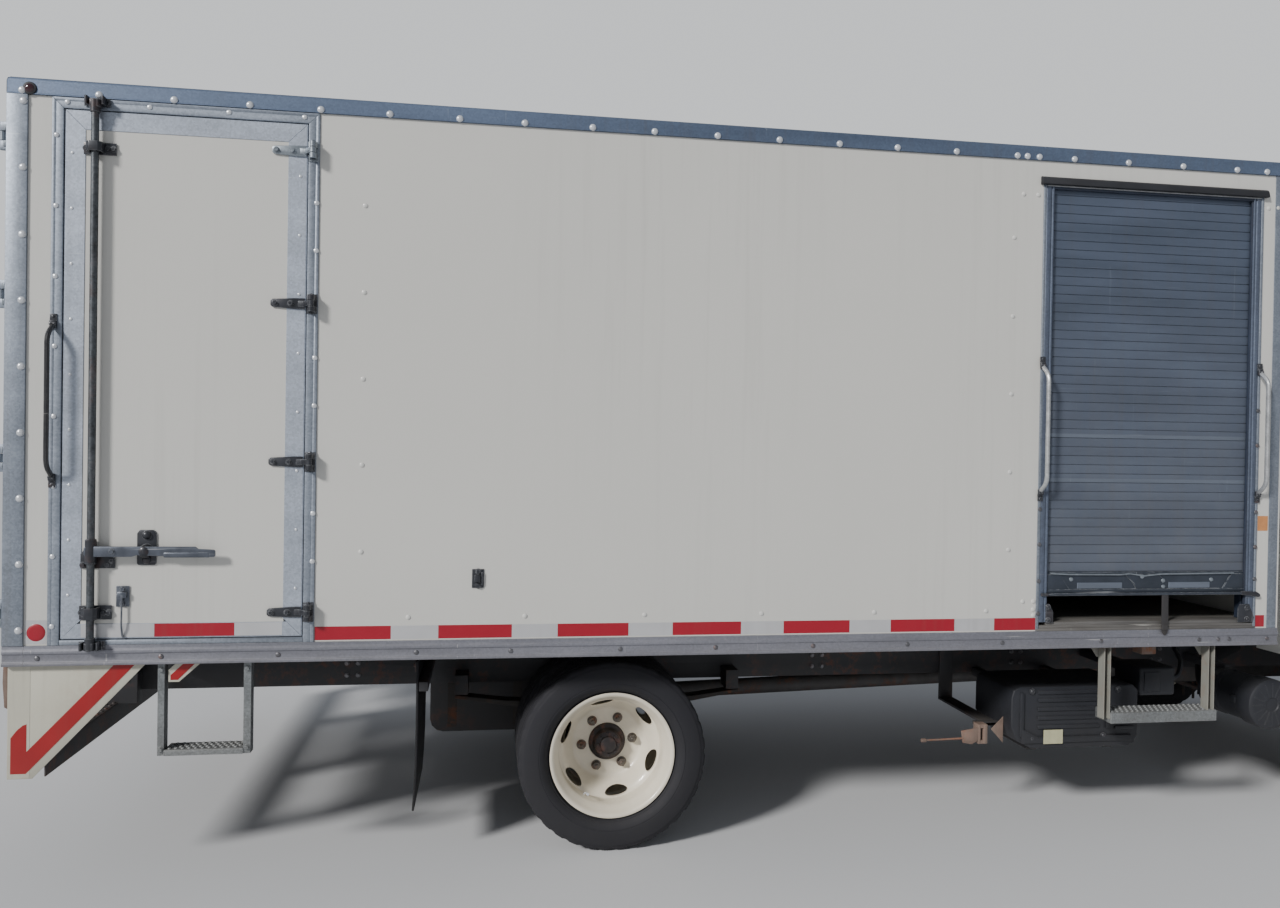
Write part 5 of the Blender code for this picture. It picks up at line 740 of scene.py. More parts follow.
def top_rail(side):
    bm = bmesh.new()
    outline = [(1.15, 2.8993), (1.2199, 2.8993), (1.2199, 2.903), (1.2186, 2.9042), (1.2186, 2.944), (1.217, 2.952),
            (1.213, 2.958), (1.206, 2.9612), (1.15, 2.9618), (1.15, 2.956), (1.2, 2.955), (1.208, 2.948),
            (1.208, 2.907), (1.15, 2.907)]
    points = [(side * y, z) for y, z in outline]
    ends = []
    for x, inward in ((BODY_BACK, 1), (BODY_FRONT, -1)):
        ends.append([(x + inward * (1.2199 - abs(y) + 0.0004), y, z) for y, z in points])
    strut(bm, ends[0], ends[1], 0.0006, 1)
    return bm


def cross_rail(x, inward):
    """Roof rail across the body, mitred into the side rails."""
    bm = bmesh.new()
    outline = [(0.0001, 2.8993), (0.0001, 2.944), (0.003, 2.955), (0.011, 2.9612), (0.065, 2.9618), (0.065, 2.956),
            (0.012, 2.955), (0.012, 2.8993)]
    ends = []
    for side in (RIGHT, LEFT):
        ends.append([(x + inward * a, side * (1.2195 - a), z) for a, z in outline])
    strut(bm, ends[0], ends[1], 0.0006, 1)
    return bm


def roof():
    rails = bmesh.new()
    for part in (top_rail(RIGHT), top_rail(LEFT), cross_rail(BODY_BACK, 1), cross_rail(BODY_FRONT, -1)):
        merge(rails, part)
    piece("roof_rails", rails, TOP_RAIL_SKY_REFLECTION)
    skin = bmesh.new()
    rows = 12
    for low, high in zip(spread(-3.495, 1.545, 1.26), spread(-3.495, 1.545, 1.26)[1:]):
        upper, lower = [], []
        for step in range(rows + 1):
            y = -1.152 + 2.304 * step / rows
            rise = 0.0065 * (1 - (y / 1.152) ** 2)
            upper.append((y, 2.9535 + rise))
            lower.append((y, 2.9005))
        slab(skin, upper + lower[::-1], "X", low, high + 0.0002)
        if high < 1.5:
            lap = [(y, z + 0.0011) for y, z in upper] + [(y, z - 0.001) for y, z in upper[::-1]]
            slab(skin, lap, "X", high - 0.018, high + 0.018)
    piece("roof_skin", skin, ROOF_SKIN, stands_for=("roof",))
    studs = bmesh.new()
    for seam in spread(-3.495, 1.545, 1.26)[1:-1]:
        for y in spread(-1.1, 1.1, 0.11):
            for shift in (-0.011, 0.011):
                stamp(studs, SCREW_HEAD, [(seam + shift, y, 2.9522 + 0.0065 * (1 - (y / 1.152) ** 2))], (0, 0, 1))
    piece("roof_studs", studs, RIVET)


def foot_rail(label, side):
    bm = bmesh.new()
    outline = [(1.165, 0.8441), (1.2185, 0.8441), (1.2199, 0.8455), (1.2199, 0.8552), (1.2186, 0.8566),
            (1.2158, 0.858), (1.2152, 0.86), (1.2152, 0.8838), (1.2158, 0.8858), (1.2186, 0.8874), (1.2196, 0.889),
            (1.2196, 0.899), (1.2186, 0.901), (1.216, 0.903), (1.2154, 0.905), (1.2154, 0.9175), (1.165, 0.9175)]
    for x0, x1 in ((BODY_BACK + 0.0725, BODY_FRONT - 0.0003), (BODY_BACK, BODY_BACK + 0.0718)):
        slab(bm, [(side * y, z) for y, z in outline], "X", x0, x1, 0.0005, 1)
    piece(f"bottom_rail_{label}_profile", bm, FLOOR_RAIL, stands_for=(f"bottom_rail_{label}",))


def rails_hardware():
    """Rivets and bolts along the rails and down the posts."""
    studs, bolts = bmesh.new(), bmesh.new()
    rear_post = (2.874, 2.637, 2.397, 2.161, 1.924, 1.686, 1.45, 1.212, 0.974)
    stamp(studs, BIG_RIVET, [(x, -1.2186, 2.912) for x in TOP_RIVETS])
    stamp(studs, BIG_RIVET, [(-3.497, -1.2198, z) for z in rear_post])
    stamp(studs, BIG_RIVET, [(x, 1.2186, 2.912) for x in spread(-3.502, 1.503, 0.256)], (0, 1, 0))
    stamp(studs, BIG_RIVET, [(-3.497, 1.2198, z) for z in rear_post], (0, 1, 0))
    for x, way in ((BODY_BACK + 0.0001, -1), (BODY_FRONT - 0.0001, 1)):
        stamp(studs, BIG_RIVET, [(x, y, 2.915) for y in spread(-1.16, 1.16, 0.29)], (way, 0, 0))
    stamp(bolts, RIVET_HEAD, [(x, -1.2152, 0.872) for x in FOOT_BOLTS])
    stamp(bolts, RIVET_HEAD, [(x, 1.2152, 0.872) for x in FOOT_BOLTS], (0, 1, 0))
    piece("rail_rivets", studs, RIVET)
    piece("foot_bolts", bolts, BOLT)


def corner_posts():
    """Front corner angles with their rivets."""
    bm, studs = bmesh.new(), bmesh.new()
    for side in (RIGHT, LEFT):
        outline = [(1.552, 1.2122), (1.5525, 1.2142), (1.592, 1.2145), (1.6005, 1.2115), (1.605, 1.206),
                (1.6072, 1.198), (1.6075, 1.15), (1.6062, 1.1495), (1.6062, 1.2), (1.6, 1.208), (1.59, 1.2122)]
        slab(bm, [(x, side * y) for x, y in outline], "Z", 0.9185, 2.8985, 0.0003, 1)
        heights = spread(1.02, 2.84, 0.26)
        stamp(studs, RIVET_HEAD, [(1.6074, side * 1.175, z) for z in heights], (1, 0, 0))
    piece("front_corner_posts", bm, DULL_RAIL)
    for seam in (-0.61, 0.61):
        stamp(studs, RIVET_HEAD, [(1.6061, seam, z) for z in spread(1.02, 2.84, 0.26)], (1, 0, 0))
    piece("front_wall_rivets", studs, RIVET)


# Walls


def wall_rivets():
    right, left = [], []
    for x, heights in ((-2.308, (2.564, 2.237, 1.91, 1.585, 1.256)), (0.327, (2.571, 2.242, 1.916, 1.589, 1.262))):
        right += [(x, FACE, z) for z in heights]
        left += [(x, -FACE, z) for z in heights]
    right += [(x, FACE, 1.006) for x in (-2.13, -1.687, -1.216, -0.738, -0.26, 0.232)]
    right += [(0.396, FACE, 1.044), (0.444, FACE, 1.044), (0.444, FACE, 1.01), (0.445, FACE, 0.985)]
    right += [(0.432, FACE, 2.755), (0.366, FACE, 2.755), (1.52, FACE, 2.756), (1.565, FACE, 2.76)]
    left += [(x, -FACE, 1.006) for x in spread(-3.3, 1.44, 0.474)]
    left += [(x, -FACE, z) for x in (-3.42, 1.52) for z in spread(1.2, 2.76, 0.26)]
    studs = bmesh.new()
    stamp(studs, RIVET_HEAD, right)
    stamp(studs, RIVET_HEAD, left, (0, 1, 0))
    piece("wall_rivets", studs, WALL_RIVET)


def tape_strip(bm, start, end, low, high, face, side=RIGHT):
    y0, y1 = sorted((side * abs(face), side * (abs(face) + 0.0004)))
    box(bm, (start, y0, low), (end, y1, high))


def tapes():
    """Red and white reflecting tape, red pieces at the standard pitch."""
    red, white = bmesh.new(), bmesh.new()
    low, high = 0.9235, 0.9745
    for step in range(7):
        start = -2.4735 + step * 0.4572
        end = min(start + 0.2794, 0.4555)
        tape_strip(red, start, end, low, high, FACE)
        tape_strip(white, end + 0.0006, min(end + 0.1772, 0.4555), low, high, FACE)
    tape_strip(red, 1.4945, 1.5405, low, high, FACE)
    tape_strip(white, 1.5411, 1.5515, low, high, FACE)
    for step in range(11):
        start = -3.452 + step * 0.4572
        tape_strip(red, start, min(start + 0.2794, 1.5515), low, high, FACE, LEFT)
        tape_strip(white, start + 0.28, min(start + 0.4566, 1.5515), low, high, FACE, LEFT)
    piece("red_tape", red, RED_TAPE)
    piece("white_tape", white, WHITE_TAPE)
    red, white = bmesh.new(), bmesh.new()
    tape_strip(red, -3.039, -2.76, 0.9455, 0.9935, -1.2141)
    tape_strip(white, -3.29, -3.0396, 0.9455, 0.9935, -1.2141)
    tape_strip(white, -2.7594, -2.59, 0.9455, 0.9935, -1.2141)
    piece("door_red_tape", red, RED_TAPE, "side_door")
    piece("door_white_tape", white, WHITE_TAPE, "side_door")


# Hinged side door

HINGES = (1.031, 1.594, 2.185, 2.753)


def side_frame():
    low, high = (-3.404, 0.918), (-2.475, 2.8986)
    section = [(0.0, WALL_INSIDE), (0.0, -1.212), (0.0006, -1.2166), (0.0016, -1.217), (0.013, -1.217),
            (0.0142, -1.216), (0.0156, -1.217), (0.038, -1.217), (0.0402, -1.216), (0.0408, -1.214),
            (0.0408, WALL_INSIDE)]
    bm = bmesh.new()
    for side in ("rear", "front"):
        frame_member(bm, section, low, high, side, (0, 1))
    frame_member(bm, section, low, high, "head", (1, 1))
    sill = [(0.0, WALL_INSIDE), (0.0, -1.215), (0.0015, -1.2166), (0.017, -1.2166), (0.0188, -1.214),
            (0.0188, WALL_INSIDE)]
    frame_member(bm, sill, (low[0] + 0.041, low[1]), (high[0] - 0.041, high[1]), "foot", (0, 0))
    piece("side_frame_members", bm, DULL_RAIL, stands_for=("side_door_frame",))
    studs = bmesh.new()
    stamp(studs, RIVET_HEAD, [(-3.387, PROUD, z) for z in (2.76, 2.506, 2.252, 2.0, 1.747, 1.495, 1.24, 0.987)])
    stamp(studs, RIVET_HEAD, [(-2.484, PROUD, z) for z in (2.563, 2.385, 1.984, 1.805, 1.401, 1.221)])
    stamp(studs, RIVET_HEAD, [(x, PROUD, 2.88) for x in (-3.352, -3.074, -2.799, -2.531)])
    piece("side_frame_rivets", studs, RIVET)
    lining = bmesh.new()
    inner = [(0.0412, WALL_INSIDE), (0.0412, -1.2085), (0.044, -1.2095), (0.045, -1.206), (0.045, WALL_INSIDE)]
    for side in ("rear", "front", "head"):
        frame_member(lining, inner, low, high, side, (1, 1))
    piece("side_frame_seal", lining, SEAL)


def hinge_plates():
    """Fixed halves of the four hinges: a plate on the frame and two knuckles round the pin."""
    bright, black = bmesh.new(), bmesh.new()
    for height in HINGES:
        bm = bright if height > 2.5 else black
        box(bm, (-2.515, -1.2212, height - 0.037), (-2.4765, -1.2171, height + 0.037), 0.0012)
        for low, high in ((height + 0.0113, height + 0.0312), (height - 0.0312, height - 0.0113)):
            rod(bm, (SIDE_PIN_X, SIDE_PIN_Y, low), (SIDE_PIN_X, SIDE_PIN_Y, high), 0.0118, 20, 0.0012)
            slab(bm, [(-2.507, -1.246), (-2.484, -1.246), (-2.48, -1.22), (-2.511, -1.22)], "Z", low, high, 0.001)
        rod(bm, (SIDE_PIN_X, SIDE_PIN_Y, height + 0.0312), (SIDE_PIN_X, SIDE_PIN_Y, height + 0.035), 0.008, 16,
                0.0016)
        stamp(bm, SCREW_HEAD, [(SIDE_PIN_X, -1.2212, height + 0.0335), (SIDE_PIN_X, -1.2212, height - 0.0335)])
    piece("hinge_plate_top", bright, HINGE_STEEL)
    piece("hinge_plates", black, LOCK_BLACK)


def grab_handle(label, x, low, high, surface, bracket, body="chassis"):
    """Bent tube on two screwed brackets."""
    bar, feet = bmesh.new(), bmesh.new()
    path = bent([(x, -1.2175, low), (x, -1.269, low + 0.04), (x, -1.269, high - 0.04), (x, -1.2175, high)], 0.04, 7)
    tube(bar, path, 0.009, 16)
    piece(f"{label}_tube", bar, surface, body, slot="castings")
    for height, way in ((low, -1), (high, 1)):
        box(feet, (x - 0.012, -1.2215, height - 0.016 + way * 0.022),
                (x + 0.012, -1.2172, height + 0.016 + way * 0.022), 0.0014)
        box(feet, (x - 0.012, -1.229, height - 0.014), (x + 0.012, -1.2172, height + 0.014), 0.004, 3)
        stamp(feet, SCREW_HEAD, [(x, -1.2215, height + way * 0.028)])
        stamp(feet, SCREW_HEAD, [(x + 0.0062, -1.229, height), (x - 0.0062, -1.229, height)])
    piece(f"{label}_brackets", feet, bracket, body, slot="castings")


def side_keepers():
    """Forks above and below the lock rod, screwed to the frame."""
    bm = bmesh.new()
    for low, high in ((2.869, 2.8988), (0.903, 0.9328)):
        for near, far in ((-0.0335, -0.0236), (0.0236, 0.0335)):
            outline = [(-3.25 + near, -1.2207), (-3.25 + far, -1.2207), (-3.25 + far, -1.252),
                    (-3.25 + (near + far) / 2, -1.2558), (-3.25 + near, -1.252)]
            slab(bm, outline, "Z", low, high, 0.0012)
        box(bm, (-3.294, -1.224, low), (-3.206, -1.2206, high), 0.001)
        stamp(bm, SCREW_HEAD, [(-3.2885, -1.224, (low + high) / 2), (-3.2115, -1.224, (low + high) / 2)])
    piece("lock_keepers", bm, LOCK_BLACK)


def door_leaf():
    low, high = (-3.357, 0.943), (-2.522, 2.852)
    panel = bmesh.new()
    box(panel, (low[0] + 0.064, -1.2118, low[1] + 0.05), (high[0] - 0.064, -1.148, high[1] - 0.064), 0.0005, 1)
    piece("side_door_panel", panel, PANEL, "side_door", ("side_door",))
    inner = bmesh.new()
    box(inner, (low[0] + 0.012, -1.2, low[1] + 0.012), (high[0] - 0.012, -1.1472, high[1] - 0.012), 0.006, 2)
    piece("side_door_core", inner, PANEL, "side_door")
    border = bmesh.new()
    section = [(0.0002, -1.156), (0.0002, -1.2141), (0.066, -1.2141), (0.066, -1.156)]
    for side in ("rear", "front"):
        frame_member(border, section, low, high, side, (1, 1))
    frame_member(border, section, low, high, "head", (1, 1))
    foot = [(a * 0.79 if a > 0.02 else a, y) for a, y in section]
    frame_member(border, foot, (low[0], low[1]), high, "foot", (1, 1))
    piece("side_door_border", border, RAIL, "side_door")
    studs = bmesh.new()
    stamp(studs, SCREW_HEAD, [(-3.335, -1.2141, z) for z in spread(1.1, 2.7, 0.2)])
    stamp(studs, SCREW_HEAD, [(-2.544, -1.2141, z) for z in spread(1.12, 2.66, 0.22)])
    piece("side_door_rivets", studs, RIVET, "side_door")
    seal = bmesh.new()
    edge = [(-0.003, -1.206), (-0.003, -1.2118), (-0.0016, -1.213), (0.0004, -1.213), (0.0004, -1.206)]
    for side in ("rear", "front", "head", "foot"):
        frame_member(seal, edge, low, high, side, (1, 1), 0.0)
    piece("side_door_seal", seal, RAIL, "side_door")


def hinge_straps():
    """Moving halves: a tapered strap on the leaf, and the middle knuckle."""
    bright, black = bmesh.new(), bmesh.new()
    for height in HINGES:
        bm = bright if height > 2.5 else black
        outline = [(-2.6455, height - 0.008), (-2.639, height - 0.015), (-2.59, height - 0.018),
                (-2.556, height - 0.0205), (-2.5225, height - 0.0205), (-2.5225, height + 0.0205),
                (-2.556, height + 0.0205), (-2.59, height + 0.018), (-2.639, height + 0.015),
                (-2.6455, height + 0.008)]
        slab(bm, outline, "Y", -1.2196, -1.2142, 0.0012)
        rod(bm, (SIDE_PIN_X, SIDE_PIN_Y, height - 0.01), (SIDE_PIN_X, SIDE_PIN_Y, height + 0.01), 0.0118, 20,
                0.0012)
        knee = [(SIDE_PIN_X, -1.2575), (-2.488, -1.255), (-2.486, -1.248), (-2.5, -1.237), (-2.524, -1.214),
                (-2.546, -1.214), (-2.546, -1.2198), (-2.529, -1.2198), (-2.506, -1.247)]
        slab(bm, knee, "Z", height - 0.01, height + 0.01, 0.0008)
        stamp(bm, BOLT_HEAD, [(-2.63, -1.2196, height), (-2.573, -1.2196, height)])
    piece("hinge_strap_top", bright, HINGE_STEEL, "side_door")
    piece("hinge_straps", black, LOCK_BLACK, "side_door")


def lock_gear():
    bar = bmesh.new()
    rod(bar, (-3.25, -1.2398, 0.902), (-3.25, -1.2398, 2.8868), 0.0132, 28, 0.0014)
    piece("lock_rod", bar, ROD, "side_door", ("side_door_lock",))
    black = bmesh.new()
    for low, high, up in ((0.9035, 0.9295, 1), (2.861, 2.8865, -1)):
        outline = [(-3.264, -1.255), (-3.236, -1.255), (-3.229, -1.244), (-3.2285, -1.23), (-3.234, -1.225),
                (-3.266, -1.225), (-3.2715, -1.23), (-3.271, -1.244)]
        slab(black, outline, "Z", low, high, 0.0018)
        rod(black, (-3.25, -1.2398, (low if up > 0 else high)),
                (-3.25, -1.2398, (low + up * 0.045 if up > 0 else high - 0.045)), 0.0175, 24, 0.002)
    for height, half in ((1.037, 0.026), (2.7185, 0.022)):
        left, right = -3.296, -3.185
        box(black, (left, -1.2186, height - half), (right, -1.2142, height + half), 0.0012)
        saddle = [(-3.279, -1.218), (-3.271, -1.218), (-3.269, -1.248), (-3.26, -1.256), (-3.24, -1.256),
                (-3.231, -1.248), (-3.229, -1.218), (-3.221, -1.218), (-3.223, -1.25), (-3.235, -1.2598),
                (-3.265, -1.2598), (-3.277, -1.25)]
        slab(black, saddle, "Z", height - half * 0.8, height + half * 0.8, 0.001)
        stamp(black, BOLT_HEAD, [(-3.288, -1.2186, height), (-3.213, -1.2186, height), (-3.1945, -1.2186, height)])
    bracket = [(-3.293, 1.198), (-3.175, 1.198), (-3.175, 1.225), (-3.186, 1.27), (-3.278, 1.27), (-3.293, 1.25)]
    slab(black, bracket, "Y", -1.219, -1.2142, 0.0012)
    stamp(black, BOLT_HEAD, [(-3.284, -1.219, 1.21), (-3.2, -1.219, 1.21), (-3.185, -1.219, 1.226)])
    rod(black, (-3.25, -1.2398, 1.216), (-3.25, -1.2398, 1.306), 0.019, 28, 0.0022)
    hasp = [(-3.101, 1.215), (-3.096, 1.209), (-3.04, 1.209), (-3.034, 1.215), (-3.034, 1.326), (-3.043, 1.338),
            (-3.092, 1.338), (-3.101, 1.326)]
    slab(black, hasp, "Y", -1.2178, -1.2142, 0.0012)
    for height in (1.319, 1.23):
        turned(black, [(0, 0.013), (0.006, 0.0125), (0.012, 0.0095), (0.0155, 0.004), (0.0165, 0)],
                (-3.067, -1.2178, height), (0, -1, 0), 24)
    turned(black, [(0, 0.042), (0.008, 0.0418), (0.016, 0.0392), (0.0215, 0.034), (0.024, 0.026), (0.0245, 0)],
            (-3.067, -1.215, 1.262), (0, -1, 0), 32)
    piece("lock_castings", black, LOCK_BLACK, "side_door")
    lever = bmesh.new()
    outline = [(-3.27, 1.25), (-3.264, 1.243), (-3.11, 1.243), (-3.09, 1.249), (-2.97, 1.244), (-2.825, 1.242),
            (-2.8205, 1.246), (-2.8205, 1.264), (-2.826, 1.269), (-2.88, 1.272), (-2.89, 1.28), (-3.264, 1.281),
            (-3.27, 1.275)]
    slab(lever, outline, "Y", -1.2528, -1.244, 0.0022, 3)
    box(lever, (-3.0, -1.2545, 1.24), (-2.84, -1.2425, 1.26), 0.005, 3)
    stamp(lever, BOLT_HEAD, [(-3.175, -1.2528, 1.262)])
    piece("lock_lever", lever, LOCK_STEEL, "side_door")
    hook = bmesh.new()
    box(hook, (-3.171, -1.2168, 1.057), (-3.125, -1.2142, 1.133), 0.001)
    box(hook, (-3.164, -1.23, 1.09), (-3.132, -1.216, 1.112), 0.003)
    stamp(hook, BOLT_HEAD, [(-3.148, -1.2168, 1.122), (-3.148, -1.2168, 1.068)])
    tube(hook, bent([(-3.148, -1.227, 1.1), (-3.148, -1.229, 0.99), (-3.148, -1.22, 0.955), (-3.144, -1.22, 0.943)],
            0.01, 5), 0.0035, 12)
    piece("hook_plate", hook, LOCK_STEEL, "side_door")


def hold_back():
    bm = bmesh.new()
    box(bm, (-1.892, -1.2158, 1.117), (-1.846, -1.2121, 1.19), 0.0012)
    box(bm, (-1.883, -1.229, 1.14), (-1.86, -1.215, 1.168), 0.004, 3)
    box(bm, (-1.857, -1.223, 1.13), (-1.85, -1.215, 1.178), 0.002)
    stamp(bm, BOLT_HEAD, [(-1.869, -1.2158, 1.181), (-1.869, -1.2158, 1.126)])
    piece("hold_back_plate", bm, LOCK_BLACK)


def side_lamps():
    disc, ring = bmesh.new(), bmesh.new()
    turned(disc, [(0, 0.0032), (0.02, 0.003), (0.029, 0.002), (0.0325, 0)], (-3.441, -1.2121, 0.965), (0, -1, 0),
            48)
    piece("rear_reflector_right", disc, RED_TAPE)
    box(ring, (-3.479, -1.2126, 0.924), (-3.4075, -1.2119, 1.01), 0.0002, 1)
    piece("reflector_backing", ring, WHITE_TAPE)
    disc = bmesh.new()
    turned(disc, [(0, 0.0032), (0.02, 0.003), (0.029, 0.002), (0.0325, 0)], (-3.441, 1.2121, 0.985), (0, 1, 0), 48)
    piece("rear_reflector_left", disc, RED_TAPE)
    for label, side in (("right", RIGHT), ("left", LEFT)):
        lamp, base = bmesh.new(), bmesh.new()
        turned(lamp, [(0, 0.0125), (0.008, 0.012), (0.015, 0.009), (0.0185, 0.004), (0.019, 0.002)],
                (-3.477, side * 1.216, 2.92), (0, side, 0), 32)
        piece(f"rear_marker_{label}", lamp, DARK_LAMP, slot="body_rails")
        turned(base, [(0, 0.005), (0.019, 0.005), (0.0225, 0.0035), (0.0235, 0)], (-3.477, side * 1.2186, 2.92),
                (0, side, 0), 32)
        piece(f"rear_marker_base_{label}", base, SEAL)


# Roller shutter


def roller_frame():
    outer = bmesh.new()
    angle = [(0.0, WALL_INSIDE), (0.0, -1.2155), (0.001, -1.217), (0.0105, -1.217), (0.0118, -1.2158),
            (0.0118, WALL_INSIDE)]
    low, high = (0.456, 0.918), (1.494, 2.834)
    for side in ("rear", "front"):
        frame_member(outer, angle, low, high, side, (0, 0))
    piece("roller_jamb_angles", outer, DULL_RAIL, stands_for=("roller_door_frame",))
    guides, lining = bmesh.new(), bmesh.new()
    for near, far in ((0.4682, 0.504), (1.446, 1.4818)):
        inside = far if near < 1 else near
        outside = near if near < 1 else far
        way = 1 if near < 1 else -1
        lip = [(outside, -1.199), (outside, -1.215), (outside + way * 0.004, -1.2168),
                (outside + way * 0.02, -1.2168), (outside + way * 0.0225, -1.214), (outside + way * 0.026, -1.214),
                (outside + way * 0.0285, -1.2162), (inside - way * 0.0012, -1.2162), (inside, -1.215),
                (inside, -1.199)]
        slab(guides, lip, "Z", 0.9562, 2.7935, 0.0006, 1)
        # Dark boxes deep in each guide and along its inner edge: painted shade in the channel.
        box(lining, (near, -1.185, 0.9562), (far, WALL_INSIDE, 2.7935), 0.001, 1)
        edge = (inside, inside + way * 0.005)
        box(lining, (min(edge), -1.21, 0.99), (max(edge), -1.1995, 2.793), 0.0006, 1)
    piece("roller_guides", guides, GUIDE_BLUE)
    # Dark boxes behind the head and just under the drip cap: painted shadow of the cap.
    box(lining, (0.4682, -1.185, 2.7945), (1.4818, WALL_INSIDE, 2.8335), 0.001, 1)
    box(lining, (0.4682, -1.215, 2.783), (1.4818, -1.201, 2.8), 0.002, 2)
    piece("roller_shade_lining", lining, GUIDE_PAINTED_SHADE)
    cap = bmesh.new()
    outline = [(-1.212, 2.833), (-1.212, 2.799), (-1.217, 2.799), (-1.23, 2.7985), (-1.2328, 2.8), (-1.233, 2.805),
            (-1.229, 2.823), (-1.225, 2.8285), (-1.218, 2.8325)]
    slab(cap, outline, "X", 0.442, 1.508, 0.0012)
    piece("drip_cap", cap, SEAL)
    line = bmesh.new()
    box(line, (0.47, -1.2178, 2.7935), (1.48, -1.215, 2.7985), 0.0008, 1)
    piece("drip_cap_edge", line, HANDLE_ZINC)
    screws = bmesh.new()
    stamp(screws, RIVET_HEAD, [(0.464, PROUD, z) for z in (1.434, 1.285, 1.13, 0.993)])
    stamp(screws, RIVET_HEAD, [(1.486, PROUD, z) for z in (1.87, 1.719, 1.426, 1.274, 1.134)])
    piece("jamb_screws", screws, BOLT)


def roller_sill():
    bm = bmesh.new()
    layers = ((0.456, 1.494, -1.2172, 0.9182, 0.93), (0.47, 1.48, -1.216, 0.9298, 0.942),
            (0.503, 1.447, -1.214, 0.9418, 0.956))
    for x0, x1, y, low, high in layers:
        box(bm, (x0, y, low), (x1, WALL_INSIDE, high), 0.0022, 2)
    box(bm, (0.65, -1.2152, 0.948), (0.97, -1.202, 0.9575), 0.0016, 2)
    piece("roller_sill", bm, SILL_PAINTED_SHADE)
    black = bmesh.new()
    for outline in (((0.4985, 0.953), (0.532, 0.953), (0.532, 1.0), (0.515, 1.034), (0.4985, 1.034)),
            ((1.405, 0.946), (1.476, 0.946), (1.484, 0.965), (1.476, 0.99), (1.46, 1.025), (1.415, 1.025),
            (1.405, 1.01))):
        slab(black, list(outline), "Y", -1.2205, -1.2169, 0.0012)
    stamp(black, BOLT_HEAD, [(0.508, -1.2205, 1.022), (0.508, -1.2205, 0.966), (1.448, -1.2205, 1.008),
            (1.448, -1.2205, 0.96)])
    piece("roller_gussets", black, LOCK_BLACK)


def slat_line(low, high, shift=0.0):
    """Face of the curtain from foot to head: a shallow swell on each slat and a lapped joint."""
    line = []
    count = int((high - low) / 0.038)
    for slat in range(count):
        foot = low + slat * 0.038
        for rise, out in ((0.0, -0.0034), (0.0018, -0.0034), (0.0026, -0.0003), (0.006, 0.0), (0.02, 0.0003),
                (0.034, 0.0), (0.037, -0.0006)):
            line.append((-1.1968 - out - shift, foot + rise))
    return line


def shutter():
    bm = bmesh.new()
    line = slat_line(1.167, 2.8215)
    outline = [(-1.1862, 1.16), (-1.195, 1.16)] + line + [(-1.195, 2.8215), (-1.1862, 2.8215)]
    slab(bm, outline, "X", 0.469, 1.481)
    piece("shutter_curtain", bm, SLAT, stands_for=("roller_shutter",), smooth=50)
    light = bmesh.new()
    for foot in (1.167 + 0.038 * 10, 1.167 + 0.038 * 15):
        strip = slat_line(foot, foot + 0.0381, 0.0002)
        low_out = [(-1.194, foot + 0.001), *strip[2:4], (-1.1972, foot + 0.018), (-1.194, foot + 0.019)]
        slab(light, low_out, "X", 0.505, 1.445)
    piece("shutter_light_slats", light, SLAT_LIGHT, smooth=50)
    bar = bmesh.new()
    left, right = 0.5092, 1.4408
    box(bar, (left, -1.203, 1.069), (right, -1.1862, 1.166), 0.001, 1)
    box(bar, (left, -1.2082, 1.074), (right, -1.2, 1.093), 0.002, 2)
    for x0, x1, x2, x3 in ((left, left + 0.06, left + 0.105, left), (right, right - 0.06, right - 0.105, right)):
        slab(bar, [(x0, 1.09), (x2, 1.09), (x1, 1.156), (x3, 1.156)], "Y", -1.2078, -1.2, 0.002)
    slab(bar, [(0.87, 1.156), (0.913, 1.118), (0.925, 1.092), (1.07, 1.092), (1.07, 1.118), (1.03, 1.156)], "Y",
            -1.2078, -1.2, 0.002)
    lip = [(-1.199, 1.0682), (-1.227, 1.0682), (-1.2282, 1.07), (-1.2282, 1.079), (-1.2262, 1.08), (-1.225, 1.0735),
            (-1.199, 1.0745)]
    slab(bar, lip, "X", left, right, 0.0006, 1)
    piece("shutter_bar", bar, SHUTTER_EDGE)
    plates, fold = bmesh.new(), bmesh.new()
    for x0, x1 in ((0.65, 0.86), (0.935, 1.03), (1.08, 1.278)):
        box(plates, (x0, -1.2056, 1.095), (x1, -1.201, 1.121), 0.0015, 1)
    piece("shutter_bar_plates", plates, SLAT_LIGHT)
    crest = [(0.522, 1.164), (0.61, 1.16), (0.85, 1.158), (0.89, 1.162), (0.96, 1.152), (1.04, 1.16), (1.39, 1.163)]
    slab(fold, [(x, z - 0.006) for x, z in crest] + [(x, z) for x, z in reversed(crest)], "Y", -1.212, -1.201,
            0.0012)
    piece("shutter_bar_fold", fold, HINGE_STEEL, slot="shutter_slats")
    studs = bmesh.new()
    stamp(studs, RIVET_HEAD, [(0.622, -1.203, 1.135), (1.286, -1.203, 1.131), (0.951, -1.2078, 1.146),
            (1.051, -1.2078, 1.128), (1.052, -1.2078, 1.102)])
    piece("shutter_bar_studs", studs, HINGE_STEEL, slot="shutter_slats")
    stops = bmesh.new()
    box(stops, (0.474, -1.2262, 1.067), (0.53, -1.2172, 1.08), 0.003, 2)
    slab(stops, [(1.415, 1.067), (1.5, 1.056), (1.508, 1.06), (1.506, 1.07), (1.49, 1.08), (1.415, 1.083)], "Y",
            -1.229, -1.2185, 0.003)
    piece("shutter_stops", stops, LOCK_BLACK)
    strap = bmesh.new()
    outline = [(1.034, 1.07), (1.034, 0.97), (1.0355, 0.948), (1.037, 0.91), (1.044, 0.898), (1.052, 0.8945),
            (1.059, 0.899), (1.065, 0.912), (1.0665, 0.948), (1.066, 0.97), (1.065, 1.07)]
    slab(strap, outline, "Y", -1.2262, -1.2228, 0.001)
    box(strap, (1.036, -1.23, 0.915), (1.064, -1.222, 0.94), 0.003, 2)
    piece("shutter_strap", strap, SEAL, slot="flap_rubber")


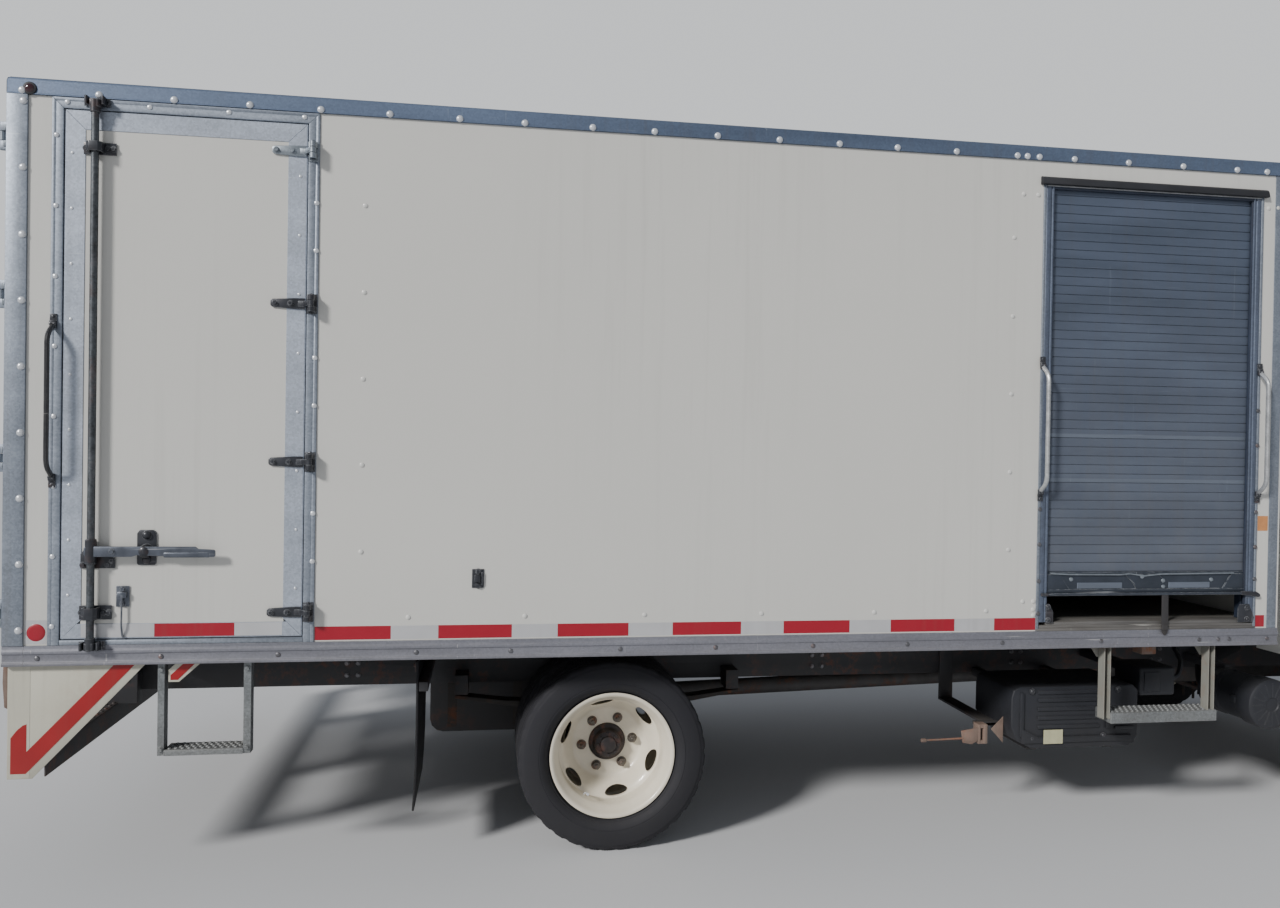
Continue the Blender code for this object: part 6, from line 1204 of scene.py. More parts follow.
def sticker():
    bm = bmesh.new()
    box(bm, (1.499, -1.2126, 1.345), (1.549, -1.2121, 1.41))
    piece("blank_orange_sticker", bm, STICKER)


def body():
    for name in ("wall_right", "wall_right_rear", "wall_left", "front_wall"):
        dress(name, PANEL)
    dress("floor", DECK_PAINTED_SHADE)
    eased("rear_frame", DULL_RAIL, "body_rails", 0.0015)
    roof()
    for label, side in (("right", RIGHT), ("left", LEFT)):
        foot_rail(label, side)
    for make in (rails_hardware, corner_posts, wall_rivets, tapes, side_frame, hinge_plates, side_keepers,
            door_leaf, hinge_straps, lock_gear, hold_back, side_lamps, roller_frame, roller_sill, shutter,
            sticker):
        make()
    grab_handle("rear_handle", -3.391, 1.528, 2.079, HANDLE_BLACK, LOCK_BLACK)
    for label, x in (("shutter_handle_rear", 0.462), ("shutter_handle_front", 1.488)):
        grab_handle(label, x, 1.506, 2.038, HANDLE_ZINC, LOCK_BLACK)


body()


# Wheels

FRONT_X, REAR_X, AXLE_Z = 2.499, -1.311, 0.392
RIM_LINE = [(0.08, 0.0121), (0.136, 0.0121), (0.145, 0.0135), (0.153, 0.018), (0.16, 0.027), (0.169, 0.043),
        (0.181, 0.064), (0.193, 0.081), (0.203, 0.0905), (0.211, 0.095), (0.2165, 0.0985), (0.2177, 0.104),
        (0.218, 0.156), (0.2195, 0.165), (0.224, 0.175), (0.232, 0.188), (0.2385, 0.199), (0.242, 0.207),
        (0.2455, 0.212), (0.251, 0.215), (0.257, 0.216), (0.26, 0.215), (0.2605, 0.2125), (0.259, 0.2105),
        (0.254, 0.209), (0.25, 0.206), (0.2478, 0.202), (0.233, 0.178), (0.227, 0.16), (0.2267, 0.098),
        (0.23, 0.088), (0.247, 0.056), (0.248, 0.051), (0.25, 0.047), (0.256, 0.043), (0.2605, 0.041),
        (0.2605, 0.0385), (0.258, 0.038), (0.25, 0.04), (0.244, 0.044), (0.24, 0.054), (0.23, 0.072),
        (0.22, 0.083), (0.209, 0.082), (0.198, 0.072), (0.185, 0.052), (0.172, 0.0285), (0.16, 0.011),
        (0.15, 0.0035), (0.14, 0.0003), (0.08, 0.0003),]


def ring(bm, loop, place, direction, steps):
    """Spins a closed outline of (radius, height) points that stays clear of the axis."""
    part = bmesh.new()
    line = [part.verts.new((radius, 0, height)) for radius, height in loop]
    edges = [part.edges.new(pair) for pair in zip(line, line[1:] + line[:1])]
    ops.spin(part, geom=line + edges, cent=(0, 0, 0), axis=(0, 0, 1), angle=tau, steps=steps, use_merge=True)
    ops.transform(part, matrix=aim(place, direction), verts=part.verts)
    ops.recalc_face_normals(part, faces=part.faces)
    merge(bm, part)


def holes_for(x, y0, y1):
    """Six oval cutters along the axle."""
    bm = bmesh.new()
    for hole in range(6):
        part = bmesh.new()
        ops.create_cone(part, cap_ends=True, segments=28, radius1=0.018, radius2=0.018, depth=abs(y1 - y0))
        ops.scale(part, vec=(2.75, 1, 1), verts=part.verts)
        stand = Matrix.Translation((x, (y0 + y1) / 2, AXLE_Z)) @ Matrix.Rotation(tau * (hole + 0.83) / 6, 4, "Y")
        stand = stand @ Matrix.Translation((0, 0, 0.195)) @ Matrix.Rotation(pi / 2, 4, "X")
        ops.transform(part, matrix=stand, verts=part.verts)
        merge(bm, part)
    return bm


def dish(name, x, plane, side, ways, body, node):
    """Disc wheels bolted up at a plane. Ways: 1 for a dish that opens outwards, -1 for one that opens inwards."""
    bm = bmesh.new()
    for way in ways:
        ring(bm, RIM_LINE, (x, side * plane, AXLE_Z), (0, side * way, 0), 96)
    reach = sorted((side * (plane + 0.11 * max(ways)), side * (plane + 0.11 * min(ways)))) if len(
            ways) > 1 else sorted((side * (plane + ways[0] * 0.008), side * (plane + ways[0] * 0.112)))
    bm = joined(bm, "DIFFERENCE", holes_for(x, *reach))
    piece(name, bm, WHEEL, body, (node,), 36, 0.0013)


def hub(label, x, plane, side, body):
    out = (0, side, 0)
    place = (x, side * plane, AXLE_Z)
    bm = bmesh.new()
    turned(bm, [(0, 0.0735), (0.028, 0.073), (0.033, 0.07), (0.0345, 0.064), (0.036, 0.061), (0.052, 0.06),
            (0.056, 0.057), (0.058, 0.051), (0.059, 0.036), (0.064, 0.028), (0.072, 0.025), (0.077, 0.022),
            (0.0785, 0.018), (0.0785, 0.011), (0.0785, -0.024), (0, -0.024)], place, out, 48)
    for step in range(8):
        turn = tau * step / 8
        spot = (x + 0.045 * sin(turn), side * (plane + 0.0595), AXLE_Z + 0.045 * cos(turn))
        stamp(bm, HUB_SCREW, [spot], out)
    piece(f"{label}_hub", bm, HUB, body)
    nuts = bmesh.new()
    for step in range(6):
        turn = tau * (step + 0.4) / 6
        spot = (x + 0.111 * sin(turn), side * (plane + 0.012), AXLE_Z + 0.111 * cos(turn))
        stamp(nuts, WHEEL_NUT, [spot], out, turn)
    piece(f"{label}_nuts", nuts, NUT, body)


def make_wheel_nut(bm):
    turned(bm, [(0.011, 0.004), (0.02, 0.003), (0.0215, 0.001), (0.0215, 0)], steps=24)
    head = bmesh.new()
    ops.create_cone(head, cap_ends=True, segments=6, radius1=0.018, radius2=0.0176, depth=0.018,
            matrix=Matrix.Translation((0, 0, 0.012)))
    ease(head, 0.0014, 2)
    merge(bm, head)
    turned(bm, [(0, 0.033), (0.007, 0.033), (0.0088, 0.031), (0.0088, 0.02)], steps=16)


def make_hub_screw(bm):
    head = bmesh.new()
    ops.create_cone(head, cap_ends=True, segments=6, radius1=0.007, radius2=0.0068, depth=0.007,
            matrix=Matrix.Translation((0, 0, 0.0035)))
    ease(head, 0.0007, 1)
    merge(bm, head)


WHEEL_NUT = pattern(make_wheel_nut)
HUB_SCREW = pattern(make_hub_screw)

TYRE_HALF = [(0.392, 0.0), (0.392, 0.0135), (0.382, 0.0148), (0.3815, 0.0212), (0.3918, 0.0225), (0.3916, 0.049),
        (0.3816, 0.0503), (0.3812, 0.0577), (0.391, 0.059), (0.3905, 0.084), (0.389, 0.093), (0.385, 0.0985),
        (0.378, 0.102), (0.37, 0.1038), (0.369, 0.105), (0.366, 0.106), (0.356, 0.1085), (0.342, 0.1112),
        (0.326, 0.1128), (0.312, 0.113), (0.306, 0.1126), (0.305, 0.1112), (0.303, 0.1112), (0.302, 0.1124),
        (0.298, 0.1116), (0.288, 0.1072), (0.279, 0.101), (0.274, 0.095), (0.273, 0.0932), (0.2705, 0.0925),
        (0.268, 0.088), (0.265, 0.079), (0.258, 0.0752), (0.25, 0.0745), (0.2486, 0.073), (0.2484, 0.03),]


def tyre(name, x, y, side, body, node):
    """Ribbed tyre: zigzag grooves round the crown and notches along the shoulders."""
    bm = bmesh.new()
    steps = 216
    loop = TYRE_HALF[1:] + [(radius, -along) for radius, along in TYRE_HALF[:0:-1]]
    part = bmesh.new()
    line = [part.verts.new((radius, 0, height)) for radius, height in loop]
    edges = [part.edges.new(pair) for pair in zip(line, line[1:] + line[:1])]
    ops.spin(part, geom=line + edges, cent=(0, 0, 0), axis=(0, 0, 1), angle=tau, steps=steps, use_merge=True)
    for vert in part.verts:
        radius = hypot(vert.co.x, vert.co.y)
        step = round(atan2(vert.co.y, vert.co.x) / tau * steps) % 6
        along = abs(vert.co.z)
        if 0.01 < along < 0.062 and radius > 0.38:
            vert.co.z += 0.0016 if step < 3 else -0.0016
        if 0.0835 < along < 0.1035 and radius > 0.374 and step in (0, 1):
            factor = (radius - (0.004 if along > 0.09 else 0.0025)) / radius
            vert.co.x *= factor
            vert.co.y *= factor
    ops.transform(part, matrix=aim((x, y, AXLE_Z), (0, side, 0)), verts=part.verts)
    ops.recalc_face_normals(part, faces=part.faces)
    merge(bm, part)
    piece(name, bm, TYRE, body, (node,), 38)


def valve(name, x, plane, side, body, turn, out):
    bm = bmesh.new()
    across, up = sin(turn), cos(turn)
    path = [(x + across * r, side * (plane + a), AXLE_Z + up * r) for r, a in out]
    tube(bm, bent(path, 0.01, 4), 0.0042, 10)
    rod(bm, path[-1], tuple(Vector(path[-1]) + (Vector(path[-1]) - Vector(path[-2])).normalized() * 0.014), 0.0058,
            12, 0.001)
    piece(name, bm, RIVET, body, slot="castings")


def wheels():
    for label, side in (("right", RIGHT), ("left", LEFT)):
        rear = f"rear_wheels_{label}"
        dish(f"rear_rims_{label}_turned", REAR_X, 0.818, side, (1, -1), rear, f"rear_rims_{label}")
        hub(f"rear_{label}", REAR_X, 0.818, side, rear)
        drum = bmesh.new()
        ring(drum, [(0.079, -0.013), (0.15, -0.013), (0.168, -0.018), (0.1775, -0.03), (0.178, -0.09),
                (0.174, -0.094), (0.174, -0.1), (0.178, -0.104), (0.178, -0.136), (0.169, -0.1368), (0.16, -0.08),
                (0.079, -0.07)], (REAR_X, side * 0.818, AXLE_Z), (0, side, 0), 64)
        piece(f"rear_drum_{label}", drum, DRUM, rear)
        tyre(f"rear_tyre_outer_{label}_ribbed", REAR_X, side * 0.945, side, rear, f"rear_tyre_outer_{label}")
        tyre(f"rear_tyre_inner_{label}_ribbed", REAR_X, side * 0.691, side, rear, f"rear_tyre_inner_{label}")
        valve(f"rear_valve_{label}", REAR_X, 0.818, side, rear, radians(210),
                [(0.215, 0.125), (0.202, 0.142), (0.196, 0.172)])
        front = f"front_wheel_{label}"
        dish(f"front_rim_{label}_turned", FRONT_X, 0.9595, side, (-1,), front, f"front_rim_{label}")
        hub(f"front_{label}", FRONT_X, 0.9595, side, front)
        drum = bmesh.new()
        turned(drum, [(0, -0.02), (0.079, -0.02), (0.12, -0.042), (0.165, -0.056), (0.178, -0.065), (0.178, -0.158),
                (0.174, -0.1598), (0.076, -0.152), (0.075, -0.168), (0, -0.168)], (FRONT_X, side * 0.9595, AXLE_Z),
                (0, side, 0), 64)
        piece(f"front_drum_{label}", drum, DRUM, front)
        tyre(f"front_tyre_{label}_ribbed", FRONT_X, side * 0.8325, side, front, f"front_tyre_{label}")
        valve(f"front_valve_{label}", FRONT_X, 0.9595, side, front, radians(30),
                [(0.22, -0.045), (0.219, -0.02), (0.215, -0.002)])


# Under the body


def plain_running_gear():
    """Frame, axles and drive line keep their own shapes, with their edges eased."""
    eased("chassis_frame", CHASSIS, "chassis_paint", 0.0016)
    for node in ("front_axle", "rear_axle"):
        eased(node, SPRING, "chassis_paint", 0.002)
    for node in ("knuckle_left", "knuckle_right", "tie_rod", "propeller_shaft"):
        eased(node, CASTING, "chassis_paint", 0.0014)
    eased("engine_block", CASTING, "castings", 0.006)
    eased("fuel_tank", CHASSIS, "chassis_paint", 0.004)
    bands, bolts = bmesh.new(), bmesh.new()
    for x in (-1.988, -1.682):
        for y in (-0.3404, 0.3396):
            box(bands, (x - 0.021, y, 0.33), (x + 0.021, y + 0.0008, 0.64), 0.0002, 1)
    for x in (-1.95, -1.72):
        turned(bolts, [(0, 0.02), (0.03, 0.019), (0.034, 0.014), (0.034, 0)], (x, 0.2, 0.66), (0, 0, 1), 24)
    piece("tank_bands", bands, SPRING)
    piece("tank_caps", bolts, BLACK)
    leaves = bmesh.new()
    for axle, place, height, reach in ((FRONT_X, 0.39, 0.347, 0.3), (REAR_X, 0.5, 0.45, 0.34)):
        for side in (RIGHT, LEFT):
            y = side * place
            for shift in (-0.052, 0.052):
                path = bent([(axle + shift, y - 0.042, height - 0.165), (axle + shift, y - 0.042, height + 0.062),
                        (axle + shift, y + 0.042, height + 0.062), (axle + shift, y + 0.042, height - 0.165)],
                        0.012, 5)
                tube(leaves, path, 0.008, 10)
            for way in (-1, 1):
                x = axle + way * reach
                box(leaves, (x - 0.014, y - 0.0375, height + 0.002), (x + 0.014, y + 0.0375, height + 0.062), 0.003,
                        2)
    piece("spring_clamps", leaves, SPRING)


def cross_bolts():
    """Bolt heads along the frame rail's web at each crossmember."""
    bm = bmesh.new()
    for share in (0.15, 0.315, 0.475, 0.63, 0.745):
        middle = -3.454 + share * 6.794
        for side in (RIGHT, LEFT):
            for x in (middle - 0.025, middle + 0.025):
                for z in (0.605, 0.66, 0.715):
                    stamp(bm, BOLT_HEAD, [(x, side * 0.425, z)], (0, side, 0))
    piece("frame_bolts", bm, BOLT, slot="chassis_paint")


def mud_flaps():
    for label, side in (("right", RIGHT), ("left", LEFT)):
        bm = bmesh.new()
        line = [(-2.107, 0.803), (-2.107, 0.55), (-2.1085, 0.4), (-2.112, 0.3), (-2.118, 0.206)]
        back = [(x + 0.0085, z) for x, z in line[::-1]]
        y0, y1 = sorted((side * 0.54, side * 1.06))
        slab(bm, line + back, "Y", y0, y1, 0.0015)
        piece(f"mud_flap_{label}_sheet", bm, RUBBER, stands_for=(f"mud_flap_{label}",), slot="flap_rubber")
        arm = bmesh.new()
        y0, y1 = sorted((side * CHASSIS_SIDE, side * 1.06))
        box(arm, (-2.0965, y0, 0.682), (-2.06, y1, 0.72), 0.003)
        box(arm, (-2.112, y0 if side < 0 else side * 0.54, 0.76), (-2.1075, y1 if side > 0 else side * 0.54, 0.8),
                0.0012)
        stamp(arm, BOLT_HEAD, [(-2.112, side * y, 0.78) for y in (0.6, 0.75, 0.9, 1.02)], (-1, 0, 0))
        piece(f"mud_flap_{label}_arm", arm, CHASSIS)


def serrated_tread(bm, x0, x1, y0, y1, low, high):
    """Folded plank: a plain channel with rows of raised teeth and drain holes on top."""
    outline = [(y0, low), (y0, high - 0.003), (y0 + 0.003, high), (y1 - 0.003, high), (y1, high - 0.003), (y1, low),
            (y1 - 0.0035, low), (y1 - 0.0035, high - 0.005), (y0 + 0.004, high - 0.005), (y0 + 0.004, low)]
    slab(bm, outline, "X", x0, x1, 0.0006, 1)
    rows = spread(y0 + 0.018, y1 - 0.018, 0.022)
    for index, y in enumerate(rows):
        shift = 0.012 if index % 2 else 0.0
        for x in spread(x0 + 0.016, x1 - 0.028, 0.024):
            stamp(bm, TOOTH, [(x + shift, y, high)], (0, 0, 1))


def make_tooth(bm):
    turned(bm, [(0.0024, 0.001), (0.003, 0.0038), (0.0046, 0.0042), (0.0072, 0.0012), (0.008, 0)], steps=10)


TOOTH = pattern(make_tooth)


def steps_under_doors():
    tread = bmesh.new()
    serrated_tread(tread, -3.008, -2.729, -1.199, -1.104, 0.499, 0.521)
    piece("rear_side_step_tread", tread, STEP_ZINC, stands_for=("rear_side_step",))
    posts = bmesh.new()
    for x0, x1 in ((-3.032, -3.008), (-2.729, -2.702)):
        channel = [(x0, -1.194), (x1, -1.194), (x1, -1.15), (x1 - 0.003, -1.15), (x1 - 0.003, -1.1905),
                (x0 + 0.003, -1.1905), (x0 + 0.003, -1.15), (x0, -1.15)]
        slab(posts, channel, "Z", 0.499, FLOOR_UNDER, 0.0008, 1)
        stamp(posts, BOLT_HEAD, [((x0 + x1) / 2, -1.194, 0.818), ((x0 + x1) / 2, -1.194, 0.522)])
    piece("rear_side_step_posts", posts, STEP_ZINC)
    tread = bmesh.new()
    serrated_tread(tread, 0.824, 1.329, -1.1995, -1.09, 0.512, 0.558)
    box(tread, (0.8232, -1.199, 0.5125), (0.8262, -1.0905, 0.557), 0.001)
    box(tread, (1.323, -1.199, 0.5125), (1.329, -1.0905, 0.557), 0.002)
    piece("front_side_step_tread", tread, STEP_ZINC, stands_for=("front_side_step",))
    posts = bmesh.new()
    for x0, x1 in ((0.7915, 0.823), (1.289, 1.3205)):
        channel = [(x0, -1.1945), (x0 + 0.004, -1.1945), (x0 + 0.004, -1.155), (x1 - 0.004, -1.155),
                (x1 - 0.004, -1.1945), (x1, -1.1945), (x1, -1.15), (x0, -1.15)]
        slab(posts, channel, "Z", 0.53, FLOOR_UNDER, 0.001, 1)
        stamp(posts, BOLT_HEAD, [((x0 + x1) / 2, -1.155, z) for z in (0.815, 0.7, 0.576)])
        slab(posts, [(x0 - 0.04, 0.84), (x1 + 0.03, 0.84), (x1 + 0.006, 0.79), (x0 - 0.006, 0.79)], "Y", -1.149,
                -1.144, 0.001)
    piece("front_side_step_posts", posts, STEP_CREAM)
    box_bm = bmesh.new()
    box(box_bm, (1.01, -1.135, 0.793), (1.08, -1.07, 0.844), 0.004)
    piece("rusty_sill_bracket", box_bm, RUSTED)
    white, red = bmesh.new(), bmesh.new()
    slab(white, [(-2.998, 0.77), (-2.96, 0.77), (-2.88, FLOOR_UNDER), (-2.968, FLOOR_UNDER), (-2.998, 0.815)], "Y",
            -1.185, -1.18, 0.001, 1)
    slab(red, [(-2.99, 0.778), (-2.964, 0.778), (-2.899, 0.843), (-2.94, 0.843), (-2.99, 0.796)], "Y", -1.1862,
            -1.1848, 0.0004, 1)
    piece("stripe_tag_plate", white, PLATE_WHITE)
    piece("stripe_tag_band", red, PLATE_RED)


PLATE = [(-3.542, 0.43), (-3.457, 0.43), (-3.072, 0.8435), (-3.542, 0.8435)]
STRIPE = [(-3.53, 0.449), (-3.478, 0.449), (-3.108, 0.8433), (-3.18, 0.8433), (-3.4764, 0.529), (-3.4764, 0.63),
        (-3.49, 0.625), (-3.509, 0.608), (-3.53, 0.58)]


def rear_step():
    plates, stripes = bmesh.new(), bmesh.new()
    for side in (RIGHT, LEFT):
        y0, y1 = sorted((side * 1.1902, side * 1.195))
        slab(plates, PLATE, "Y", y0, y1, 0.0012)
        y0, y1 = sorted((side * 1.1945, side * 1.1958))
        slab(plates, [(-3.54, 0.432), (-3.466, 0.432), (-3.466, 0.843), (-3.54, 0.843)], "Y", y0, y1, 0.0004, 1)
        for near, far in ((1.1957, 1.1961), (1.1898, 1.1904)):
            y0, y1 = sorted((side * near, side * far))
            slab(stripes, STRIPE, "Y", y0, y1)
    piece("striped_plates", plates, PLATE_WHITE, stands_for=("rear_step_bumper",), slot="chassis_paint")
    piece("plate_stripes", stripes, PLATE_RED, slot="chassis_paint")
    bar = bmesh.new()
    section = [(-3.537, 0.435), (-3.537, 0.516), (-3.534, 0.519), (-3.416, 0.519), (-3.413, 0.516), (-3.413, 0.435),
            (-3.419, 0.435), (-3.419, 0.512), (-3.531, 0.512), (-3.531, 0.435)]
    slab(bar, [(x, z) for x, z in section], "Y", -1.189, 1.189, 0.001, 1)
    for index, x in enumerate(spread(-3.52, -3.43, 0.022)):
        for y in spread(-1.16, 1.16, 0.045):
            stamp(bar, TOOTH, [(x, y + (0.02 if index % 2 else 0.0), 0.519)], (0, 0, 1))
    for side in (RIGHT, LEFT):
        y0, y1 = sorted((side * CHASSIS_SIDE, side * 0.484))
        box(bar, (-3.482, y0, 0.515), (-3.336, y1, 0.755), 0.003)
        stamp(bar, BOLT_HEAD, [(x, side * 0.484, z) for x in (-3.43, -3.38) for z in (0.62, 0.7)], (0, side, 0))
    piece("rear_step_bar", bar, CHASSIS)
    tape_red, tape_white = bmesh.new(), bmesh.new()
    for step in range(5):
        start = -1.16 + step * 0.4572
        box(tape_red, (-3.5374, start, 0.452), (-3.5369, min(start + 0.2794, 1.16), 0.503))
        box(tape_white, (-3.5374, start + 0.28, 0.452), (-3.5369, min(start + 0.4566, 1.16), 0.503))
    piece("step_red_tape", tape_red, RED_TAPE, slot="chassis_paint")
    piece("step_white_tape", tape_white, WHITE_TAPE, slot="chassis_paint")
    posts = bmesh.new()
    for side in (RIGHT, LEFT):
        y0, y1 = sorted((side * 1.148, side * 1.189))
        slab(posts, [(-3.556, 0.69), (-3.544, 0.684), (-3.544, FLOOR_UNDER), (-3.56, FLOOR_UNDER), (-3.562, 0.78)],
                "Y", y0, y1, 0.002)
        slab(posts, [(-3.544, 0.8), (-3.42, 0.82), (-3.42, FLOOR_UNDER), (-3.544, FLOOR_UNDER)], "Y", y0, y1, 0.002)
    piece("rusty_rear_posts", posts, RUSTED, slot="chassis_paint")


def battery_cover():
    bm = bmesh.new()
    low, high = (0.484, 0.346), (1.102, 0.624)
    outline = [(low[0] + 0.1, low[1]), (high[0] - 0.05, low[1]), (high[0] - 0.015, low[1] + 0.015),
            (high[0], low[1] + 0.05), (high[0], high[1] - 0.025), (high[0] - 0.025, high[1]),
            (low[0] + 0.04, high[1]), (low[0] + 0.01, high[1] - 0.015), (low[0], high[1] - 0.05),
            (low[0], low[1] + 0.1), (low[0] + 0.03, low[1] + 0.035)]
    slab(bm, outline, "Y", -0.99, -0.662, 0.006, 3)
    slab(bm, [(0.53, 0.372), (1.068, 0.372), (1.068, 0.4), (0.61, 0.4), (0.53, 0.44)], "Y", -0.999, -0.988, 0.004,
            2)
    for z in (0.435, 0.475, 0.515, 0.555, 0.59):
        box(bm, (0.608, -0.9975, z), (0.91, -0.988, z + 0.017), 0.004, 2)
    box(bm, (0.522, -0.9985, 0.4), (0.542, -0.988, 0.6), 0.004, 2)
    box(bm, (0.94, -0.9985, 0.43), (0.958, -0.988, 0.6), 0.004, 2)
    box(bm, (0.985, -0.9985, 0.425), (1.08, -0.988, 0.44), 0.004, 2)
    piece("battery_cover", bm, BOX_BLACK, stands_for=("battery_box",))
    knobs = bmesh.new()
    for x, z in ((0.58, 0.605), (0.58, 0.395), (1.0, 0.605), (0.93, 0.398)):
        turned(knobs, [(0, 0.009), (0.006, 0.0085), (0.008, 0.006), (0.013, 0.005), (0.015, 0.002), (0.015, 0)],
                (x, -0.991, z), (0, -1, 0), 20)
    piece("battery_knobs", knobs, LOCK_BLACK)
    label = bmesh.new()
    box(label, (0.635, -0.9998, 0.369), (0.728, -0.9986, 0.432), 0.0003, 1)
    piece("blank_battery_label", label, LABEL)
    arms = bmesh.new()
    for x in (0.607, 0.979):
        box(arms, (x - 0.02, -0.66, 0.545), (x + 0.02, -CHASSIS_SIDE, 0.585), 0.002)
        box(arms, (x - 0.022, -0.68, 0.33), (x + 0.022, -0.95, 0.3452), 0.002)
    piece("battery_arms", arms, CHASSIS)
    module = bmesh.new()
    box(module, (1.14, -0.95, 0.56), (1.32, -0.76, 0.69), 0.012, 3)
    box(module, (1.16, -0.956, 0.58), (1.24, -0.948, 0.67), 0.004)
    box(module, (1.18, -0.77, 0.63), (1.24, -CHASSIS_SIDE, 0.67), 0.003)
    tube(module, bent([(1.31, -0.9, 0.63), (1.37, -0.9, 0.63), (1.42, -0.86, 0.69), (1.5, -0.7, 0.73),
            (1.62, -0.47, 0.73)], 0.04, 6), 0.011, 12)
    piece("valve_module", module, BOX_BLACK)
    bracket = bmesh.new()
    slab(bracket, [(0.278, 0.418), (0.36, 0.43), (0.36, 0.372), (0.33, 0.356), (0.286, 0.364)], "Y", -0.929, -0.924,
            0.001)
    for x0, x1 in ((0.36, 0.372), (0.386, 0.405)):
        box(bracket, (x0, -0.93, 0.356), (x1, -0.88, 0.444), 0.003, 2)
    for low, high in ((0.356, 0.372), (0.426, 0.444)):
        box(bracket, (0.366, -0.929, low), (0.392, -0.88, high), 0.002, 1)
    tube(bracket, [(0.105, -0.926, 0.38), (0.2, -0.927, 0.382), (0.29, -0.9265, 0.384)], 0.0045, 10)
    rod(bracket, (0.09, -0.926, 0.38), (0.112, -0.926, 0.38), 0.009, 14, 0.0015)
    slab(bracket, [(0.424, 0.42), (0.483, 0.476), (0.483, 0.356)], "Y", -0.923, -0.919, 0.0012)
    arm = bmesh.new()
    box(arm, (0.41, -0.89, 0.428), (0.48, -CHASSIS_SIDE, 0.44), 0.0015)
    box(arm, (0.366, -0.89, 0.428), (0.48, -0.86, 0.444), 0.0015)
    box(arm, (0.41, -0.4375, 0.428), (0.48, -CHASSIS_SIDE, 0.72), 0.0015)
    piece("shield_arm", arm, CHASSIS)
    piece("rusty_shield", bracket, RUSTED, slot="castings")


def air_cleaner():
    bm = bmesh.new()
    place, out = (CLEANER_X, -1.0, CLEANER_Z), (0, 1, 0)
    turned(bm, [(0, 0.008), (0.03, 0.006), (0.034, 0.002), (0.09, 0.002), (0.106, 0.004), (0.115, 0.01),
            (0.1178, 0.02), (0.1178, 0.095), (0.114, 0.101), (0.1085, 0.104), (0.1085, 0.22), (0.106, 0.226),
            (0.1085, 0.232), (0.1085, 0.35), (0.1, 0.359), (0, 0.36)], place, out, 56)
    for step in range(16):
        turn = tau * step / 16
        across, up = sin(turn), cos(turn)
        near = (CLEANER_X + across * 0.036, -0.9965, CLEANER_Z + up * 0.036)
        far = (CLEANER_X + across * 0.1, -0.9955, CLEANER_Z + up * 0.1)
        rod(bm, near, far, 0.0032, 8)
    for x in (-0.112, 0.112):
        box(bm, (CLEANER_X + x - 0.01, -0.91, 0.505), (CLEANER_X + x + 0.01, -0.865, 0.535), 0.003)
    piece("air_cleaner_can", bm, BOX_BLACK, stands_for=("air_cleaner",))
    arm = bmesh.new()
    box(arm, (1.765, -0.72, 0.6), (1.805, -CHASSIS_SIDE, 0.64), 0.002)
    ring(arm, [(0.1092, 0.0), (0.112, 0.0), (0.112, 0.03), (0.1092, 0.03)], (CLEANER_X, -0.74, CLEANER_Z), out, 48)
    piece("air_cleaner_band", arm, CHASSIS)
    hose = bmesh.new()
    path = bent([(CLEANER_X, -0.645, CLEANER_Z), (CLEANER_X, -0.57, CLEANER_Z), (1.84, -0.49, 0.62),
            (2.02, -0.47, 0.69)], 0.06, 8)
    tube(hose, path, 0.045, 24)
    piece("air_hose", hose, RUBBER)


def exhaust():
    bm = bmesh.new()
    place, along = (0.25, 0.66, 0.5), (1, 0, 0)
    turned(bm, [(0, 0.006), (0.06, 0.006), (0.088, 0.01), (0.118, 0.014), (0.1245, 0.02), (0.125, 0.03),
            (0.1235, 0.04), (0.1235, 0.43), (0.125, 0.438), (0.125, 0.462), (0.1235, 0.47), (0.1235, 0.86),
            (0.125, 0.87), (0.1245, 0.88), (0.118, 0.886), (0.088, 0.89), (0.06, 0.894), (0, 0.894)], place, along,
            56)
    for path in ([(0.26, 0.66, 0.5), (0.136, 0.66, 0.5), (0.022, 0.717, 0.5), (-0.092, 0.888, 0.5)],
            [(1.14, 0.66, 0.5), (1.264, 0.66, 0.5), (1.492, 0.539, 0.5), (1.6, 0.539, 0.5)]):
        tube(bm, bent(path, 0.09, 8), 0.0375, 24)
    piece("muffler", bm, MUFFLER, stands_for=("exhaust",))
    arms = bmesh.new()
    for x in (0.43, 0.97):
        box(arms, (x - 0.018, CHASSIS_SIDE, 0.586), (x + 0.018, 0.65, 0.624), 0.002)
        ring(arms, [(0.1252, -0.015), (0.1275, -0.015), (0.1275, 0.015), (0.1252, 0.015)], (x, 0.66, 0.5), along,
                56)
    piece("muffler_bands", arms, CHASSIS)


def lines_and_hoses():
    """Air tank, brake lines and wiring along the frame."""
    bm = bmesh.new()
    turned(bm, [(0, 0.0), (0.06, 0.004), (0.095, 0.022), (0.1, 0.04), (0.1, 0.52), (0.095, 0.538), (0.06, 0.556),
            (0, 0.56)], (-0.5, 0.6, 0.6), (1, 0, 0), 40)
    for x in (-0.38, -0.08):
        box(bm, (x - 0.015, CHASSIS_SIDE, 0.69), (x + 0.015, 0.6, 0.71), 0.002)
    piece("air_tank", bm, CHASSIS)
    pipes = bmesh.new()
    for y, z in ((-0.436, 0.735), (-0.436, 0.715), (0.436, 0.74)):
        tube(pipes, bent([(-2.6, y, z), (-1.9, y, z), (-1.6, y, z - 0.02), (-0.9, y, z - 0.02), (-0.6, y, z),
                (1.95, y, z)], 0.05, 5), 0.006, 8)
    piece("frame_lines", pipes, RUBBER)


def underside():
    plain_running_gear()
    for make in (cross_bolts, mud_flaps, steps_under_doors, rear_step, battery_cover, air_cleaner, exhaust,
            lines_and_hoses):
        make()


wheels()
underside()


# Rear doors, their gear, and the lamps under the floor


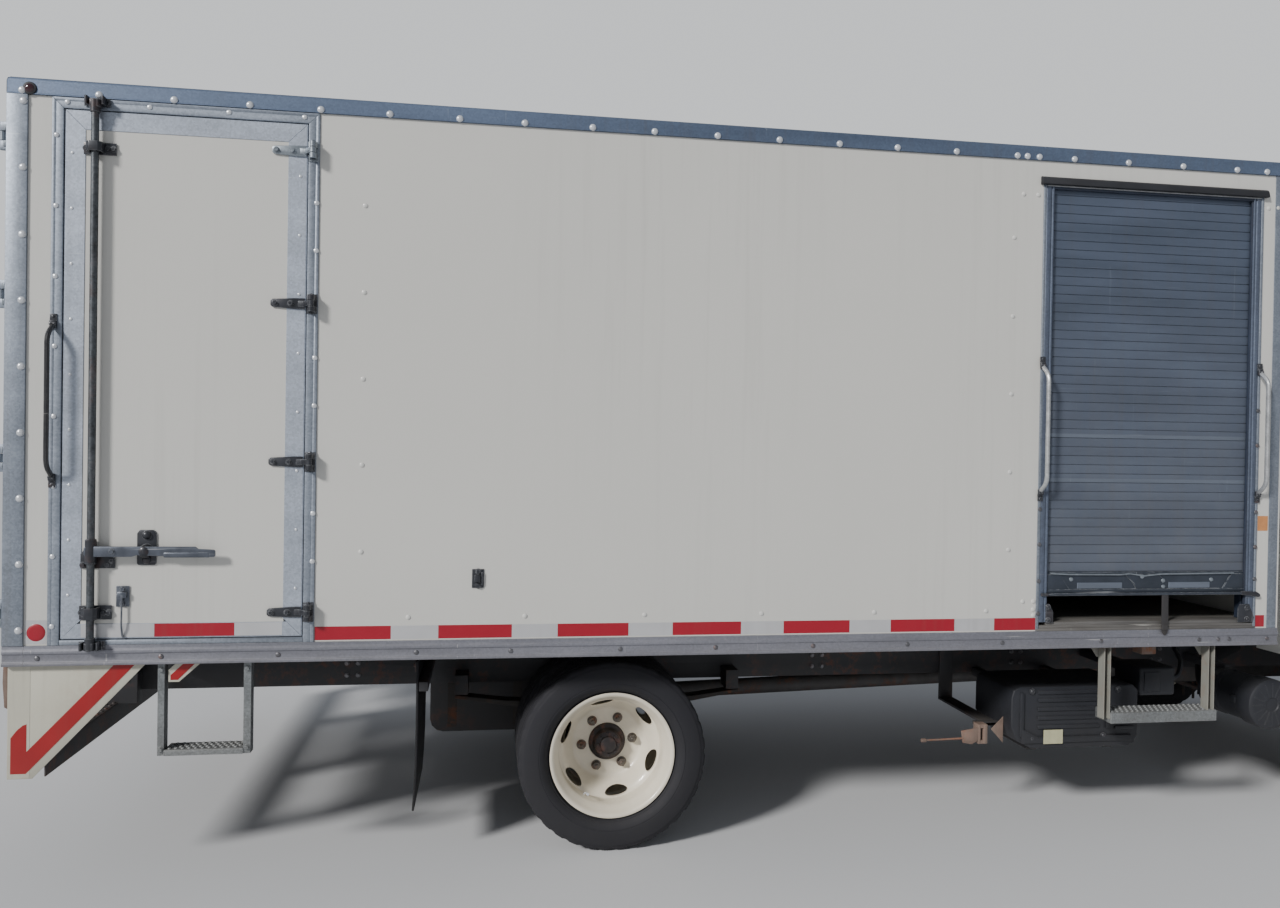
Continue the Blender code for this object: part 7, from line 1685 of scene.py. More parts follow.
def rear_leaves():
    """Each leaf is made as a side door is, in X and Z, and turned to face the rear."""
    turn = Matrix.Rotation(-pi / 2, 3, "Z")

    def turned_to_rear(bm):
        ops.rotate(bm, cent=(0, 0, 0), matrix=turn, verts=bm.verts)
        return bm

    for label, side in (("right", RIGHT), ("left", LEFT)):
        body = f"rear_door_{label}"
        y0, y1 = sorted((side * 0.003, side * 1.139))
        low, high = (-y1, 0.962), (-y0, 2.793)
        # Y in the turned frame is X on the truck.
        panel, border, seal, rivets = bmesh.new(), bmesh.new(), bmesh.new(), bmesh.new()
        box(panel, (low[0] + 0.06, -3.55, low[1] + 0.06), (high[0] - 0.06, -3.496, high[1] - 0.06), 0.0006, 1)
        section = [(0.0004, -3.496), (0.0004, -3.5516), (0.0652, -3.5516), (0.0652, -3.496)]
        for part in ("rear", "front", "head", "foot"):
            frame_member(border, section, low, high, part, (1, 1))
        edge = [(-0.0022, -3.544), (-0.0022, -3.549), (-0.001, -3.55), (0.0004, -3.55), (0.0004, -3.544)]
        for part in ("rear", "front", "head", "foot"):
            if (part == "front" and side == LEFT) or (part == "rear" and side == RIGHT):
                continue
            frame_member(seal, edge, low, high, part, (1, 1), 0.0)
        stamp(rivets, SCREW_HEAD, [(low[0] + 0.034, -3.5516, z) for z in spread(1.12, 2.66, 0.22)])
        stamp(rivets, SCREW_HEAD, [(high[0] - 0.034, -3.5516, z) for z in spread(1.12, 2.66, 0.22)])
        piece(f"rear_door_{label}_panel", turned_to_rear(panel), PANEL, body, (f"rear_door_{label}",))
        piece(f"rear_door_{label}_border", turned_to_rear(border), RAIL, body)
        piece(f"rear_door_{label}_seal", turned_to_rear(seal), SEAL, body, slot="body_panels")
        piece(f"rear_door_{label}_rivets", turned_to_rear(rivets), RIVET, body)
        lining = bmesh.new()
        box(lining, (-3.4962, y0 + 0.006, 0.97), (-3.4925, y1 - 0.006, 2.785), 0.001, 1)
        piece(f"rear_door_{label}_lining", lining, PANEL, body)
        straps = bmesh.new()
        for height in (1.031, 1.594, 2.185, 2.753):
            near, far = side * 0.99, side * 1.17
            outline = [(near, height - 0.008), (near + side * 0.008, height - 0.015), (far, height - 0.0166),
                    (far, height + 0.0166), (near + side * 0.008, height + 0.015), (near, height + 0.008)]
            slab(straps, outline, "X", -3.5575, -3.5517, 0.0012)
            knee = [(-3.5525, side * 1.15), (-3.5575, side * 1.156), (-3.571, side * 1.174), (-3.5885, side * 1.18),
                    (-3.5885, side * 1.188), (-3.58, side * 1.1925), (-3.57, side * 1.188), (-3.552, side * 1.164)]
            slab(straps, knee, "Z", height - 0.016, height + 0.016, 0.0008)
            rod(straps, (REAR_PIN_X, side * REAR_PIN_Y, height - 0.0163),
                    (REAR_PIN_X, side * REAR_PIN_Y, height + 0.0163), 0.0096, 20, 0.001)
            stamp(straps, BOLT_HEAD, [(-3.5575, side * 1.01, height), (-3.5575, side * 1.06, height),
                    (-3.5575, side * 1.115, height)], (-1, 0, 0))
        piece(f"rear_door_{label}_straps", straps, HINGE_STEEL, body)
        rods, castings, levers = bmesh.new(), bmesh.new(), bmesh.new()
        y = side * 0.19
        rod(rods, (-3.568, y, 0.968), (-3.568, y, 2.787), 0.0118, 24, 0.0014)
        for height in (1.039, 1.64, 2.2, 2.723):
            box(castings, (-3.556, y - 0.042, height - 0.02), (-3.5517, y + 0.042, height + 0.02), 0.0012)
            saddle = [(-3.555, y - 0.026), (-3.555, y - 0.019), (-3.572, y - 0.0165), (-3.581, y - 0.009),
                    (-3.581, y + 0.009), (-3.572, y + 0.0165), (-3.555, y + 0.019), (-3.555, y + 0.026),
                    (-3.5745, y + 0.0225), (-3.585, y + 0.012), (-3.585, y - 0.012), (-3.5745, y - 0.0225)]
            slab(castings, saddle, "Z", height - 0.015, height + 0.015, 0.001)
            stamp(castings, BOLT_HEAD, [(-3.556, y - 0.034, height), (-3.556, y + 0.034, height)], (-1, 0, 0))
        for low_z, high_z in ((0.968, 0.992), (2.763, 2.787)):
            slab(castings, rounded_box((-3.583, y - 0.018), (-3.556, y + 0.018), (0.006,) * 4, 4), "Z", low_z,
                    high_z, 0.0016)
        rod(castings, (-3.568, y, 1.205), (-3.568, y, 1.3), 0.016, 24, 0.002)
        box(castings, (-3.559, y + side * 0.2, 1.215), (-3.5517, y + side * 0.26, 1.3), 0.003, 2)
        turned(castings, [(0, 0.02), (0.01, 0.019), (0.019, 0.014), (0.0215, 0.006), (0.022, 0)],
                (-3.5585, y + side * 0.23, 1.235), (-1, 0, 0), 28)
        outline = [(y - side * 0.018, 1.236), (y + side * 0.06, 1.236), (y + side * 0.08, 1.244),
                (y + side * 0.36, 1.244), (y + side * 0.366, 1.25), (y + side * 0.366, 1.264),
                (y + side * 0.36, 1.27), (y + side * 0.09, 1.272), (y + side * 0.07, 1.278),
                (y - side * 0.018, 1.278)]
        slab(levers, outline, "X", -3.58, -3.573, 0.002, 2)
        piece(f"rear_lock_{label}_rod", rods, ROD, body)
        piece(f"rear_lock_{label}_castings", castings, LOCK_BLACK, body)
        piece(f"rear_lock_{label}_lever", levers, LOCK_STEEL, body)
    flap = bmesh.new()
    box(flap, (-3.556, -0.018, 0.97), (-3.5521, 0.001, 2.785), 0.0012, 1)
    piece("rear_centre_strip", flap, SEAL, "rear_door_right", slot="body_panels")


def rear_lamps():
    keepers, pins = bmesh.new(), bmesh.new()
    for side in (RIGHT, LEFT):
        for low_z, high_z in ((0.918, 0.95), (2.803, 2.836)):
            box(keepers, (-3.5745, side * 0.19 - 0.04, low_z), (-3.553, side * 0.19 + 0.04, high_z), 0.003, 2)
        for height in (1.031, 1.594, 2.185, 2.753):
            for shift in (-0.0268, 0.0268):
                low_z, high_z = sorted((height + shift * 0.66, height + shift * 1.5))
                rod(keepers, (REAR_PIN_X, side * REAR_PIN_Y, low_z), (REAR_PIN_X, side * REAR_PIN_Y, high_z),
                        0.0096, 20, 0.001)
                slab(keepers, [(-3.564, side * 1.176), (-3.583, side * 1.176), (-3.583, side * 1.188),
                        (-3.564, side * 1.2)], "Z", low_z + 0.0006, high_z - 0.0006, 0.0006)
            rod(pins, (REAR_PIN_X, side * REAR_PIN_Y, height - 0.0425),
                    (REAR_PIN_X, side * REAR_PIN_Y, height - 0.04), 0.0098, 20, 0.0006)
            rod(pins, (REAR_PIN_X, side * REAR_PIN_Y, height + 0.04),
                    (REAR_PIN_X, side * REAR_PIN_Y, height + 0.0425), 0.0098, 20, 0.0006)
    piece("rear_lock_keepers", keepers, HINGE_STEEL)
    piece("rear_hinge_pins", pins, RIVET, slot="castings")
    back, reds, clears, rims = bmesh.new(), bmesh.new(), bmesh.new(), bmesh.new()
    for side in (RIGHT, LEFT):
        y0, y1 = sorted((side * 0.6, side * 1.1))
        box(back, (-3.46, y0, 0.69), (-3.456, y1, 0.806), 0.0015)
        box(back, (-3.46, y0, 0.79), (-3.43, y1, 0.806), 0.0015)
        for index, y in enumerate((0.69, 0.85, 1.01)):
            bm = clears if index == 0 else reds
            turned(bm, [(0, 0.017), (0.02, 0.016), (0.04, 0.0125), (0.05, 0.006), (0.051, 0)],
                    (-3.46, side * y, 0.745), (-1, 0, 0), 40)
            ring(rims, [(0.0505, 0.0), (0.0505, 0.008), (0.054, 0.0095), (0.058, 0.007), (0.0585, 0.0)],
                    (-3.46, side * y, 0.745), (-1, 0, 0), 40)
    for y in (-0.16, 0.0, 0.16):
        turned(reds, [(0, 0.012), (0.01, 0.0112), (0.018, 0.007), (0.02, 0)], (-3.5535, y, 2.88), (-1, 0, 0), 28)
        ring(rims, [(0.0195, 0.0), (0.0195, 0.005), (0.023, 0.006), (0.026, 0.0)], (-3.5535, y, 2.88), (-1, 0, 0),
                28)
    piece("rear_lamp_brackets", back, CHASSIS)
    piece("rear_red_lamps", reds, RED_LAMP)
    piece("rear_clear_lamps", clears, CLEAR_LAMP)
    piece("rear_lamp_rims", rims, RUBBER)
    holder, plate = bmesh.new(), bmesh.new()
    box(holder, (-3.46, -0.17, 0.66), (-3.456, 0.17, 0.843), 0.0015)
    slab(plate, rounded_box((-0.152, 0.672), (0.152, 0.824), (0.01,) * 4, 4), "X", -3.4625, -3.4601, 0.0005, 1)
    piece("blank_plate_holder", holder, CHASSIS)
    piece("blank_rear_plate", plate, WHITE_TAPE, slot="black_plastic")


rear_leaves()
rear_lamps()


# Cab

CAB_FRONT, CAB_REAR = 3.5, 1.869
# Columns: height, front set back, rear set back, half width, front corner radius, rear corner radius.
CAB_ROWS = ((0.74, 0.01, 0.0, 0.985, 0.14, 0.05), (0.9, 0.003, 0.0, 1.003, 0.145, 0.05),
        (1.1, 0.0, 0.0, 1.015, 0.15, 0.05), (1.3, 0.006, 0.0, 1.02, 0.155, 0.05),
        (1.38, 0.02, 0.0, 1.02, 0.16, 0.05), (1.44, 0.047, 0.0, 1.013, 0.16, 0.05),
        (1.6, 0.125, 0.006, 0.992, 0.16, 0.052), (1.8, 0.225, 0.013, 0.966, 0.16, 0.056),
        (1.96, 0.308, 0.019, 0.945, 0.16, 0.06), (2.04, 0.356, 0.026, 0.929, 0.162, 0.065),
        (2.1, 0.4, 0.035, 0.908, 0.168, 0.072), (2.15, 0.45, 0.05, 0.883, 0.176, 0.08),
        (2.19, 0.503, 0.07, 0.853, 0.184, 0.09), (2.22, 0.556, 0.095, 0.82, 0.19, 0.105),
        (2.242, 0.61, 0.12, 0.785, 0.196, 0.115), (2.257, 0.68, 0.15, 0.74, 0.2, 0.12),
        (2.268, 0.78, 0.21, 0.67, 0.2, 0.12), (2.274, 0.93, 0.33, 0.54, 0.2, 0.12),)


def row_at(height):
    rows = CAB_ROWS
    if height <= rows[0][0]:
        return (height, *rows[0][1:])
    for below, above in zip(rows, rows[1:]):
        if height <= above[0]:
            share = (height - below[0]) / (above[0] - below[0])
            return tuple(a + (b - a) * share for a, b in zip(below, above))
    return rows[-1]


def cab_form(inset, low=0.74, high=2.274):
    """The cab's outer form, or the space inside a skin of the given thickness."""
    heights = sorted({low, high, *[row[0] for row in CAB_ROWS if low < row[0] < high],
            *[z for z in spread(0.74, 2.04, 0.06) if low < z < high]})
    rings = []
    for height in heights:
        row = row_at(height)
        low_corner = (CAB_REAR + row[2] + inset, inset - row[3])
        high_corner = (CAB_FRONT - row[1] - inset, row[3] - inset)
        rear, front = max(row[5] - inset, 0.004), max(row[4] - inset, 0.004)
        outline = rounded_box(low_corner, high_corner, (rear, front, front, rear), 9)
        drop = inset * max(min((height - 1.9) / 0.36, 1), 0)
        fine = []
        for index, (here, after) in enumerate(zip(outline, outline[1:] + outline[:1])):
            parts = 12 if index % 10 == 9 else 1
            for step in range(parts):
                share = step / parts
                fine.append((here[0] + (after[0] - here[0]) * share, here[1] + (after[1] - here[1]) * share,
                        height - drop))
        rings.append(fine)
    return loft(rings)


def prism(outline, along, low, high):
    bm = bmesh.new()
    slab(bm, outline, along, low, high)
    return bm


def skin(outer, inner, keep, cuts=()):
    """A layer of the cab's form between two depths, kept inside an outline."""
    bm = joined(cab_form(outer, 0.7 + 0.0401, 2.274), "DIFFERENCE", cab_form(inner, 0.72, 2.274))
    bm = joined(bm, "INTERSECT", keep)
    for cutter in cuts:
        bm = joined(bm, "DIFFERENCE", cutter)
    return bm


def clean(bm):
    ops.remove_doubles(bm, verts=bm.verts, dist=2e-5)
    ops.dissolve_degenerate(bm, dist=1e-5, edges=bm.edges)
    return bm


SCREEN = [(-0.87, 1.42), (0.87, 1.42), (0.78, 2.04), (-0.78, 2.04)]
REAR_PANE = [(-0.55, 1.45), (0.55, 1.45), (0.55, 1.85), (-0.55, 1.85)]
DOOR = [(2.42, 0.8), (3.22, 0.8), (3.22, 1.38), (2.94, 2.04), (2.42, 2.04)]
DOOR_PANE = [(2.495, 1.44), (3.145, 1.44), (2.88, 1.98), (2.495, 1.98)]
SCREEN_SOFT = soft_outline(SCREEN, (0.07, 0.07, 0.09, 0.09))
REAR_SOFT = soft_outline(REAR_PANE, (0.06, 0.06, 0.06, 0.06))
DOOR_SOFT = soft_outline(DOOR, (0.05, 0.02, 0.1, 0.1, 0.06))
PANE_SOFT = soft_outline(DOOR_PANE, (0.05, 0.04, 0.05, 0.05))
FRONT_SPAN, REAR_SPAN = (2.95, 3.56), (1.82, 2.02)


def side_span(side):
    return sorted((side * 0.42, side * 1.06))


def arch(growth):
    bm = bmesh.new()
    rod(bm, (FRONT_X, -1.06, AXLE_Z), (FRONT_X, 1.06, AXLE_Z), 0.495 + growth, 72)
    return bm


def cab_shell():
    bm = joined(cab_form(0), "DIFFERENCE", cab_form(0.04, 0.95, 2.274))
    for low, high in (((1.8, -0.8, 0.7), (3.455, 0.8, 0.9)), ((2.08, -0.39, 0.68), (3.0, 0.39, 0.98))):
        under = bmesh.new()
        box(under, low, high)
        bm = joined(bm, "DIFFERENCE", under)
    bm = joined(bm, "DIFFERENCE", arch(0))
    bm = joined(bm, "DIFFERENCE", prism(SCREEN_SOFT, "X", *FRONT_SPAN))
    bm = joined(bm, "DIFFERENCE", prism(REAR_SOFT, "X", *REAR_SPAN))
    for side in (RIGHT, LEFT):
        bm = joined(bm, "DIFFERENCE", prism(offset(DOOR_SOFT, 0.004), "Y", *side_span(side)))
    piece("cab_shell_panels", clean(bm), CAB, "cab", ("cab_shell",), 40)
    space = bmesh.new()
    box(space, (1.6, -1.2, 1.0), (3.3, 1.2, 2.6))
    cuts = [prism(offset(SCREEN_SOFT, 0.02), "X", *FRONT_SPAN), prism(offset(REAR_SOFT, 0.02), "X", *REAR_SPAN)]
    cuts += [prism(offset(DOOR_SOFT, 0.012), "Y", *side_span(side)) for side in (RIGHT, LEFT)]
    piece("cab_lining", skin(0.0405, 0.05, space, cuts), TRIM, "cab")
    cover = bmesh.new()
    hump = bmesh.new()
    box(hump, (2.05, -0.42, 0.904), (3.03, 0.42, 1.24), 0.02, 3)
    well = bmesh.new()
    box(well, (2.08, -0.39, 0.87), (3.0, 0.39, 1.21))
    merge(cover, joined(hump, "DIFFERENCE", well))
    piece("engine_cover", cover, TRIM_DARK, "cab")
    lugs = bmesh.new()
    for side in (RIGHT, LEFT):
        y0, y1 = sorted((side * 0.426, side * 0.4555))
        outline = [(3.3 + 0.04 * cos(radians(a)), 0.8 + 0.04 * sin(radians(a))) for a in range(180, 361, 15)]
        slab(lugs, outline + [(3.34, 0.902), (3.26, 0.902)], "Y", y0, y1, 0.0012)
    piece("cab_tilt_lugs", lugs, CHASSIS, "cab", slot="castings")
    floor = bmesh.new()
    for side in (RIGHT, LEFT):
        y0, y1 = sorted((side * 0.425, side * 0.955))
        box(floor, (2.04, y0, 0.95), (3.3, y1, 0.956), 0.003, 2)
    piece("cab_floor_mats", floor, BLACK, "cab", slot="interior_trim")


def glass_and_seals():
    for name, node, span, outline, body, side in (("windscreen_pane", "windscreen", FRONT_SPAN, SCREEN_SOFT, "cab",
            0), ("rear_window_pane", "rear_window", REAR_SPAN, REAR_SOFT, "cab", 0),
            ("door_pane_right", "door_glass_right", side_span(RIGHT), PANE_SOFT, "cab_door_right", RIGHT),
            ("door_pane_left", "door_glass_left", side_span(LEFT), PANE_SOFT, "cab_door_left", LEFT),):
        along = "Y" if side else "X"
        pane = skin(0.012, 0.017, prism(offset(outline, -0.001), along, *span))
        piece(name, clean(pane), GLASS, body, (node,), 40)
        width = 0.016 if side else 0.022
        seal = skin(-0.0025, 0.019, prism(offset(outline, 0.003 if side == 0 else 0.004), along, *span),
                (prism(offset(outline, -width), along, span[0] - 0.01, span[1] + 0.01),))
        piece(f"{name}_seal", clean(seal), SEAL, body, smooth=50, slot="black_plastic")


def cab_doors():
    for label, side in (("right", RIGHT), ("left", LEFT)):
        body = f"cab_door_{label}"
        leaf = skin(0, 0.042, prism(offset(DOOR_SOFT, -0.004), "Y", *side_span(side)),
                (arch(0.008), prism(offset(PANE_SOFT, 0.0005), "Y", *side_span(side))))
        piece(f"cab_door_{label}_panel", clean(leaf), CAB, body, (f"cab_door_{label}",), 40)
        inner = skin(0.0425, 0.056, prism(soft_outline(offset(DOOR, -0.045), (0.03,) * 5), "Y", *side_span(side)),
                (arch(0.05), prism(soft_outline(offset(DOOR_PANE, 0.012), (0.05,) * 4), "Y", *side_span(side))))
        piece(f"cab_door_{label}_lining", clean(inner), TRIM, body, smooth=40)
        pull, dish_bm = bmesh.new(), bmesh.new()
        box(dish_bm, (2.47, side * 1.012, 1.27), (2.65, side * 1.021, 1.345), 0.004, 2)
        path = bent([(2.49, side * 1.018, 1.308), (2.5, side * 1.04, 1.308), (2.62, side * 1.04, 1.308),
                (2.632, side * 1.018, 1.308)], 0.014, 5)
        tube(pull, path, 0.0085, 12)
        rod(pull, (2.642, side * 1.019, 1.292), (2.642, side * 1.025, 1.292), 0.009, 20, 0.001)
        piece(f"cab_door_{label}_pull", pull, BLACK, body)
        piece(f"cab_door_{label}_dish", dish_bm, SEAL, body, slot="black_plastic")
        knuckles, fixed = bmesh.new(), bmesh.new()
        for height in (1.0, 1.34):
            rod(knuckles, (3.22, side * 1.026, height + 0.0005), (3.22, side * 1.026, height + 0.03), 0.0078, 16,
                    0.0008)
            slab(knuckles, [(3.185, side * 1.012), (3.22, side * 1.018), (3.22, side * 1.03),
                    (3.185, side * 1.023)], "Z", height + 0.001, height + 0.0295, 0.0006)
            rod(fixed, (3.22, side * 1.026, height - 0.03), (3.22, side * 1.026, height - 0.0005), 0.0078, 16,
                    0.0008)
            slab(fixed, [(3.255, side * 1.008), (3.22, side * 1.018), (3.22, side * 1.03), (3.255, side * 1.023)],
                    "Z", height - 0.0295, height - 0.001, 0.0006)
        piece(f"cab_door_{label}_hinges", knuckles, CAB, body)
        piece(f"cab_hinges_{label}", fixed, CAB, "cab")
        bar = bmesh.new()
        box(bar, (2.52, side * 0.954, 1.18), (2.8, side * 0.905, 1.225), 0.012, 3)
        piece(f"cab_door_{label}_armrest", bar, TRIM_DARK, body)


def front_at(height):
    return CAB_FRONT - row_at(height)[1]


def cab_face():
    """Grille, lamps, wipers and roof markers."""
    frame_bm = bmesh.new()
    half, low, high = 0.56, 1.055, 1.2
    outer = rounded_box((-half, low), (half, high), (0.03,) * 4, 6)
    inner = rounded_box((-half + 0.02, low + 0.016), (half - 0.02, high - 0.016), (0.018,) * 4, 6)
    merge(frame_bm, joined(prism(outer, "X", 3.496, 3.512), "DIFFERENCE", prism(inner, "X", 3.501, 3.53)))
    for z in spread(low + 0.034, high - 0.034, 0.026):
        box(frame_bm, (3.499, -half + 0.018, z - 0.0055), (3.51, half - 0.018, z + 0.0055), 0.0024, 2)
    piece("grille", frame_bm, BLACK, "cab")
    vents = bmesh.new()
    for z in (1.262, 1.29, 1.318):
        x = front_at(z)
        box(vents, (x - 0.002, -0.48, z - 0.007), (x + 0.0035, 0.48, z + 0.007), 0.003, 2)
    piece("nose_vents", vents, SEAL, "cab", slot="black_plastic")
    bezels, bowls, covers, ambers = bmesh.new(), bmesh.new(), bmesh.new(), bmesh.new()
    for side in (RIGHT, LEFT):
        y0, y1 = sorted((side * 0.56, side * 0.845))
        outer = prism(rounded_box((y0, 0.8), (y1, 0.985), (0.03,) * 4, 6), "X", 3.488, 3.516)
        merge(bezels, joined(outer, "DIFFERENCE", prism(rounded_box((y0 + 0.012, 0.812), (y1 - 0.012, 0.973),
                (0.022,) * 4, 6), "X", 3.496, 3.54)))
        for shift in (0.075, 0.208):
            y = side * (0.56 + shift)
            turned(bowls, [(0.012, 0.0), (0.03, 0.003), (0.046, 0.009), (0.056, 0.017), (0.058, 0.018),
                    (0.058, 0.0)], (3.4955, y, 0.893), (1, 0, 0), 36)
            turned(bowls, [(0, 0.014), (0.006, 0.0135), (0.01, 0.008), (0.0105, 0.0)], (3.4955, y, 0.893),
                    (1, 0, 0), 20)
        slab(covers, rounded_box((y0 + 0.0125, 0.8125), (y1 - 0.0125, 0.9725), (0.021,) * 4, 6), "X", 3.514, 3.5175,
                0.001)
        corner = []
        row = row_at(0.893)
        centre = (CAB_FRONT - row[1] - row[4], row[3] - row[4])
        for radius in (row[4] + 0.012, row[4] - 0.006):
            points = [(centre[0] + radius * cos(radians(a)), side * (centre[1] + radius * sin(radians(a))))
                    for a in range(8, 89, 8)]
            corner += points if radius > row[4] else points[::-1]
        slab(ambers, corner, "Z", 0.83, 0.955, 0.003)
    piece("headlamp_bezels", bezels, BLACK, "cab")
    piece("headlamp_bowls", bowls, CHROME, "cab")
    piece("headlamp_covers", covers, CLEAR_LAMP, "cab")
    piece("corner_indicators", ambers, AMBER_LAMP, "cab")
    wipers = bmesh.new()
    for start, reach in ((-0.62, 0.52), (0.08, 0.52)):
        pivot = (front_at(1.405) + 0.012, start, 1.405)
        turned(wipers, [(0, 0.022), (0.01, 0.02), (0.013, 0.012), (0.016, 0.0)],
                (front_at(1.405) - 0.004, start, 1.405), (1, 0, 0.3), 20)
        tip = (front_at(1.47) + 0.024, start + reach * 0.8, 1.47)
        tube(wipers, bent([pivot, (front_at(1.45) + 0.03, start + reach * 0.4, 1.45), tip], 0.05, 5), 0.005, 10)
        blade = [(front_at(z) + 0.0105, start + reach * share, z) for share,
                z in ((0.3, 1.452), (0.55, 1.462), (0.8, 1.466), (1.12, 1.466))]
        tube(wipers, blade, 0.0055, 8)
    piece("wipers", wipers, BLACK, "cab")
    markers = bmesh.new()
    for y in (-0.6, -0.16, 0.0, 0.16, 0.6):
        x = front_at(2.226)
        turned(markers, [(0, 0.02), (0.01, 0.019), (0.019, 0.014), (0.023, 0.006), (0.024, -0.006)],
                (x - 0.012, y, 2.226), (0.42, 0, 0.9), 24)
    piece("roof_markers", markers, AMBER_LAMP, "cab")
    flares = bmesh.new()
    for side in (RIGHT, LEFT):
        rows = []
        for angle in range(24, 157, 4):
            turn = radians(angle)
            x, z = FRONT_X + 0.497 * cos(turn), AXLE_Z + 0.497 * sin(turn)
            if z < 0.745:
                continue
            out_x, out_z = FRONT_X + 0.533 * cos(turn), AXLE_Z + 0.533 * sin(turn)
            y = row_at(z)[3]
            far = row_at(out_z)[3]
            rows.append([(x, side * (y - 0.035), z), (x, side * (y + 0.012), z),
                    (x + (out_x - x) * 0.5, side * (y + 0.014), z + (out_z - z) * 0.5),
                    (out_x, side * (far + 0.001), out_z), (out_x, side * (far - 0.012), out_z)])
        merge(flares, loft(rows))
    piece("wheel_arch_trims", flares, BLACK, "cab")


def cushion(name, low, high, tilt=0.0, pivot=(0, 0, 0), crown=0.018, side_pull=0.012):
    """A stuffed block: crowned faces, sides drawn in between its corners and piping along its seam."""
    bm = bmesh.new()
    counts = [max(round((b - a) / 0.035), 3) for a, b in zip(low, high)]
    part = bmesh.new()
    ops.create_cube(part, size=1)
    for axis in range(3):
        for step in range(1, counts[axis]):
            place, normal = [0, 0, 0], [0, 0, 0]
            place[axis], normal[axis] = step / counts[axis] - 0.5, 1
            ops.bisect_plane(part, geom=part.verts[:] + part.edges[:] + part.faces[:], plane_co=place,
                    plane_no=normal)
    size = [b - a for a, b in zip(low, high)]
    middle = [(a + b) / 2 for a, b in zip(low, high)]
    thin = min(range(3), key=lambda axis: size[axis])
    for vert in part.verts:
        u = [value * 2 for value in vert.co]
        spot = [middle[axis] + u[axis] * size[axis] / 2 for axis in range(3)]
        flat = [axis for axis in range(3) if axis != thin]
        dome = (1 - u[flat[0]] ** 4) * (1 - u[flat[1]] ** 4)
        edge_in = [abs(u[axis]) for axis in range(3)]
        spot[thin] += u[thin] * crown * dome
        for axis, other in ((flat[0], flat[1]), (flat[1], flat[0])):
            spot[axis] -= copysign(side_pull, u[axis]) * abs(u[axis]) ** 3 * (1 - u[other] ** 2) * 0.6
            spot[axis] += copysign(side_pull, u[axis]) * abs(u[axis]) ** 3 * (1 - u[thin] ** 2) * 0.8
        rounding = sum(value ** 8 for value in edge_in) - 1
        if rounding > 0:
            for axis in range(3):
                spot[axis] -= copysign(min(rounding, 1.5) * 0.016 * edge_in[axis] ** 8, u[axis])
        vert.co = spot
    ops.recalc_face_normals(part, faces=part.faces)
    merge(bm, part)
    if tilt:
        ops.rotate(bm, cent=pivot, matrix=Matrix.Rotation(tilt, 3, "Y"), verts=bm.verts)
    obj = piece(name, bm, CLOTH, "cab", smooth=70)
    fine = obj.modifiers.new("soft", "SUBSURF")
    fine.levels = fine.render_levels = 1
    return obj


def seats():
    spans = (("driver", 0.305, 0.865), ("middle", -0.235, 0.225), ("passenger", -0.865, -0.265))
    for label, y0, y1 in spans:
        cushion(f"{label}_cushion", (2.13, y0, 1.268), (2.665, y1, 1.372))
        cushion(f"{label}_back", (2.02, y0, 1.385), (2.125, y1, 1.8), radians(-4), (2.07, 0, 1.385))
        cushion(f"{label}_headrest", (2.022, (y0 + y1) / 2 - 0.125, 1.795), (2.092, (y0 + y1) / 2 + 0.125, 1.925),
                radians(-3), (2.05, 0, 1.795), 0.01, 0.006)
    base = bmesh.new()
    for y0, y1 in ((0.295, 0.875), (-0.875, 0.235)):
        box(base, (2.125, y0, 1.2415), (2.56, y1, 1.285), 0.006, 2)
    for side in (RIGHT, LEFT):
        y0, y1 = sorted((side * 0.446, side * 0.868))
        box(base, (2.16, y0, 0.958), (2.54, y1, 1.245), 0.01, 2)
    piece("seat_bases", base, CLOTH_SIDE, "cab", ("seats",))
    posts = bmesh.new()
    for label, y0, y1 in spans:
        for shift in (-0.05, 0.05):
            y = (y0 + y1) / 2 + shift
            rod(posts, (2.052, y, 1.76), (2.05, y, 1.82), 0.005, 12)
    belts = bmesh.new()
    for y in (0.875, -0.875):
        box(belts, (2.3, y - 0.02, 1.25), (2.33, y - 0.012, 1.39), 0.002, 1)
        box(belts, (2.295, y - 0.026, 1.39), (2.335, y - 0.006, 1.43), 0.004, 2)
    piece("headrest_posts", posts, RIVET, "cab", slot="castings")
    piece("belt_buckles", belts, BLACK, "cab")


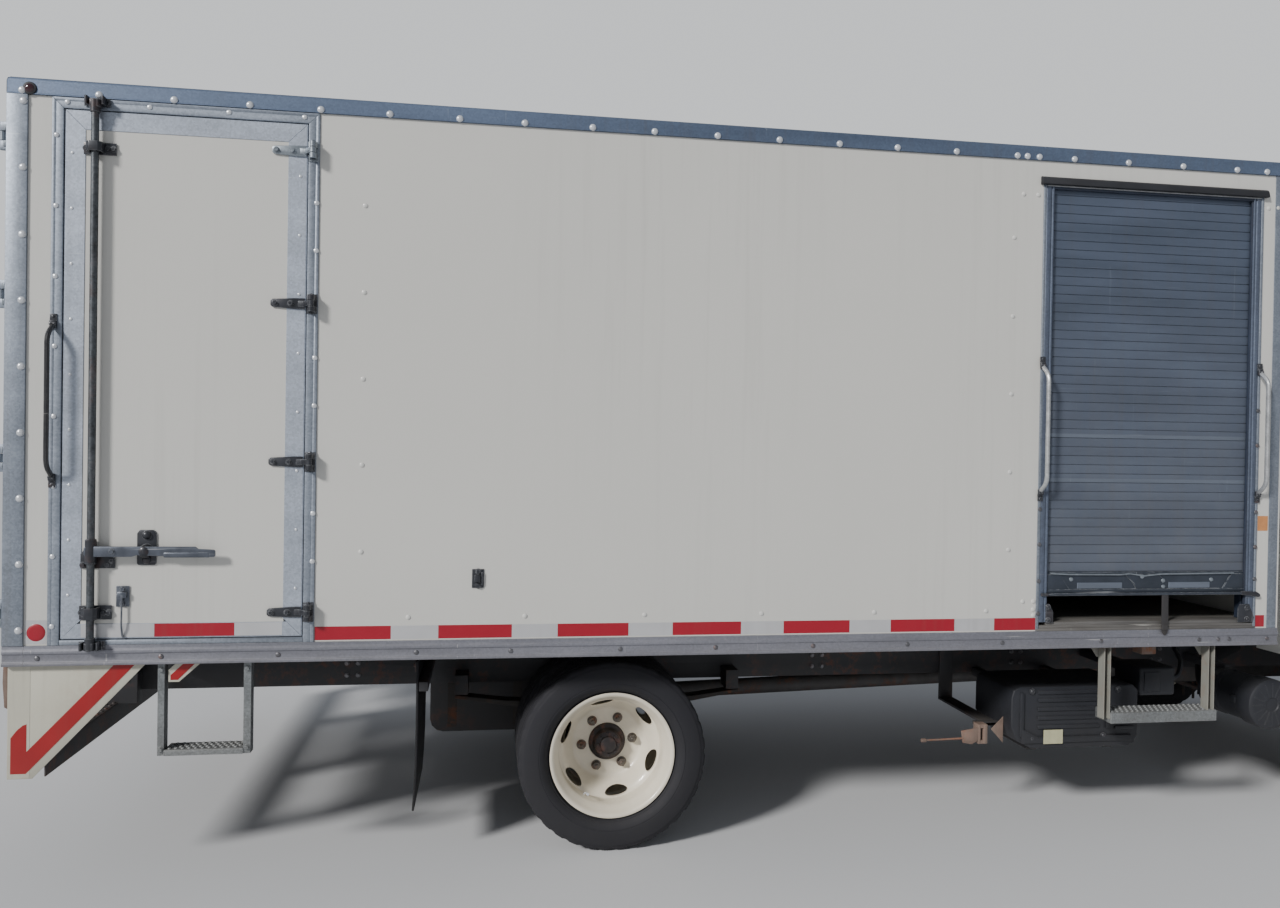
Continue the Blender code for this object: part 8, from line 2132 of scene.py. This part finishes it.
def dashboard():
    shape = bmesh.new()
    outline = [(3.128, 1.124), (3.44, 1.124), (3.44, 1.36), (3.42, 1.376), (3.23, 1.398), (3.16, 1.394),
            (3.128, 1.38), (3.034, 1.312), (3.03, 1.296), (3.04, 1.285)]
    slab(shape, outline, "Y", -0.895, 0.895, 0.008, 2)
    shape = joined(shape, "INTERSECT", cab_form(0.046, 0.95, 2.0))
    piece("dashboard_moulding", clean(shape), TRIM_DARK, "cab", ("dashboard",))
    extras = bmesh.new()
    slab(extras, [(3.03, 1.3), (3.126, 1.378), (3.15, 1.428), (3.12, 1.434), (3.03, 1.36)], "Y", 0.34, 0.74, 0.01,
            3)
    for y in (0.1, -0.1, -0.56, 0.83):
        box(extras, (3.05, y - 0.06, 1.315), (3.11, y + 0.06, 1.37), 0.006, 2)
    box(extras, (3.03, -0.13, 1.16), (3.13, 0.15, 1.29), 0.008, 2)
    axis = Vector((-sin(radians(32)), 0, cos(radians(32))))
    start = Vector((2.86, 0.54, 1.53)) - axis * 0.0506
    rod(extras, tuple(start), tuple(start - axis * 0.3), 0.034, 28, 0.004)
    rod(extras, tuple(start - axis * 0.03), tuple(start - axis * 0.13), 0.048, 28, 0.008)
    for side, tip in ((1, 0.17), (-1, 0.17)):
        root = start - axis * 0.06
        rod(extras, tuple(root), (root.x, root.y + side * tip, root.z + 0.01), 0.0065, 12, 0.002)
    piece("dash_fittings", extras, BLACK, "cab")
    dials = bmesh.new()
    for y in (0.47, 0.61):
        turned(dials, [(0, 0.0015), (0.046, 0.0015), (0.049, 0.003), (0.052, 0.0)], (3.029, y, 1.344),
                (-0.75, 0, 0.62), 36)
    piece("dials", dials, DARK_LAMP, "cab")


def steering_wheel():
    bm = bmesh.new()
    axis = Vector((-sin(radians(32)), 0, cos(radians(32))))
    centre = Vector((2.86, 0.54, 1.53))
    loop = [(0.205 + 0.0135 * cos(tau * s / 16), 0.0135 * sin(tau * s / 16)) for s in range(16)]
    ring(bm, loop, tuple(centre), tuple(axis), 72)
    across = Vector((0, 1, 0))
    other = axis.cross(across)
    for degrees in (0, 180, 270):
        out = cos(radians(degrees)) * across + sin(radians(degrees)) * other
        tube(bm, [tuple(centre - axis * 0.024), tuple(centre - axis * 0.022 + out * 0.07),
                tuple(centre - axis * 0.006 + out * 0.17), tuple(centre + out * 0.198)], 0.0105, 14)
    turned(bm, [(0, -0.004), (0.03, -0.005), (0.044, -0.01), (0.05, -0.018), (0.046, -0.034), (0.034, -0.05),
            (0, -0.05)], tuple(centre), tuple(axis), 40)
    piece("steering_wheel_rim", bm, BLACK, "steering_wheel", ("steering_wheel",))


def mirrors():
    for label, side in (("right", RIGHT), ("left", LEFT)):
        case = bmesh.new()
        y0, y1 = sorted((side * 1.14, side * 1.3095))
        outline = rounded_box((3.326, y0), (3.394, y1), (0.01, 0.03, 0.03, 0.01), 7)
        slab(case, outline, "Z", 1.505, 1.855, 0.008, 3)
        lower = bmesh.new()
        middle = side * 1.225
        path = bent([(3.371, middle, 1.84), (3.371, middle, 1.893), (3.095, side * 0.903, 1.893)], 0.03, 6)
        tube(case, path, 0.0108, 14)
        path = bent([(3.371, middle, 1.52), (3.371, middle, 1.467), (3.295, side * 0.99, 1.467)], 0.03, 6)
        tube(case, path, 0.0108, 14)
        case = joined(case, "DIFFERENCE", cab_form(-0.0004))
        lower.free()
        piece(f"mirror_{label}_case", clean(case), BLACK, "cab", (f"mirror_{label}",), 36)
        glass = bmesh.new()
        for z0, z1 in ((1.615, 1.845), (1.515, 1.608)):
            slab(glass, rounded_box((y0 + 0.008, z0), (y1 - 0.008, z1), (0.01,) * 4, 5), "X", 3.3246, 3.3262,
                    0.0005, 1)
        piece(f"mirror_{label}_glass", glass, MIRROR, "cab")
        feet = bmesh.new()
        turned(feet, [(0, 0.01), (0.014, 0.009), (0.02, 0.004), (0.021, -0.004)], (3.112, side * 0.923, 1.893),
                (0.5, side, 0.1), 20)
        turned(feet, [(0, 0.01), (0.014, 0.009), (0.02, 0.004), (0.021, -0.004)], (3.312, side * 0.995, 1.467),
                (0.4, side, 0.1), 20)
        piece(f"mirror_{label}_feet", feet, BLACK, "cab")


def pressed_along(path, section):
    """A folded sheet that follows a flat path. Section: distance out from the path, and height."""
    rows = []
    ends = [path[0]] + path + [path[-1]]
    for before, here, after in zip(ends, path, ends[2:]):
        edges = [(Vector(b) - Vector(a)).normalized() for a,
                b in ((before, here), (here, after)) if dist(a, b) > 1e-6]
        normals = [Vector((edge.y, -edge.x)) for edge in edges]
        middle = sum(normals, Vector((0, 0))).normalized()
        reach = middle / max(middle.dot(normals[0]), 0.3)
        rows.append([(here[0] + out * reach.x, here[1] + out * reach.y, height) for out, height in section])
    return loft(rows)


def front_bumper():
    path = rounded_box((3.041, -1.019), (3.587, 1.019), (0, 0.16, 0.16, 0), 16)
    section = [(-0.0185, 0.421), (-0.013, 0.421), (-0.004, 0.424), (0.0, 0.432), (0.0, 0.598), (-0.002, 0.601),
            (-0.006, 0.603), (-0.006, 0.616), (-0.002, 0.618), (0.0, 0.621), (0.0, 0.684), (-0.004, 0.693),
            (-0.014, 0.698), (-0.0185, 0.699), (-0.0185, 0.694), (-0.016, 0.693), (-0.01, 0.69), (-0.008, 0.684),
            (-0.01, 0.62), (-0.01, 0.6), (-0.008, 0.598), (-0.008, 0.432), (-0.01, 0.428), (-0.014, 0.427),
            (-0.0185, 0.427)]
    shape = pressed_along(path, section)
    slots = bmesh.new()
    box(slots, (3.5, -0.42, 0.47), (3.7, 0.42, 0.545), 0.012, 3)
    for side in (RIGHT, LEFT):
        y0, y1 = sorted((side * 0.6, side * 0.8))
        box(slots, (3.5, y0, 0.48), (3.7, y1, 0.58), 0.02, 4)
    shape = joined(shape, "DIFFERENCE", slots)
    piece("front_bumper_pressing", clean(shape), BUMPER, stands_for=("front_bumper",), smooth=30)
    black = bmesh.new()
    for z in (0.488, 0.508, 0.528):
        box(black, (3.555, -0.43, z - 0.005), (3.58, 0.43, z + 0.005), 0.002)
    box(black, (3.548, -0.43, 0.462), (3.556, 0.43, 0.552), 0.001)
    for side in (RIGHT, LEFT):
        y0, y1 = sorted((side * 0.59, side * 0.81))
        box(black, (3.56, y0, 0.472), (3.569, y1, 0.59), 0.002)
        y0, y1 = sorted((side * 0.366, side * 0.4205))
        box(black, (3.201, y0, 0.481), (3.57, y1, 0.559), 0.003)
    piece("bumper_grilles", black, BLACK)
    treads = bmesh.new()
    for side in (RIGHT, LEFT):
        y0, y1 = sorted((side * 0.765, side * 0.999))
        serrated_tread(treads, 3.048, 3.29, y0, y1, 0.426, 0.459)
    piece("entry_steps", treads, STEP_ZINC)
    lamps, rims = bmesh.new(), bmesh.new()
    for side in (RIGHT, LEFT):
        place = (3.569, side * 0.7, 0.53)
        turned(lamps, [(0, 0.012), (0.02, 0.011), (0.036, 0.007), (0.04, 0.0)], place, (1, 0, 0), 36)
        ring(rims, [(0.0395, 0.0), (0.0395, 0.01), (0.043, 0.0115), (0.046, 0.008), (0.046, 0.0)], place, (1, 0, 0),
                36)
    piece("fog_lamps", lamps, CLEAR_LAMP)
    piece("fog_lamp_rims", rims, CHROME, slot="castings")
    plate = bmesh.new()
    slab(plate, rounded_box((-0.155, 0.628), (0.155, 0.694), (0.008,) * 4, 4), "X", 3.5872, 3.5892, 0.0006, 1)
    piece("blank_front_plate", plate, WHITE_TAPE, slot="cab_paint")


def cab():
    for make in (cab_shell, glass_and_seals, cab_doors, cab_face, seats, dashboard, steering_wheel, mirrors,
            front_bumper):
        make()


cab()


# Studio


def look(camera, place, yaw, pitch, roll):
    """Aims the camera: yaw from +Y towards +X, pitch up, then roll about the view."""
    yaw, pitch, roll = (radians(value) for value in (yaw, pitch, roll))
    ahead = Vector((sin(yaw) * cos(pitch), cos(yaw) * cos(pitch), sin(pitch)))
    side = Vector((cos(yaw), -sin(yaw), 0))
    up = side.cross(ahead)
    right = cos(roll) * side + sin(roll) * up
    top = cos(roll) * up - sin(roll) * side
    turn = Matrix((right, top, -ahead)).transposed().to_4x4()
    camera.matrix_world = Matrix.Translation(place) @ turn


def studio():
    ground = bmesh.new()
    ops.create_grid(ground, x_segments=1, y_segments=1, size=60)
    mesh = bpy.data.meshes.new("ground")
    ground.to_mesh(mesh)
    ground.free()
    floor = bpy.data.objects.new("ground", mesh)
    SCENE.collection.objects.link(floor)
    surface = bpy.data.materials.new("studio_floor")
    surface.use_nodes = True
    shader = surface.node_tree.nodes["Principled BSDF"]
    shader.inputs["Base Color"].default_value = tint(206, 207, 209)
    shader.inputs["Roughness"].default_value = 0.9
    mesh.materials.append(surface)
    camera = bpy.data.objects.new("camera", bpy.data.cameras.new("camera"))
    SCENE.collection.objects.link(camera)
    camera.data.sensor_width = 36
    camera.data.lens = 36 * 977.07 / 1280
    camera.data.clip_end = 200
    look(camera, (-1.837, -5.025, 1.679), 8.829, -0.548, 0.92)
    SCENE.camera = camera
    sun = bpy.data.objects.new("key", bpy.data.lights.new("key", "SUN"))
    sun.data.energy = 3.7
    sun.data.angle = radians(9)
    sun.data.color = (1.0, 0.985, 0.96)
    sun.rotation_euler = Vector((0.68, 0.54, -0.5)).to_track_quat("-Z", "Y").to_euler()
    SCENE.collection.objects.link(sun)
    world = bpy.data.worlds.new("studio")
    world.use_nodes = True
    SCENE.world = world
    work = Wiring(world.node_tree)
    output = world.node_tree.nodes["World Output"]
    light = world.node_tree.nodes["Background"]
    height = work.add("SeparateXYZ", Vector=work.add("TexCoord").outputs["Generated"]).outputs[2]
    dome = work.mix(work.span(height, 0.0, 0.8), (0.8, 0.82, 0.86, 1), (0.52, 0.56, 0.62, 1))
    work.feed(light.inputs["Color"], dome)
    light.inputs["Strength"].default_value = 0.52
    pale = work.add("Background", Color=(0.8, 0.82, 0.84, 1), Strength=1.0)
    path = work.add("LightPath")
    seen = work.math("MAXIMUM", path.outputs["Is Camera Ray"],
            work.math("MULTIPLY", path.outputs["Is Transmission Ray"], 0.8))
    both = work.add("MixShader")
    work.feed(both.inputs[0], seen)
    work.feed(both.inputs[1], light.outputs[0])
    work.feed(both.inputs[2], pale.outputs[0])
    world.node_tree.links.new(both.outputs[0], output.inputs["Surface"])


studio()
